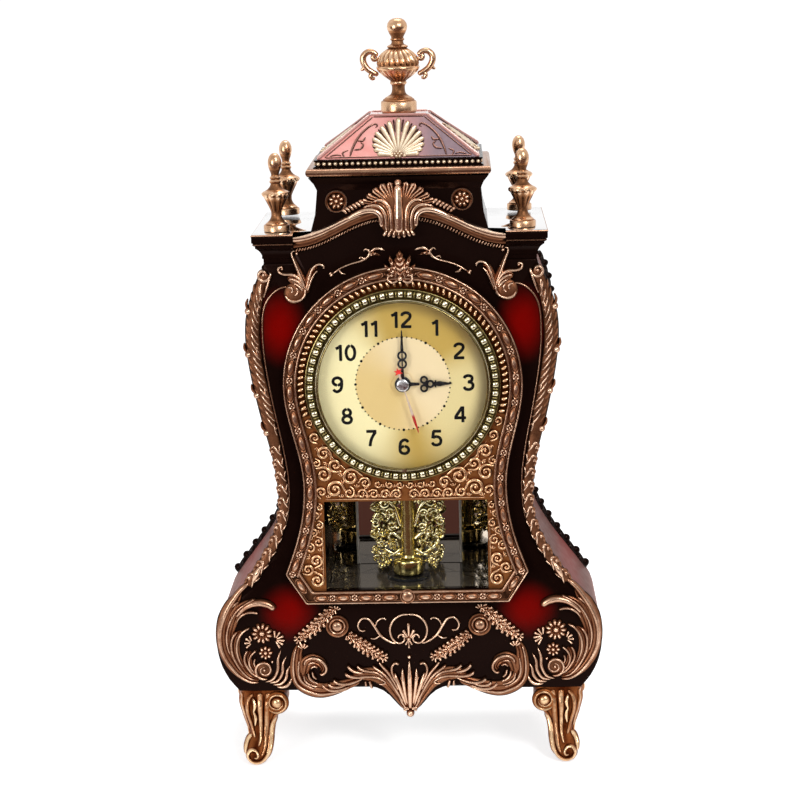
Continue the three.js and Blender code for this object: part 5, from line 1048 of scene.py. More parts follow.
# Fillet: a thin line in relief that leaves the shoulder's volute and runs down inside the leaf trim.
front = facing(FRONT_FACE)
FILLET = [
    (68.4, 304.6), (72, 304.2), (76.4, 301.8), (80.8, 297), (83.4, 291), (84.5, 283), (84.6, 270),
    (83.6, 257), (81.6, 243), (78.7, 226), (74.6, 205), (71.9, 184), (72.6, 165), (76.2, 151.8),
    (83, 138.6), (93, 126.8), (100, 120.6),
]
fillet = [lay(ridge(FILLET, 1.2, 0.8, count=160, sides=6, blunt=0.01, tone=0.85), front)]
build("fillet_line", fillet + mirrored(fillet), bronze)


# Belly scrolls: a large cast scroll round each corner of the belly. Brown fleshy bands sweep round the edge
# with bright lips that part as tips and close in a volute, with leaves below it and daisies in the field.
def sweeps(drawn, tone=1.0, broad=1.0, flutes=0):
    """Ridges drawn as a line with widths and heights, made broader or cut into flutes as a set."""
    made = []
    for path, width, height in drawn:
        tall = np.multiply(height, 1 + 0.3 * (broad - 1))
        made += [ridge(path, broad * np.atleast_1d(width), tall, flutes, blunt=0.07, tone=tone)]
    return made


BELLY_BANDS = [
    ([(104, 112.5), (109.5, 105), (114, 96), (116.2, 86), (115.8, 76), (112.8, 67.6), (107.6, 60.4),
      (101.6, 56), (95, 54.2)], (3, 7, 8, 7.4, 7, 6.6, 5.4, 3.4), 1.7),
    ([(94, 106.4), (100.4, 104.4), (106.6, 99.8), (110.6, 92.6), (112.4, 84), (112, 76)],
     (2.4, 5.2, 6.4, 6, 4, 2), 1.7),
    ([(104.6, 87.6), (108.4, 82), (109.4, 75), (107.6, 67.6), (104, 61.4), (98.6, 57)],
     (2, 5, 5.4, 5, 4.4, 3), 1.5),
    ([(99.6, 74), (101.4, 69.4), (100.6, 63.8), (97, 59)], (2, 4.4, 4.6, 3), 1.5),
]
BELLY_LIPS = [
    ([(98.5, 119), (104.5, 113.6), (108.8, 108), (113, 101.6), (116.6, 93.4), (118.2, 86.4), (118.3, 79.8),
      (117.2, 74), (114.6, 68), (110.8, 62.2), (106, 57), (100.4, 53.8), (94.6, 53)],
     (2.4, 3.8, 3.4, 2.6, 2.2, 1.8), (2.4, 3.4, 3.2, 2.6)),
    ([(105.4, 106.8), (108, 105), (110.6, 102.4)], (1.2, 1.8, 1), (2.4, 3, 2.2)),
    ([(95.2, 108.2), (100, 105.8), (105.2, 102.4), (109.4, 97.4), (112.8, 90.4), (114.2, 83.2),
      (113.8, 76.8), (112.2, 71)], (1.8, 1.6, 1.8, 1.8, 1.2), (3, 2.9, 2.7, 1.9)),
    ([(83.2, 100.6), (86.2, 103.6), (91.2, 105.4), (95.8, 105.2), (100.2, 103.6), (104.6, 100.2), (108, 96)],
     (3.6, 4.6, 4.2, 3.2, 1.8), (3.2, 3.8, 3.6, 2.4)),
    ([(93.4, 98.4), (97.4, 99.4), (101.4, 99), (105.2, 96.6), (108, 92.6)], (1.5, 1.9, 1.8, 1.1),
     (2.2, 2.8, 2.2)),
    ([(107.2, 87), (110, 83.8), (111.4, 79.2), (110.9, 72.6), (108.7, 66.5), (105, 60.5), (101, 56.4),
      (97, 54.8)], (1.7, 1.9, 1.9, 1.8, 1.3), (2.6, 2.9, 2.8, 2.2)),
    ([(99.2, 89.4), (103.4, 87), (106.4, 83.2), (107.9, 78.6), (108, 73.2), (106.6, 67.7), (104.2, 63)],
     (1.5, 1.9, 1.9, 1.8, 1.1), (2.4, 2.8, 2.7, 2)),
    ([(101.2, 74.8), (103.2, 71.2), (103.3, 67), (101.3, 62.8), (98.2, 58.8), (94.2, 56.6)],
     (1.4, 1.8, 1.9, 1.6), (2.4, 2.8, 2.8)),
    ([(95.6, 74.6), (99.2, 71.2), (100.7, 67), (99.6, 62.6), (97, 59.2)], (1.3, 1.7, 1.7, 1.2),
     (2.2, 2.6, 2.2)),
    ([(96.6, 69.4), (97.6, 66.4), (96.8, 63)], (1, 1.5, 1), (1.9, 2.3, 1.9)),
]
scroll = sweeps(BELLY_BANDS, 0.66, 1.32, 3) + sweeps(BELLY_LIPS, 0.86, 1.25)
volute = turned([(5, -0.25), (4.8, 0.9), (3.4, 1.5), (0.1, 1.5)], 32)
VOLUTE_X, VOLUTE_Z = 91.2, 61.4
coil = spiral_line(VOLUTE_X, VOLUTE_Z, 250, 1.7, 6.4, 1.2)
scroll += [(volute[0] + [VOLUTE_X, VOLUTE_Z, 0], volute[1], np.full(len(volute[0]), 0.3))]
scroll += [ridge(coil, (2.4, 2.2, 1.6), (2.6, 2.6, 2.4), tone=0.9), bead(VOLUTE_X, VOLUTE_Z, 1.3, 2.9, 14)]
scroll += [blossom(92, 85.2, 7.4, 2.8, 11), blossom(90.2, 72.4, 5, 2.4, 8), bead(86.2, 66.4, 1.1, 1.6)]
scroll += fan(84, 81.2, (-150, -122, -96, -66, -34, 0), 6.6, 2.5, 2.4, root=0.6)
scroll += fan(98.2, 79.2, (20, 56, 92, 128), 5.4, 2.3, 1.8, root=0.8)
for path in (
    [(91.4, 53), (85.8, 55.6), (82.8, 61.6), (82.4, 68.4), (80.4, 74.2)],
    [(89, 52.6), (83.2, 54.2), (80, 59.4), (79.4, 65.6), (77, 70.2)],
    [(86.6, 51.4), (81, 52.4), (77.8, 56), (76.8, 60.8), (74.8, 64)],
    [(84.4, 50.2), (79.2, 50.2), (75.8, 52.4), (74, 56.2)],
):
    scroll += [ridge(path, (1.2, 2.4, 2.8, 2.4, 1), (1.6, 2.8, 3, 2.4, 1.4), tone=0.94)]
build_pair("belly_sweep", [lay(p, front) for p in scroll], bronze, "belly_scroll")


# Garlands: a bead in a ringed rosette with a thick swag of leaves and small flowers to each side.
def swag(path, count, blooms):
    """Sprays of leaves that overlap along a brown body, with a flower at some of the steps."""
    run_line = line(path, count)
    run = np.gradient(run_line, axis=0)
    heading = np.degrees(np.arctan2(run[:, 0], run[:, 1]))
    swell = 0.66 + 0.34 * np.sin(math.pi * np.linspace(0.08, 0.92, count))
    made = [ridge(path, (4.4, 8, 4.2), 1.5, tone=0.6)]
    for k, (x, z) in enumerate(run_line):
        reach = np.array([5.2, 4.8, 4.8, 5.2]) * swell[k]
        made += fan(x, z, heading[k] + [-66, -22, 22, 66], reach, 3.6 * swell[k], 3.2, root=0.5, tone=0.9)
        if k in blooms:
            made += [blossom(x, z, 4.3 * swell[k], 4.2, 5, turn=k)]
    return made


def rosette(x, z):
    """Turned rosette: a bead in a dish with two rolled rings."""
    profile = [(7.4, -0.25), (7.4, 0.9), (7, 1.6), (6.4, 1.7), (5.9, 1.2), (5.5, 1), (5.2, 1.7), (4.7, 2.1),
               (4.2, 1.8), (3.7, 0.9), (3.3, 1), (3.1, 2), (2.5, 2.9), (1.5, 3.3), (0.1, 3.4)]
    points, faces, _ = turned(profile, 40)
    rise = np.interp(points[:, 2], [-0.25, 0.9, 1.2, 2, 3.4], [0, 0.1, 0.35, 0.9, 0.78])
    return points + [x, z, 0], faces, rise


festoon = [rosette(44.6, 89.4)]
festoon += swag([(46, 101.4), (51.2, 97), (57.2, 90.6), (62.6, 86), (68.6, 81.6)], 9, (1, 3, 5, 7))
festoon += swag([(38.4, 84.2), (33.2, 80), (27.4, 75.6), (21.8, 71.8), (16.4, 69)], 9, (1, 3, 5, 7))
festoon += fan(45.2, 99.4, (-60, -24, 12), 3.8, 1.7, 2, root=0.6)
build_pair("swag", [lay(p, front) for p in festoon], bronze, "garland")


# Middle scroll: two slender curls that close a ring about a lily, with an S and a branch at each side.
scrolls = []
for path, width in (
    ([(-0.6, 96.6), (4.4, 96.2), (9.2, 93), (11.6, 87.6), (10.6, 81.6), (7.2, 78), (3.6, 78.6), (2.6, 81.4),
      (4.6, 82.8)], (1.6, 1.9, 1.7, 1.4)),
    ([(26.4, 86.2), (30.2, 86.4), (31.6, 90.2), (28.8, 94.2), (24.6, 93.6), (21.4, 89.2), (17.2, 82.6),
      (11, 78.4), (7.4, 77.8)], (1.4, 1.8, 2.2, 1.5)),
    ([(21, 88.6), (19.2, 92.6), (15.8, 94.4), (13.2, 92.8)], (0.9, 1.6, 1.4)),
    ([(17.6, 83.4), (21, 81), (24.6, 81.4)], (1.2, 1.6, 0.8)),
):
    scrolls += [ridge(p, width, 1.7, blunt=0.05) for p in both(path)]
scrolls += fan(0, 80.4, (-30, 0, 30), (7.6, 11.2, 7.6), 2.8, 2.2, root=0.6)
scrolls += fan(0, 80.2, (150, 180, 210), (4.4, 6.2, 4.4), 2, 1.8, root=0.5)
for path in both([(0.6, 80.6), (4.2, 83.6), (6.6, 82.2), (6, 80.4)]):
    scrolls += [ridge(path, (0.9, 1.7, 1.4), 1.7, sides=7)]
scrolls += [bead(0, 80.3, 1.6, 2.4, 12)]
build("middle_scroll", [lay(p, front) for p in scrolls], bronze, ["belly_centre_scroll"])


# Apron mount: acanthus along the lower edge. A leaf rolls up in a curl at each end, long lobes run along the
# scallop, and the middle drops to a pendant with a ribbed stem and a small ball.
APRON_BANDS = [
    ([(67, 79), (70.2, 72), (70.8, 62), (69, 54.4), (63.6, 49.4), (56, 47.2), (47, 48.6), (38.6, 51.4),
      (31, 54)], (3.4, 6, 8.4, 8.8, 8.4, 7.4, 5.6, 4.6), 1.9),
    ([(66.6, 58), (65.4, 64.4), (61.2, 67.4), (56.2, 66), (53.8, 62), (55.6, 59.2)], (5, 7, 6.6, 5, 3), 1.9),
    ([(36, 57), (28, 57.6), (20, 56.4), (13.6, 52.2), (9, 46), (5, 39.4), (2, 34)],
     (4.4, 7.4, 8.4, 7, 5.4, 3.6), 1.9),
]
APRON_LIPS = [
    ([(70.8, 76), (72.6, 68), (72.9, 59), (71.4, 53), (68.4, 49.6), (64, 47.2), (57, 45), (49.8, 45.6),
      (42.8, 47), (36, 49.6)], (1.3, 1.7, 1.8, 1.7, 1.2), (2.4, 2.8, 2.4)),
    ([(69, 68), (69.8, 60), (68, 54), (64, 50.4), (59, 48.4)], (1.2, 1.8, 1.8, 1.1), (2.4, 3, 2.2)),
    ([(66.6, 58.6), (65.6, 54), (62, 51.2), (57.6, 50)], (1.2, 1.8, 1.1), (2.4, 3, 2.2)),
    ([(63.6, 60), (63, 56.2), (60.4, 53.4), (57, 52)], (1.2, 1.9, 1), (2.6, 3.2, 2.2)),
    ([(61.2, 60.6), (60.4, 57), (58, 54.6)], (1.1, 1.7, 1), (2.4, 3, 2)),
    ([(65.8, 63.4), (65.2, 67), (61, 69.2), (56, 67.8), (52.6, 64), (52.4, 60.4), (54.8, 58), (57, 58.8)],
     (1.5, 2, 2.2, 2, 1.6), (2.6, 3.4, 3.2, 2.6)),
    ([(63.6, 64.6), (61.4, 66.2), (58.6, 65.6)], (1.3, 1.9, 1.1), (3, 3.4, 2.6)),
    ([(62.2, 62), (59.8, 63.8), (57.4, 62.4)], (1.2, 1.8, 1.2), (3, 3.4, 2.6)),
    ([(55.6, 51.3), (52.7, 48.6), (48.7, 47.4), (43, 48), (37.4, 50)], (1.9, 2.1, 1.9, 1.2),
     (2.4, 3.1, 2.4)),
    ([(52, 52), (48.7, 49.8), (44, 49.8), (38.6, 51.6)], (1.9, 2, 1.2), (2.6, 3.1, 2.4)),
    ([(48.6, 54.3), (45.2, 52), (39.6, 51.6), (33.8, 53.2), (29, 55.4)], (2, 2.1, 1.8, 1.2),
     (2.6, 3.2, 2.6)),
    ([(41, 58.9), (38.2, 56.7), (32.6, 55.9), (25.8, 56.4), (19.6, 55.4), (14, 51.8)],
     (2.1, 2.1, 1.9, 1.8, 1.2), (2.6, 3.2, 3, 2.6)),
    ([(39.2, 64), (37, 61.2), (33.4, 59.4), (28.6, 58.6)], (1.9, 2.2, 1.3), (2.4, 3.2, 2.6)),
    ([(33.4, 63.6), (30, 60.8), (25.6, 59.8), (20.6, 58.8), (15.6, 55.4)], (1.7, 2, 1.8, 1.2),
     (2.4, 3, 2.6)),
    ([(23.3, 63.5), (20.4, 61), (16, 57.8), (12.2, 53.2), (8, 46), (4, 38.4)], (1.7, 2, 2, 1.8, 1.4),
     (2.4, 3.2, 3, 2.6)),
    ([(19.3, 66), (17, 62.8), (13.4, 58.6), (10.4, 53.6), (7, 46.8)], (1.4, 2, 2, 1.3), (2.2, 3, 2.6)),
    ([(6, 63.6), (8.9, 64.8), (10.9, 62.6), (11, 59), (9.6, 55.2), (7.4, 51.6), (5.2, 46)],
     (1.8, 1.6, 1.7, 2.2, 1.2), (2.2, 2.6, 3, 2.2)),
    ([(25.6, 53.6), (24.4, 50.6), (23.8, 47.8)], (1.4, 1.9, 1.3), (2.2, 2.6, 1.8)),
    ([(28, 53.4), (27.6, 51.2), (27.6, 49.2)], (1, 1.6, 1), (1.8, 2.2, 1.6)),
    ([(14.6, 52.6), (17, 51.2), (19.8, 51.4)], (1.2, 1.6, 0.9), (2.4, 2.6, 1.8)),
    ([(5.8, 56.6), (4.2, 51), (2.8, 46)], (1, 1.6, 1), (1.8, 2.4, 1.8)),
    ([(4.8, 48.6), (3.6, 43.6), (2.2, 38)], (1, 1.7, 1.1), (2, 2.6, 2)),
    ([(7.2, 43.8), (5, 39), (2.6, 34.6)], (1.1, 1.7, 1.1), (2.2, 2.6, 2)),
]
mount = []
for drawn, how in ((APRON_BANDS, (0.68, 1.3, 3)), (APRON_LIPS, (0.88, 1.3))):
    for path, width, height in drawn:
        mount += sweeps([(p, width, height) for p in both(path)], *how)
for side in (1, -1):
    mount += fan(side * 66.4, 74.6, tuple(side * a for a in (-48, -16, 16, 48)), 4.6, 2.4, 3.2, root=0.4)
mount += [ridge([(0, 66.4), (0, 57), (0, 46), (0, 34)], (1.8, 3.9, 4.4, 3), (2.4, 3.8, 4.2, 3.6), sides=10)]
mount += [bead(0, 68.6, 1.5, 2.4, 12), bead(0, 31.4, 2.6, 3.6, 16)]
for path in ([(4.4, 61.6), (4.2, 55), (3.2, 46.4), (1.5, 36.6)],
             [(9.4, 58.6), (7.6, 52.6), (5.2, 45.2), (2.2, 36)]):
    mount += [ridge(p, (1.6, 3.5, 3.1, 1.6), (2.2, 3.4, 3.2, 2.4), sides=10) for p in both(path)]
mount += fan(0, 34.6, (-104, -78, 78, 104), 4.6, 2.4, 2.6, root=0.4)
build("apron_acanthus", [lay(p, front) for p in mount], bronze, ["apron_mount"])


# Shoulder scrolls: under each block a stem, a hook and a leaf part from a volute and end in small curls,
# and a thin S with leaf ends lies on each side of the tympanum.
dome = turned([(6.2, -0.25), (6.4, 0.6), (5.6, 1.4), (3.6, 1.8), (0.1, 1.9)], 32)
worn = np.interp(dome[0][:, 2], [-0.25, 0.6, 1.9], [0, 0.2, 0.45])
shoulder = [(dome[0] + [64.4, 300.6, 0], dome[1], worn)]
shoulder += sweeps([
    ([(57.2, 300), (57.4, 304), (59.2, 309), (61.2, 314), (63.2, 319.5), (64.9, 323.8)],
     (4, 4.6, 3.6, 2.6, 1.6), (2.4, 2.6, 2.2, 1.6)),
    ([(58.6, 303), (61.4, 307.4), (65.4, 309.6), (68.6, 309.8)], (5.6, 8.4, 7, 2.4), 1.9),
    ([(57.6, 301), (56, 307), (54.6, 312), (52.6, 315.6), (49.4, 316.6)], (4, 4.2, 3.8, 3.2, 2), 1.9),
], 0.82, 1.25, 2)
shoulder += sweeps([
    ([(57.4, 303), (59.4, 309), (61.4, 314), (63.4, 319.5), (65, 323.6), (65.2, 325.6), (64, 326.6),
      (62.6, 326)], (1.4, 1.9, 1.9, 1.5, 1.2), (2.8, 3.3, 2.8, 2)),
    ([(58, 304), (61.2, 309.8), (65, 312.3), (69.6, 312.5), (72.8, 313.6), (73.6, 316), (71.8, 317.2),
      (70.4, 315.8)], (1.4, 2, 2.1, 1.9, 1.7, 1.3), (2.8, 3.2, 2.6)),
    ([(58.4, 303), (61.4, 307.6), (65.4, 309.6), (68, 309.4)], (1.4, 1.9, 1.9, 1), (2.8, 3.2, 2.2)),
    ([(58.8, 302), (61.8, 305.6), (65, 307)], (1.4, 1.9, 1), (2.8, 3, 2)),
    ([(60, 316.5), (61.6, 312), (60.6, 308)], (0.8, 1.5, 0.9), (1.8, 2.6, 2.2)),
    ([(57.4, 302), (55.9, 307), (54.6, 311.6), (53, 315.4), (50.6, 317.8), (47.8, 318.2), (45.9, 316.8),
      (46.4, 314.8)], (1.6, 1.9, 1.9, 1.8, 1.7, 1.4), (2.8, 3.2, 2.8, 2.4)),
    ([(56.6, 301.6), (54.8, 306), (53.2, 310), (51.4, 313), (49.2, 314.8)], (1.2, 1.6, 1.6, 0.9),
     (2.4, 2.7, 2.2)),
    ([(57.6, 304), (57.8, 300), (60.2, 297), (64.2, 295.8), (68, 297), (70.2, 300.2)],
     (1.6, 1.9, 1.9, 1.8, 1.2), (2.8, 2.8, 2.4)),
    ([(68.6, 304.6), (66.2, 304.4), (65.2, 302.6), (66.4, 300.8)], (1.2, 1.7, 1.8, 1.2), 2.8),
    ([(63.6, 304.6), (62.2, 302.8), (62.6, 300.6), (64.4, 299.2)], (1.2, 1.8, 1.8, 1.2), 2.8),
], 1, 1.25)
shoulder += [bead(42.2, 312.4, 1.1, 1.6), bead(62.2, 325, 1.3, 2.2, 10), bead(71.4, 315.8, 1.2, 2.4, 10)]
ess = [
    ridge([(41.4, 311.8), (38.4, 313.8), (35.2, 315.8), (29.4, 318), (22.8, 319.8), (19.2, 322.2),
           (18.2, 325.2), (20.6, 327), (22, 325.2)], (1.8, 1.4, 1.6, 2.2, 1.4), (1.6, 1.5, 1.8)),
    ridge([(18.4, 324.6), (14.6, 327), (10.8, 326.6), (8.6, 325.2)], (1, 2.4, 2.2, 0.9), (1.4, 2, 1.2)),
    leaf([(18.6, 323.2), (15, 323.8), (11.4, 322.6)], 2.8, 1.6, 3, sides=6),
    ridge([(37, 314.8), (35.4, 312.4), (32.6, 311.8)], (1.4, 1.8, 0.8), 1.6),
    bead(41.6, 311.4, 1.4, 1.8, 10),
    ridge([(20.6, 320.6), (23.6, 322), (24.8, 320.8)], (1.2, 1.6, 0.8), 1.6),
]
build_pair("shoulder_volute", [lay(p, front) for p in shoulder], bronze, "shoulder_scroll")
right = [lay(p, front) for p in ess]
build("tympanum_scrolls", right + mirrored(right), bronze)


# Dial frame: a cast arched plate with a raised border. Thin rails run along the border with ovals in rolled
# settings and small four-petalled flowers between them, and a carved palmette crowns the arch.
FIELD_Y, BORDER_Y = -53.3, -55.1


def frame_path(inset, count):
    """The frame's whole outline, from the sill's middle up the right and down the left, moved in square to
    itself with mitred corners and measured off evenly."""
    half = frame_outline()
    loop = np.vstack([half, (half * [-1, 1])[-2::-1]])
    keep = np.concatenate([[True], np.linalg.norm(np.diff(loop, axis=0), axis=1) > 1e-6])
    loop = loop[keep]
    run = np.diff(loop, axis=0)
    run /= np.linalg.norm(run, axis=1)[:, None]
    side = np.stack([-run[:, 1], run[:, 0]], 1)
    before, after = np.vstack([side[-1:], side]), np.vstack([side, side[:1]])
    mitre = (before + after) / (1 + np.sum(before * after, 1))[:, None]
    return evenly(loop + inset * mitre, count)


def turned_to(points, x, z, heading):
    """Local form turned so that its first direction points along a heading, then moved."""
    c, s = math.cos(heading), math.sin(heading)
    across, up, out = points.T
    return np.stack([x + c * across - s * up, z + s * across + c * up, out], 1)


def cabochon(x, z, heading, long, wide):
    """Oval stone in a rolled setting."""
    profile = [(1.24, -0.3), (1.26, 0.6), (1.17, 0.95), (1.04, 0.7), (0.98, 0.4), (0.9, 0.75), (0.7, 1.2),
               (0.4, 1.45), (0.05, 1.5)]
    points, faces, _ = turned(profile, 20)
    crest = np.interp(points[:, 2], [-0.3, 0.4, 0.6, 0.95, 1.2, 1.38, 1.5],
                      [0, 0.05, 0.4, 0.8, 0.55, 0.72, 1.1])
    return turned_to(points * [long / 2.5, wide / 2.5, 1], x, z, heading), faces, crest


border = frame_path(4.15, 2400)
measure = run_length(border)
whole = measure[-1]
first_corner, second_corner = 60.9, 79.8
pitch = (whole / 2 - 8 - second_corner) / 14
marks = [(11.2, 10.6), (18.4, 0), (25.6, 10.8), (32.9, 0), (39.9, 10.2), (46.7, 0), (53.5, 10)]
marks += [((first_corner + second_corner) / 2, 11), (second_corner, 0)]
marks += [(second_corner + pitch * k, 0) for k in range(1, 14)]
marks += [(second_corner + pitch * (k + 0.5), pitch - 3.6) for k in range(14)]
trims = []
for s, long in marks + [(whole - s, long) for s, long in marks]:
    (back_x, x, next_x), (back_z, z, next_z) = (np.interp([s - 0.6, s, s + 0.6], measure, k)
                                                for k in border.T)
    heading = math.atan2(next_z - back_z, next_x - back_x)
    if long:
        trims += [cabochon(x, z, heading, long, 5)]
    else:
        trims += [blossom(x, z, 2.6, 1.4, 4, turn=heading + math.pi / 4)]
        for aside in (heading + math.pi / 2, heading - math.pi / 2):
            trims += [bead(x + 1.7 * math.cos(aside), z + 1.7 * math.sin(aside), 0.5, 0.8, 7)]
stud = turned([(4.6, -0.3), (4.7, 0.8), (4.3, 1.2), (3.8, 0.8), (3.5, 0.7), (3.3, 1.3), (2.4, 1.9),
               (1.2, 2.2), (0.1, 2.25)], 32)
worn = np.interp(stud[0][:, 2], [-0.3, 0.7, 1.2, 2.25], [0, 0.15, 0.9, 0.72])
trims += [(stud[0] + [0, 109.7, 0], stud[1], worn)]
for inset, width, height, tone in ((0.7, 1.2, 0.8, 0.95), (1.9, 0.6, 0.35, 0.6), (6.5, 0.6, 0.35, 0.6),
                                   (7.6, 1.7, 1, 0.86)):
    trims += [ridge(frame_path(inset, 420), width, height, count=640, sides=6, blunt=0.0005, tone=tone)]


def frame_plate():
    """The frame's plate: a raised border swept round the outline, a ring from the bezel out to the border
    and down to the window's head, a slab beside the window whose rows end at the border, and a sill."""
    section = [(0, FRONT_FACE), (0, -54.6), (0.25, -55), (0.6, BORDER_Y)]
    section += [(7.7, BORDER_Y), (8.1, -55), (8.3, -54.6), (8.3, FRONT_FACE)]
    paths = np.stack([frame_path(inset, 480)[:-1] for inset, _ in section], 1)
    depth = np.broadcast_to([y for _, y in section], paths.shape[:2])
    swept = lay(skin(np.dstack([paths[..., 0], depth, paths[..., 1]]), 0.16, loop=True))
    inner = frame_path(7.9, 2400)
    angle = np.linspace(0, 2 * math.pi, 361)[:-1] - math.pi / 2
    seen = np.unwrap(np.arctan2(inner[:, 1] - DIAL_Z, inner[:, 0]))
    seen += -math.pi / 2 - seen[0]
    reach = np.interp(angle, seen, np.hypot(inner[:, 0], inner[:, 1] - DIAL_Z))
    down = np.where(np.sin(angle) < -0.05, -73 / np.minimum(np.sin(angle), -0.05), 999)
    reach = np.minimum(reach, down)
    hole, bezel = np.full(360, 58), np.full(360, 59.6)
    radius = np.stack([hole, hole, bezel, np.minimum(64.9, reach - 0.2), reach, reach], 1)
    flat = radius[..., None] * np.stack([np.cos(angle), np.sin(angle)], 1)[:, None] + [0, DIAL_Z]
    depth = np.broadcast_to([FRONT_FACE] + [FIELD_Y] * 4 + [FRONT_FACE], radius.shape)
    ring = np.dstack([flat[..., 0], depth, flat[..., 1]])
    # The band that carries the flutes is set low, so its ground reads dark: patina in the hollows with a
    # painted shade between the flutes; the rest of the ring is set higher.
    collar = np.where(np.sin(angle) > -0.3, 0.06, 0.34)[:, None]
    pieces = [lay(skin(ring, np.where(np.abs(np.arange(6) - 2.5) < 1, collar, 0.36), loop=True))]
    rise = inner[:1200][np.argsort(inner[:1200, 1])]
    z = np.linspace(110.2, 170.5, 60)
    jamb, edge = np.full(60, 50.5), np.interp(z, rise[:, 1], rise[:, 0])
    corners = ((jamb, FRONT_FACE), (jamb, FIELD_Y), (edge, FIELD_Y), (edge, FRONT_FACE))
    for side in (1, -1):
        strip = [np.stack([side * x, np.full(60, y), z], 1) for x, y in corners]
        pieces += [lay(skin(np.stack(strip, 1), 0.36))]
    corners = ((FRONT_FACE, 109.5), (FIELD_Y, 109.5), (FIELD_Y, 113.8), (FRONT_FACE, 113.8))
    sill = np.array([[(x, y, h) for y, h in corners] for x in (-50.4, 50.4)])
    return [swept], pieces, [lay(skin(sill, 0.3))]


frame_border, frame_field, sill = frame_plate()
copper_bronze = aged("copper_bronze", (0.075, 0.018, 0.003), (0.39, 0.145, 0.045), (0.95, 0.6, 0.34))
build("frame_plate", frame_border, bronze, ["dial_frame"])
build("frame_field", frame_field, copper_bronze)
build("window_sill", sill, lacquer)
build("border_trim", [lay(p, facing(BORDER_Y)) for p in trims], bronze)


def rooted(y, deep):
    """Ground that faces the front, with whatever lies under it drawn down to a deeper plane."""
    return lambda p: np.stack([p[:, 0], np.where(p[:, 2] < 0, deep, y - p[:, 2]), p[:, 1]], 1)


crown = [leaf([(0, 310.5), (0, 316), (0, 321), (0, 326.4)], 8.6, 3.2, 5, blunt=0.8)]
for path, width in (
    ([(1, 311.5), (3.4, 316.5), (5.4, 320), (6.2, 323.6)], 4.2),
    ([(1.4, 310.6), (5.2, 314), (8, 316), (9.6, 318.4)], 3.8),
    ([(1.8, 309.8), (5.6, 311.4), (8.6, 311.6), (10.2, 313.4)], 3.2),
):
    crown += [leaf(p, width, 2.4, 4, sides=8, blunt=0.8) for p in both(path)]
for path in both([(0.8, 308.4), (4.6, 306.8), (7.4, 308.6), (6.6, 311.2), (4.6, 310.4)]):
    crown += [ridge(path, (2, 2.4, 1.4), (2.4, 2.8, 2.2))]
crown += [bead(0, 309.2, 2.2, 3.4, 14)]
build("arch_palmette", [lay(p, rooted(-54.6, -53)) for p in crown], bronze)


# Fluted collar and filigree: short flutes stand round the upper part of the dial, and curling tendrils fill
# the field under it and the strips beside the window, all cast with the frame.
field = []
FLUTE = [(59.8, -0.5), (62, 0), (63.8, 0.7), (64.6, 1.8)]
for angle in np.radians(np.arange(-16, 196.5, 3.53)):
    out = np.array([math.cos(angle), math.sin(angle)])
    over = np.array([-out[1], out[0]])
    path = [far * out + aside * over + [0, DIAL_Z] for far, aside in FLUTE]
    field += [ridge(path, (2.1, 2.7, 2.5, 1.2), (1.8, 2.3, 1.6), count=10, blunt=0.25, tone=1.08)]
CURLS = [
    (49.5, 201.5, 4.6, 200, -1.6), (42.6, 194, 4.4, 250, 1.5), (33.2, 186.4, 5.4, 150, -1.6),
    (49.9, 188.2, 4.8, 60, 1.6), (43.2, 178.6, 5.4, 170, -1.6), (24.4, 182.6, 3.6, 20, 1.5),
    (54.6, 211.6, 3.4, 270, 1.5), (34.4, 176.4, 3.4, 120, 1.5), (26.6, 175.6, 3.2, 200, -1.5),
    (19.4, 175.4, 3, 40, 1.5), (12.4, 175.2, 3, 180, -1.5), (5.2, 175.2, 3, 20, 1.5),
    (51.6, 177, 3.4, 300, 1.5), (54.2, 195.4, 2.6, 90, 1.4), (57.6, 220.6, 2.8, 270, 1.4),
    (16.6, 181.6, 2.2, 200, 1.4), (9.6, 181.2, 2.2, 30, -1.4), (3, 181, 2.2, 200, 1.4),
    (56, 120.4, 4.4, 100, 1.6), (61.4, 127.6, 3.6, 300, -1.5), (56.2, 133.2, 4, 260, -1.6),
    (59.6, 141.4, 3, 90, 1.5), (54.4, 145.2, 3, 90, 1.5), (57.4, 151.6, 2.6, 270, -1.5),
    (53.4, 156, 2.5, 90, 1.4), (55.6, 162.4, 2.3, 270, -1.4), (53.2, 167.4, 2.1, 90, 1.4),
]
for x, z, size, start, turns in CURLS:
    curl = spiral_line(x, z, start, turns, size, 0.16 * size, 40)
    lead = curl[0] + (curl[0] - curl[2]) * [[1.6], [0.8]]
    broad = 1.25 + 0.28 * size
    widths = (0.6 * broad, broad, broad, 0.6 * broad)
    field += [ridge(p, widths, (1.1, 2.2, 2.2, 1.6), blunt=0.05) for p in both(np.vstack([lead, curl]))]
    field += [bead(s * x, z, 0.24 * size, 1.8, 9) for s in (1, -1)]
for path in (
    [(2, 172), (12, 171.7), (24, 172), (36, 172.2), (50, 172)],
    [(55.2, 183), (56.4, 190), (57, 198), (57.8, 206)],
    [(28.4, 183.4), (36, 190.8), (44.8, 199.4), (50.6, 207.6)],
    [(52, 116.2), (51.9, 128), (51.8, 141), (51.7, 154)],
    [(65.4, 124.6), (64, 133), (62.4, 141), (60.4, 149)],
):
    field += [ridge(p, (0.8, 1.4, 0.8), 1.2, sides=7) for p in both(path)]
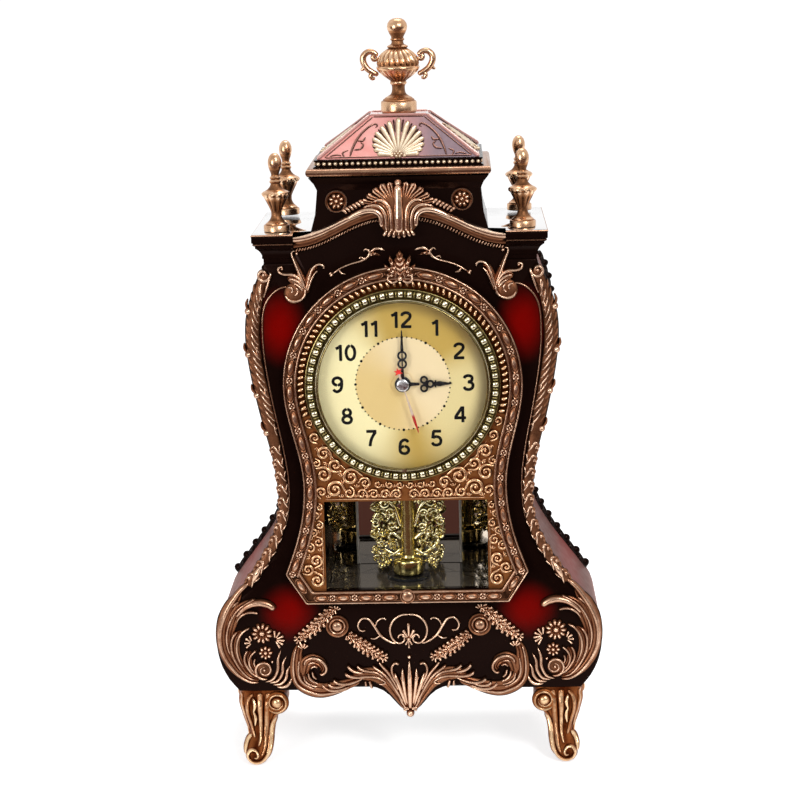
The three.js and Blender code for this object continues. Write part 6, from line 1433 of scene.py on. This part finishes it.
for x, z, lean in (
    (38.2, 181.6, 20), (38.8, 189.2, 150), (29.6, 179, 0), (46.6, 184, 30), (47.2, 195.6, 120),
    (22.6, 178.6, 40), (30.4, 172.9, 0), (23, 172.6, 0), (16, 172.6, 0), (8.8, 172.6, 0), (39, 172.8, 10),
    (47.4, 172.6, 0), (58.6, 123.6, 40), (53.2, 126.4, 0), (59.4, 134.8, 60), (53, 138.6, 10),
    (58, 146.2, 40), (54.4, 150.2, 0), (53.2, 161.4, 10), (57.8, 157.4, -20), (13.2, 179, 0),
    (6.4, 178.8, 0), (60.2, 228.4, 5), (52.8, 205.6, 160),
):
    for side in (1, -1):
        field += fan(side * x, z, (side * (lean - 36), side * lean, side * (lean + 36)), 2.8, 1.6, 1.5,
                     root=0.3)
build("frame_filigree", [lay(p, facing(FIELD_Y)) for p in field], copper_bronze)


# Bezel: a plated ring that holds the glass, with a row of square beads and thin bars in a channel and smooth
# rings inside them, pressed into the frame.
def round_dial(points):
    """Place of a form turned about the hands' axis: its height points out of the dial."""
    return np.stack([points[:, 0], -points[:, 2], DIAL_Z + points[:, 1]], 1)


BEZEL_PROFILE = [
    (59.6, 53.6), (59.6, 56.5), (59.4, 57), (59.1, 57.1), (58.8, 56.6), (54, 56.7), (53.8, 57.6),
    (53.5, 58.3), (53.2, 58.75), (52.8, 58.8), (52.5, 58.55), (52.3, 58.25), (52.1, 58.5), (51.8, 58.65),
    (51.4, 58.55), (51.2, 58.2), (51.25, 58.05), (53.4, 58.05), (53.4, 53.6),
]
BEAD_RADIUS, BEAD_FOOT, BEAD_COUNT = 56.4, 56.4, 128


def closed_ring(profile, sides):
    """Rings of points for a profile of radius and height carried round an axis."""
    rows = np.array(profile)
    angle = full_turn(sides)
    height = np.broadcast_to(rows[:, 1:], (len(rows), sides))
    return np.stack([rows[:, :1] * np.cos(angle), rows[:, :1] * np.sin(angle), height], -1)


low = np.interp([z for _, z in BEZEL_PROFILE], [53.6, 56.7, 57.1, 58.25, 58.5, 58.8],
                [0.1, 0.22, 0.5, 0.15, 0.55, 0.9])
ring = [lay(skin(closed_ring(BEZEL_PROFILE, 180), low[:, None], loop=True), round_dial)]
square = np.array([(-1, -1), (0, -1.12), (1, -1), (1.12, 0), (1, 1), (0, 1.12), (-1, 1), (-1.12, 0)])
for k in range(BEAD_COUNT):
    broad, deep, shade = (0.6, 1.8, 0.6) if k % 2 else (1.8, 2.1, 1)
    tiers = []
    for share, up in ((1, 0), (0.98, 0.7), (0.84, 1.5), (0.5, 2.15), (0.16, 2.35)):
        height = np.full(8, BEAD_FOOT + (0.5 + 0.5 * shade) * up)
        tiers += [np.column_stack([square * [deep, broad] * share + [BEAD_RADIUS, 0], height])]
    points, faces, crest = skin(np.array(tiers), shade * np.array([[0.06], [0.4], [0.7], [0.92], [1.04]]))
    ring += [lay((turned_to(points, 0, 0, 2 * math.pi * k / BEAD_COUNT), faces, crest), round_dial)]
points, faces, _ = ridge([(0, -53.9), (0, -51.3)], 3.4, 0.35, sides=4, blunt=0.1)
ring += [lay((points + [0, 0, 58.6], faces, np.full(len(points), 0.8)), round_dial)]
plated = aged("plated_gold", (0.03, 0.022, 0.006), (0.33, 0.26, 0.1), (1, 0.94, 0.68), polish=0.7)
build("bezel_beads", ring, plated, ["bezel"], sharp=44)


# Glass: a flat round pane behind the bezel's lip. Light passes it without a shadow.
def clear_glass():
    """Clear glass for sight and reflection, and plain transparency for shadows."""
    made, tree, shader = material("clear_glass", 0.02, 0)
    shader.inputs["Base Color"].default_value = (1, 1, 1, 1)
    shader.inputs["Transmission Weight"].default_value = 1.0
    shader.inputs["IOR"].default_value = 1.18
    mottle(tree, shader, noise(tree, 30), 0, 0.03)
    path = node(tree, "ShaderNodeLightPath")
    open_path = sums(tree, "MAXIMUM", path.outputs["Is Shadow Ray"], path.outputs["Is Diffuse Ray"])
    through = node(tree, "ShaderNodeBsdfTransparent")
    mixed = node(tree, "ShaderNodeMixShader", {0: open_path, 1: shader.outputs[0], 2: through.outputs[0]})
    feed(tree.nodes["Material Output"], "Surface", mixed.outputs[0])
    return made


dress(clear_glass(), "lens")


# Dial: a sheet with a satin gold print, paler within the dotted minute track, with bold black numbers. Its
# gold also carries a painted highlight of the brushed sheen, and painted shade at the right of the rim and
# in the lower left of the middle.
def from_axis(tree):
    """Offsets across and up from the hands' axis, in metres."""
    across, _, height = own_place(tree)
    return across, sums(tree, "SUBTRACT", height, DIAL_Z / 1000)


def dial_print():
    """Satin gold with fine grain. Outside the track a painted highlight of the brushed sheen turns round the
    middle: pale in a beam at the left and a weaker one at the right, deep gold between them. A painted
    shadow of the bezel darkens the right of the rim. Inside the track the print is paler, with painted shade
    towards the lower left."""
    made, tree, shader = material("dial_print", 0.34, 0.1)
    x, z = from_axis(tree)
    away = distance(tree, x, z)
    turn = sums(tree, "ARCTAN2", z, x)
    towards = lambda angle: sums(tree, "COSINE", sums(tree, "SUBTRACT", turn, angle))
    # Two pale beams, a painted highlight of the brushed sheen: strong at the left, weaker at the right.
    left, right = span(tree, towards(3.35), 0, 0.75), span(tree, towards(-0.35), 0.5, 0.95, 0, 0.6)
    pale = sums(tree, "MAXIMUM", left, right)
    outer = blend(tree, pale, (0.53, 0.35, 0.075, 1), (0.92, 0.82, 0.45, 1))
    # A painted shadow of the bezel's wall darkens the right of the rim.
    rim = sums(tree, "MULTIPLY", span(tree, away, 0.042, 0.052), span(tree, towards(0.4), 0.1, 0.9, 0, 0.75))
    outer = blend(tree, rim, outer, (0.15, 0.095, 0.04, 1))
    # Inside the track: a paler print, with painted shade towards the lower left.
    inner = blend(tree, span(tree, towards(0.5), -0.9, 0.5), (0.74, 0.54, 0.22, 1), (0.86, 0.69, 0.41, 1))
    share = span(tree, away, 0.0286, 0.0292)
    feed(shader, "Base Color", blend(tree, share, inner, outer))
    grain = noise(tree, 900, 2)
    mottle(tree, shader, grain, 0.3, 0.42)
    bump(tree, shader, grain, 0.08, 0.0001)
    return made


dress(dial_print(), "dial", "fixing_nut")
ink = moulded_plastic("dial_ink", (0.003, 0.003, 0.003), 0.5, shine=0.1)


def oval(x, z, across, up):
    """Closed line round a middle."""
    turn = np.linspace(0, 2 * math.pi, 33)
    return np.stack([x + across * np.sin(turn), z + up * np.cos(turn)], 1)


SIX = [
    oval(0.31, 0.3, 0.225, 0.225),
    [(0.085, 0.32), (0.092, 0.56), (0.15, 0.8), (0.31, 0.925), (0.45, 0.88), (0.52, 0.77)],
]
DIGITS = {
    "0": [oval(0.31, 0.5, 0.225, 0.425)],
    "1": [[(0.3, 0), (0.3, 1)], [(0.3, 0.93), (0.2, 0.82), (0.05, 0.75)]],
    "2": [[(0.09, 0.71), (0.13, 0.85), (0.3, 0.925), (0.48, 0.85), (0.52, 0.7), (0.45, 0.54), (0.28, 0.35),
           (0.14, 0.2), (0.09, 0.08)], [(0.03, 0.075), (0.58, 0.075)]],
    "3": [[(0.09, 0.76), (0.15, 0.88), (0.3, 0.925), (0.46, 0.87), (0.5, 0.74), (0.45, 0.6), (0.28, 0.535)],
          [(0.26, 0.535), (0.42, 0.51), (0.53, 0.4), (0.53, 0.24), (0.45, 0.12), (0.31, 0.075), (0.15, 0.12),
           (0.08, 0.26)]],
    "4": [[(0.43, 0.97), (0.06, 0.33)], [(0, 0.29), (0.62, 0.29)], [(0.45, 0), (0.45, 1)]],
    "5": [[(0.13, 0.925), (0.56, 0.925)], [(0.17, 0.96), (0.11, 0.48)],
          [(0.11, 0.5), (0.2, 0.57), (0.34, 0.59), (0.48, 0.51), (0.535, 0.33), (0.48, 0.15), (0.31, 0.075),
           (0.15, 0.12), (0.08, 0.25)]],
    "6": SIX,
    "7": [[(0.05, 0.925), (0.59, 0.925)], [(0.55, 0.9), (0.4, 0.65), (0.29, 0.36), (0.23, 0)]],
    "8": [oval(0.31, 0.725, 0.185, 0.2), oval(0.31, 0.29, 0.225, 0.215)],
    "9": [np.array([0.62, 1]) - np.asarray(stroke, float) for stroke in SIX],
}


def number(text, x, z, tall):
    """A printed number as flat strokes of one width, set side by side and centred on its place."""
    strokes, pen = [], 0.0
    for digit in text:
        strokes += [np.asarray(stroke, float) + [pen, 0] for stroke in DIGITS[digit]]
        pen += 0.5 if digit == "1" else 0.7
    drawn = np.vstack(strokes)
    middle = (drawn.max(0) + drawn.min(0)) / 2
    placed = [[x, z] + tall * (stroke - middle) * [1.16, 1] for stroke in strokes]
    return [ridge(p, 0.185 * tall, 0.03, count=44, sides=4, blunt=0.0005, sink=0.02) for p in placed]


figures = []
for hour in range(1, 13):
    turn = 2 * math.pi * hour / 12
    figures += number(str(hour), 40 * math.sin(turn), DIAL_Z + 39.6 * math.cos(turn), 10.2)
build("dial_numbers", [lay(p, facing(-50.04)) for p in figures], ink)
TRACK_RADIUS = 28.9
dots = []
for k in range(60):
    turn = 2 * math.pi * k / 60
    size = 0.86 if k % 5 == 0 else 0.5
    points, faces, crest = turned([(size, -0.02), (size, 0.05), (0.05, 0.06)], 10)
    out = [TRACK_RADIUS * math.sin(turn), TRACK_RADIUS * math.cos(turn), 50]
    dots += [lay((points + out, faces, crest), round_dial)]
build("minute_dots", dots, ink)


# Hands: stamped and painted. The hour hand opens in a trefoil and the minute hand in two loops, both black.
# The slender second hand is red towards its tip and has a star on its tail. A bright cap covers the arbor.
HAND_THICK = 0.6


def on_hand(degrees, depth):
    """Ground of a hand drawn to twelve o'clock and turned clockwise, with its depth and thickness."""
    c, s = math.cos(math.radians(degrees)), math.sin(math.radians(degrees))
    return lambda p: np.stack([p[:, 0] * c + p[:, 1] * s, depth - p[:, 2],
                               DIAL_Z - p[:, 0] * s + p[:, 1] * c], 1)


def loop_at(x, z, radius, width):
    """Flat ring as part of a hand."""
    near, far = radius - width / 2, radius + width / 2
    profile = [(near, -0.2), (far, -0.2), (far, 0.6 * HAND_THICK), (radius, HAND_THICK),
               (near, 0.6 * HAND_THICK)]
    return skin(closed_ring(profile, 28) + [x, z, 0], 0.5, loop=True)


def blade(points, width, height=HAND_THICK, blunt=0.04):
    """Flat bar as part of a hand, with widths from start to end."""
    return ridge(points, width, height, sink=0.2, blunt=blunt)


def hub(radius):
    """Flat boss of a hand on its tube."""
    return turned([(radius, -0.2), (radius, 0.35), (radius - 0.4, HAND_THICK), (0.1, HAND_THICK)], 32)


black_enamel = moulded_plastic("black_enamel", (0.006, 0.006, 0.007), 0.28, shine=0.2)
minute = [hub(4.4), blade([(0, 3.6), (0, 7), (0, 10.2)], (2.4, 1.9, 1.6))]
minute += [loop_at(0, 12.9, 2.4, 1.2), loop_at(0, 18, 2.4, 1.2)]
minute += [blade([(0, 20.2), (0, 27), (0, 34)], (2.1, 1.5, 0.7))]
minute += [blade([(0, 10.8), (0, 15.4), (0, 20.4)], 0.8, 0.5)]
minute = [lay(p, on_hand(0, -53.3)) for p in minute]
build("minute_pierced", minute, black_enamel, ["minute_hand"], body="minute")
hour = [hub(4.9), blade([(0, 4), (0, 7), (0, 10.4)], (2.6, 2, 1.8))]
hour += [loop_at(0, 16.8, 1.9, 1.3), loop_at(2.6, 13, 1.9, 1.3), loop_at(-2.6, 13, 1.9, 1.3)]
hour += [bead(0, 14, 1.5, HAND_THICK, 12)]
hour += [blade([(0, 18.6), (0, 21.6), (0, 25), (0, 30)], (1.8, 3.4, 1.8, 0.7))]
hour += [blade([(-2.4, 20.4), (0, 19.4), (2.4, 20.4)], 1, blunt=0.14)]
hour = [lay(p, on_hand(90, -52.1)) for p in hour]
build("hour_pierced", hour, black_enamel, ["hour_hand"], body="hour")


def second_paint():
    """Grey by the arbor and red beyond it, by distance from the hands' axis."""
    made, tree, shader = material("second_paint", 0.3, 0)
    share = span(tree, distance(tree, *from_axis(tree)), 0.0185, 0.021)
    feed(shader, "Base Color", blend(tree, share, (0.6, 0.45, 0.36, 1), (0.42, 0.01, 0.008, 1)))
    mottle(tree, shader, noise(tree, 700), 0.24, 0.36)
    return made


at_second = on_hand(163, -54.5)
second = [turned([(2.4, -0.2), (2.4, 0.4), (2.1, HAND_THICK), (0.1, HAND_THICK)], 24)]
second += [blade([(0, -8), (0, 0), (0, 16), (0, 31.6)], (1.4, 1.2, 0.8, 1.6, 1.7, 0.5), blunt=0.02)]
second = [lay(p, at_second) for p in second]
build("second_blade", second, second_paint(), ["second_hand"], body="second")
turn = np.arange(12) * math.pi / 6
points_out = np.where(np.arange(12) % 2, 1.25, 2.9)[:, None]
star = np.stack([np.sin(turn), np.cos(turn)], 1) * points_out + [0, -8.4]
tiers = np.stack([np.column_stack([star, np.full(12, h)]) for h in (-0.2, 0.45)])
star_red = moulded_plastic("star_red", (0.6, 0.012, 0.01), 0.3)
build("second_star", [lay(skin(tiers, 0.6), at_second)], star_red, body="second", sharp=20)


def brushed(name, colour, rough=0.24):
    """Bare metal with fine scratches along one direction."""
    made, tree, shader = material(name, rough, 1)
    scratch = noise(tree, 260, 3, (1, 1, 14))
    dull = tuple(0.72 * c for c in colour) + (1,)
    feed(shader, "Base Color", blend(tree, scratch, dull, tuple(colour) + (1,)))
    mottle(tree, shader, scratch, rough - 0.08, rough + 0.12)
    bump(tree, shader, scratch, 0.08, 0.0001)
    return made


steel = brushed("bright_steel", (0.78, 0.78, 0.79))
cap = turned([(3.8, 0), (3.8, 0.3), (3.5, 0.6), (2.8, 0.8), (1.4, 0.88), (0.1, 0.9)], 40)
build("arbor_cap", [lay(cap, on_hand(0, -55.4))], steel, ["centre_cap"], body="second")


# Movement: a moulded box on the dial's back with white nylon wheels on brass tubes, a wound motor and one
# dry cell, all reached through the access door.
nylon = moulded_plastic("white_nylon", (0.66, 0.62, 0.54), 0.4)
brass = brushed("turned_brass", (0.8, 0.56, 0.22))
copper = brushed("enamelled_copper", (0.62, 0.25, 0.11), 0.3)
dress(black_plastic, "movement_case", "movement_cover", "setting_knob")
dress(nylon, "hour_wheel", "motion_wheel", "second_wheel")
dress(brass, "cannon_pinion")
dress(copper, "step_motor", "pendulum_coil")
dress(steel, "battery_cell")


# Niche: three upright mirrors stand round the pendulum, a smoked one behind it and a clear one at each side,
# between a glossy tiled floor and a dark ceiling, held in grooves of the case.
def silvered(name, dark, pale):
    """Silvering with faint clouds and a fine haze of dust."""
    made, tree, shader = material(name, 0.02, 1)
    cloud = noise(tree, 22, 4)
    feed(shader, "Base Color", blend(tree, cloud, dark, pale))
    feed(shader, "Roughness", span(tree, noise(tree, 90), 0.35, 0.8, 0.015, 0.06))
    return made


def tile_gloss():
    """Dark grey gloss with thin seams: one along the front and two that slant to the corners."""
    made, tree, shader = material("tile_gloss", 0.08, 0, 0.1)
    across, depth, _ = own_place(tree)
    aside = sums(tree, "SUBTRACT", sums(tree, "ABSOLUTE", across), 0.031)
    behind = sums(tree, "ADD", depth, 0.012)
    slant = sums(tree, "ABSOLUTE", sums(tree, "ADD", aside, sums(tree, "MULTIPLY", behind, 0.9)))
    straight = sums(tree, "ABSOLUTE", behind)
    seam = span(tree, sums(tree, "MINIMUM", slant, straight), 0.0005, 0.0012)
    cloud = noise(tree, 60, 4)
    stone = blend(tree, cloud, (0.042, 0.033, 0.024, 1), (0.075, 0.062, 0.047, 1))
    feed(shader, "Base Color", blend(tree, seam, (0.003, 0.003, 0.003, 1), stone))
    mottle(tree, shader, noise(tree, 160), 0.05, 0.14)
    bump(tree, shader, seam, 0.3, 0.0003)
    return made


def upright_sheet(plan, side, low, high):
    """Slab with square edges over four corners of a plan, between two heights, on the right or the left."""
    plan = np.array(plan) * [side, 1]
    return lay(skin(np.array([np.column_stack([plan, np.full(4, z)]) for z in (low, high)]), 0.5))


dress(silvered("smoked_mirror", (0.5, 0.44, 0.38, 1), (0.64, 0.57, 0.5, 1)), "mirror_back")
clear_silver = silvered("clear_mirror", (0.8, 0.77, 0.7, 1), (0.9, 0.87, 0.8, 1))
glass_edge = moulded_plastic("ground_edge", (0.62, 0.58, 0.54), 0.2)
for side, hand in ((1, "right"), (-1, "left")):
    sheet = upright_sheet([(33.3, 9), (54.2, -45.2), (56.1, -44.5), (35.2, 9.7)], side, 112.3, 179.2)
    build(f"mirror_sheet_{hand}", [sheet], clear_silver, [f"mirror_{hand}"], sharp=30)
    seam = upright_sheet([(32.5, 8.9), (33.1, 8), (33.5, 8.2), (33.3, 9)], side, 112.4, 179.1)
    build(f"mirror_seam_{hand}", [seam], glass_edge, sharp=30)
dress(tile_gloss(), "niche_floor")
dress(black_plastic, "niche_ceiling")
dress(black_enamel, "pivot_disc")


# Pendulum: plated filigree that turns on a pin. A smooth cup and column stand between two upright wings of
# curled tendrils and small leaves.
bright_gold = aged("bright_gold", (0.045, 0.034, 0.006), (0.56, 0.45, 0.15), (1, 0.93, 0.6), polish=0.5)
CUP_PROFILE = [
    (8.9, 0), (9.6, 0.5), (9.8, 1.2), (9.7, 8.6), (9.5, 9.6), (8.8, 10.2), (6, 10.4), (4.9, 10.8),
    (4.6, 11.6), (4.5, 13), (4.3, 40), (4.4, 58), (4.5, 62.6), (4.3, 64.2), (1.4, 64.5),
]
PENDULUM_Y, PENDULUM_FOOT = -20.5, 114.5
points, faces, _ = turned(CUP_PROFILE, 48)
pendulum = [lay((points, faces, np.full(len(points), 0.72)), upright(0, PENDULUM_Y, PENDULUM_FOOT))]


def in_wing(depth):
    """Plane of the wings, moved to the front or the back of their middle."""
    return lambda p: np.stack([p[:, 0], PENDULUM_Y - depth - p[:, 2], PENDULUM_FOOT + p[:, 1]], 1)


def across_wing(x):
    """Plane square to the wings, at a distance from the column."""
    return lambda p: np.stack([x + p[:, 2], PENDULUM_Y + p[:, 0], PENDULUM_FOOT + p[:, 1]], 1)


WING_STEMS = [
    [(4.2, 12.2), (12.2, 14), (19.6, 21.6), (21.4, 34), (16.4, 42.2), (11.6, 38.4), (13.6, 33.2)],
    [(4.2, 30), (8.8, 44), (16.4, 49.6), (18.6, 56.6), (13.6, 59.4), (10.4, 55.4)],
    [(4.2, 16), (11, 11.6), (17.6, 12.6), (21.8, 18.6)],
    [(4.2, 46), (7.2, 56), (6.6, 61.8)], [(4.2, 22), (9.6, 26.4), (12.2, 24), (10.4, 20.8)],
]
WING_CURLS = [
    (9.2, 18.6, 3.2, 200), (15.8, 19.4, 3.4, 150), (20, 25.8, 3.2, 100), (20.4, 33.6, 3.1, 60),
    (14.6, 27.6, 3.4, 10), (9, 31.2, 3, 250), (16.8, 37.8, 3.2, 200), (10, 39.8, 3, 330),
    (19.6, 43.4, 3, 80), (14.6, 46.4, 3, 180), (8.4, 48.4, 2.8, 20), (18.4, 52, 2.8, 120),
    (12.6, 54.4, 2.8, 300), (7.6, 57.4, 2.4, 150), (15.8, 58.6, 2.4, 40), (11.4, 61, 2, 210),
    (20.8, 15.6, 2.2, 330), (14.2, 12.2, 2.2, 250), (13.8, 7.4, 2.6, 60), (18.8, 10, 2.6, 300),
    (16.4, 4.8, 1.9, 160),
]
for path in WING_STEMS:
    pendulum += [rod(p, (1.3, 1.4, 1.3, 0.9), in_wing(0)) for p in both(path)]
for k, (x, z, size, start) in enumerate(WING_CURLS):
    curl = spiral_line(x, z, start, 1.3 if k % 2 else -1.3, size, 0.2 * size, 26)
    for side, p in zip((1, -1), both(curl)):
        depth = 2.1 * side * (1 if k % 3 else -1)
        pendulum += [rod(p, (0.55, 0.95, 0.7), in_wing(depth), 7)]
        pendulum += [rod(p + [0.6 * side, 0.5], (0.5, 0.85, 0.6), in_wing(-depth), 7)]
    turned_out = spiral_line(2.4 if k % 2 else -2.4, z, start + 90, 1.2, 1.1 * size, 0.24 * size, 24)
    pendulum += [rod(turned_out, (0.55, 0.95, 0.7), across_wing(side * x), 6) for side in (1, -1)]
    for lean in (start, start + 130, start + 230):
        out = size * np.array([math.sin(math.radians(lean)), math.cos(math.radians(lean))])
        tip = np.array([(x, z)]) + np.array([[0.5], [1], [1.35]]) * out
        tip[:, 0] = np.clip(tip[:, 0], 4.6, 23.2)
        for side, p in zip((1, -1), both(tip)):
            pendulum += [rod(p, (0.5, 1.1, 0.4), in_wing(1.2 * side * (-1 if k % 2 else 1)), 6)]
build("filigree_pendulum", pendulum, bright_gold, ["pendulum"], body="pendulum_body")


# Stage: a white floor that fades into a white studio, with a large soft light above the right, a weaker one
# at the left and one over the back, and the camera where the photograph was taken. In reflections the floor
# in
# front of the clock shows dark brown: painted dim surroundings.
def seen(tree):
    """1 for light paths that show the background: to the camera, in reflections and through glass."""
    path = node(tree, "ShaderNodeLightPath")
    shown = sums(tree, "MAXIMUM", path.outputs["Is Camera Ray"], path.outputs["Is Glossy Ray"])
    return sums(tree, "MAXIMUM", shown, path.outputs["Is Transmission Ray"])


world = bpy.data.worlds.new("studio")
bpy.context.scene.world = world
world.use_nodes = True
sky_tree = world.node_tree
sky = sky_tree.nodes["Background"]
sky.inputs["Color"].default_value = (1, 1, 1, 1)
sight = node(sky_tree, "ShaderNodeTexCoord").outputs["Generated"]
away = node(sky_tree, "ShaderNodeSeparateXYZ", {0: sight}).outputs[1]
room = span(sky_tree, away, -0.6, 0.2, 0.62, 1)
straight = node(sky_tree, "ShaderNodeLightPath").outputs["Is Camera Ray"]
backdrop = sums(sky_tree, "MAXIMUM", room, straight)
level = sums(sky_tree, "MULTIPLY_ADD", seen(sky_tree), sums(sky_tree, "SUBTRACT", backdrop, 0.5), 0.5)
feed(sky, "Strength", level)

floor_mesh = bpy.data.meshes.new("floor")
floor_mesh.from_pydata([(-30, -30, 0), (30, -30, 0), (30, 30, 0), (-30, 30, 0)], [], [(0, 1, 2, 3)])
floor = bpy.data.objects.new("floor", floor_mesh)
bpy.context.scene.collection.objects.link(floor)
paper, paper_tree, paper_shader = material("paper", 0.9, 0)
path = node(paper_tree, "ShaderNodeLightPath")
_, depth, _ = own_place(paper_tree)
# White share: in reflections the floor in front of the clock turns dark brown and stops glowing, a painted
# dim surround that darkens the clock's reflections; to the camera and to light it stays white.
white_share = sums(paper_tree, "MAXIMUM", span(paper_tree, depth, -0.44, -0.16, 0.01, 1),
           path.outputs["Is Camera Ray"])
mirrored_only = sums(paper_tree, "MAXIMUM", path.outputs["Is Glossy Ray"],
                     path.outputs["Is Transmission Ray"])
paper_share = sums(paper_tree, "MAXIMUM", white_share, sums(paper_tree, "SUBTRACT", 1, mirrored_only))
feed(paper_shader, "Base Color", blend(paper_tree, paper_share, (0.085, 0.028, 0.02, 1), (0.8, 0.8, 0.8, 1)))
paper_shader.inputs["Specular IOR Level"].default_value = 0.0
paper_shader.inputs["Emission Color"].default_value = (1, 1, 1, 1)
glow = sums(paper_tree, "MULTIPLY", seen(paper_tree), sums(paper_tree, "MULTIPLY", white_share, 0.66))
feed(paper_shader, "Emission Strength", glow)
floor.data.materials.append(paper)


def soft_light(name, place, target, size, power):
    """Square area lamp turned from its place to a target, in metres and watts."""
    lamp = bpy.data.lights.new(name, "AREA")
    lamp.size = size
    lamp.energy = power
    made = bpy.data.objects.new(name, lamp)
    bpy.context.scene.collection.objects.link(made)
    made.location = place
    made.rotation_euler = (Vector(target) - Vector(place)).to_track_quat("-Z", "Y").to_euler()


soft_light("key", (0.85, -1.45, 1.3), (0, 0, 0.22), 0.6, 16)
soft_light("fill", (-1, -1.4, 0.45), (0, 0, 0.2), 0.7, 10)
soft_light("top", (0.1, 0.5, 1.8), (0, 0, 0.3), 0.8, 10)

camera = bpy.data.objects.new("camera", bpy.data.cameras.new("camera"))
bpy.context.scene.collection.objects.link(camera)
bpy.context.scene.camera = camera
camera.data.lens = 97.3
camera.data.sensor_width = 36
camera.location = (0.04027, -1.34208, 0.512)
aim = (Vector((-0.0036, 0, 0.2225)) - camera.location).to_track_quat("-Z", "Y")
camera.rotation_euler = (aim @ Quaternion((0, 0, 1), math.radians(-1.36))).to_euler()
bpy.context.scene.view_settings.view_transform = "Standard"
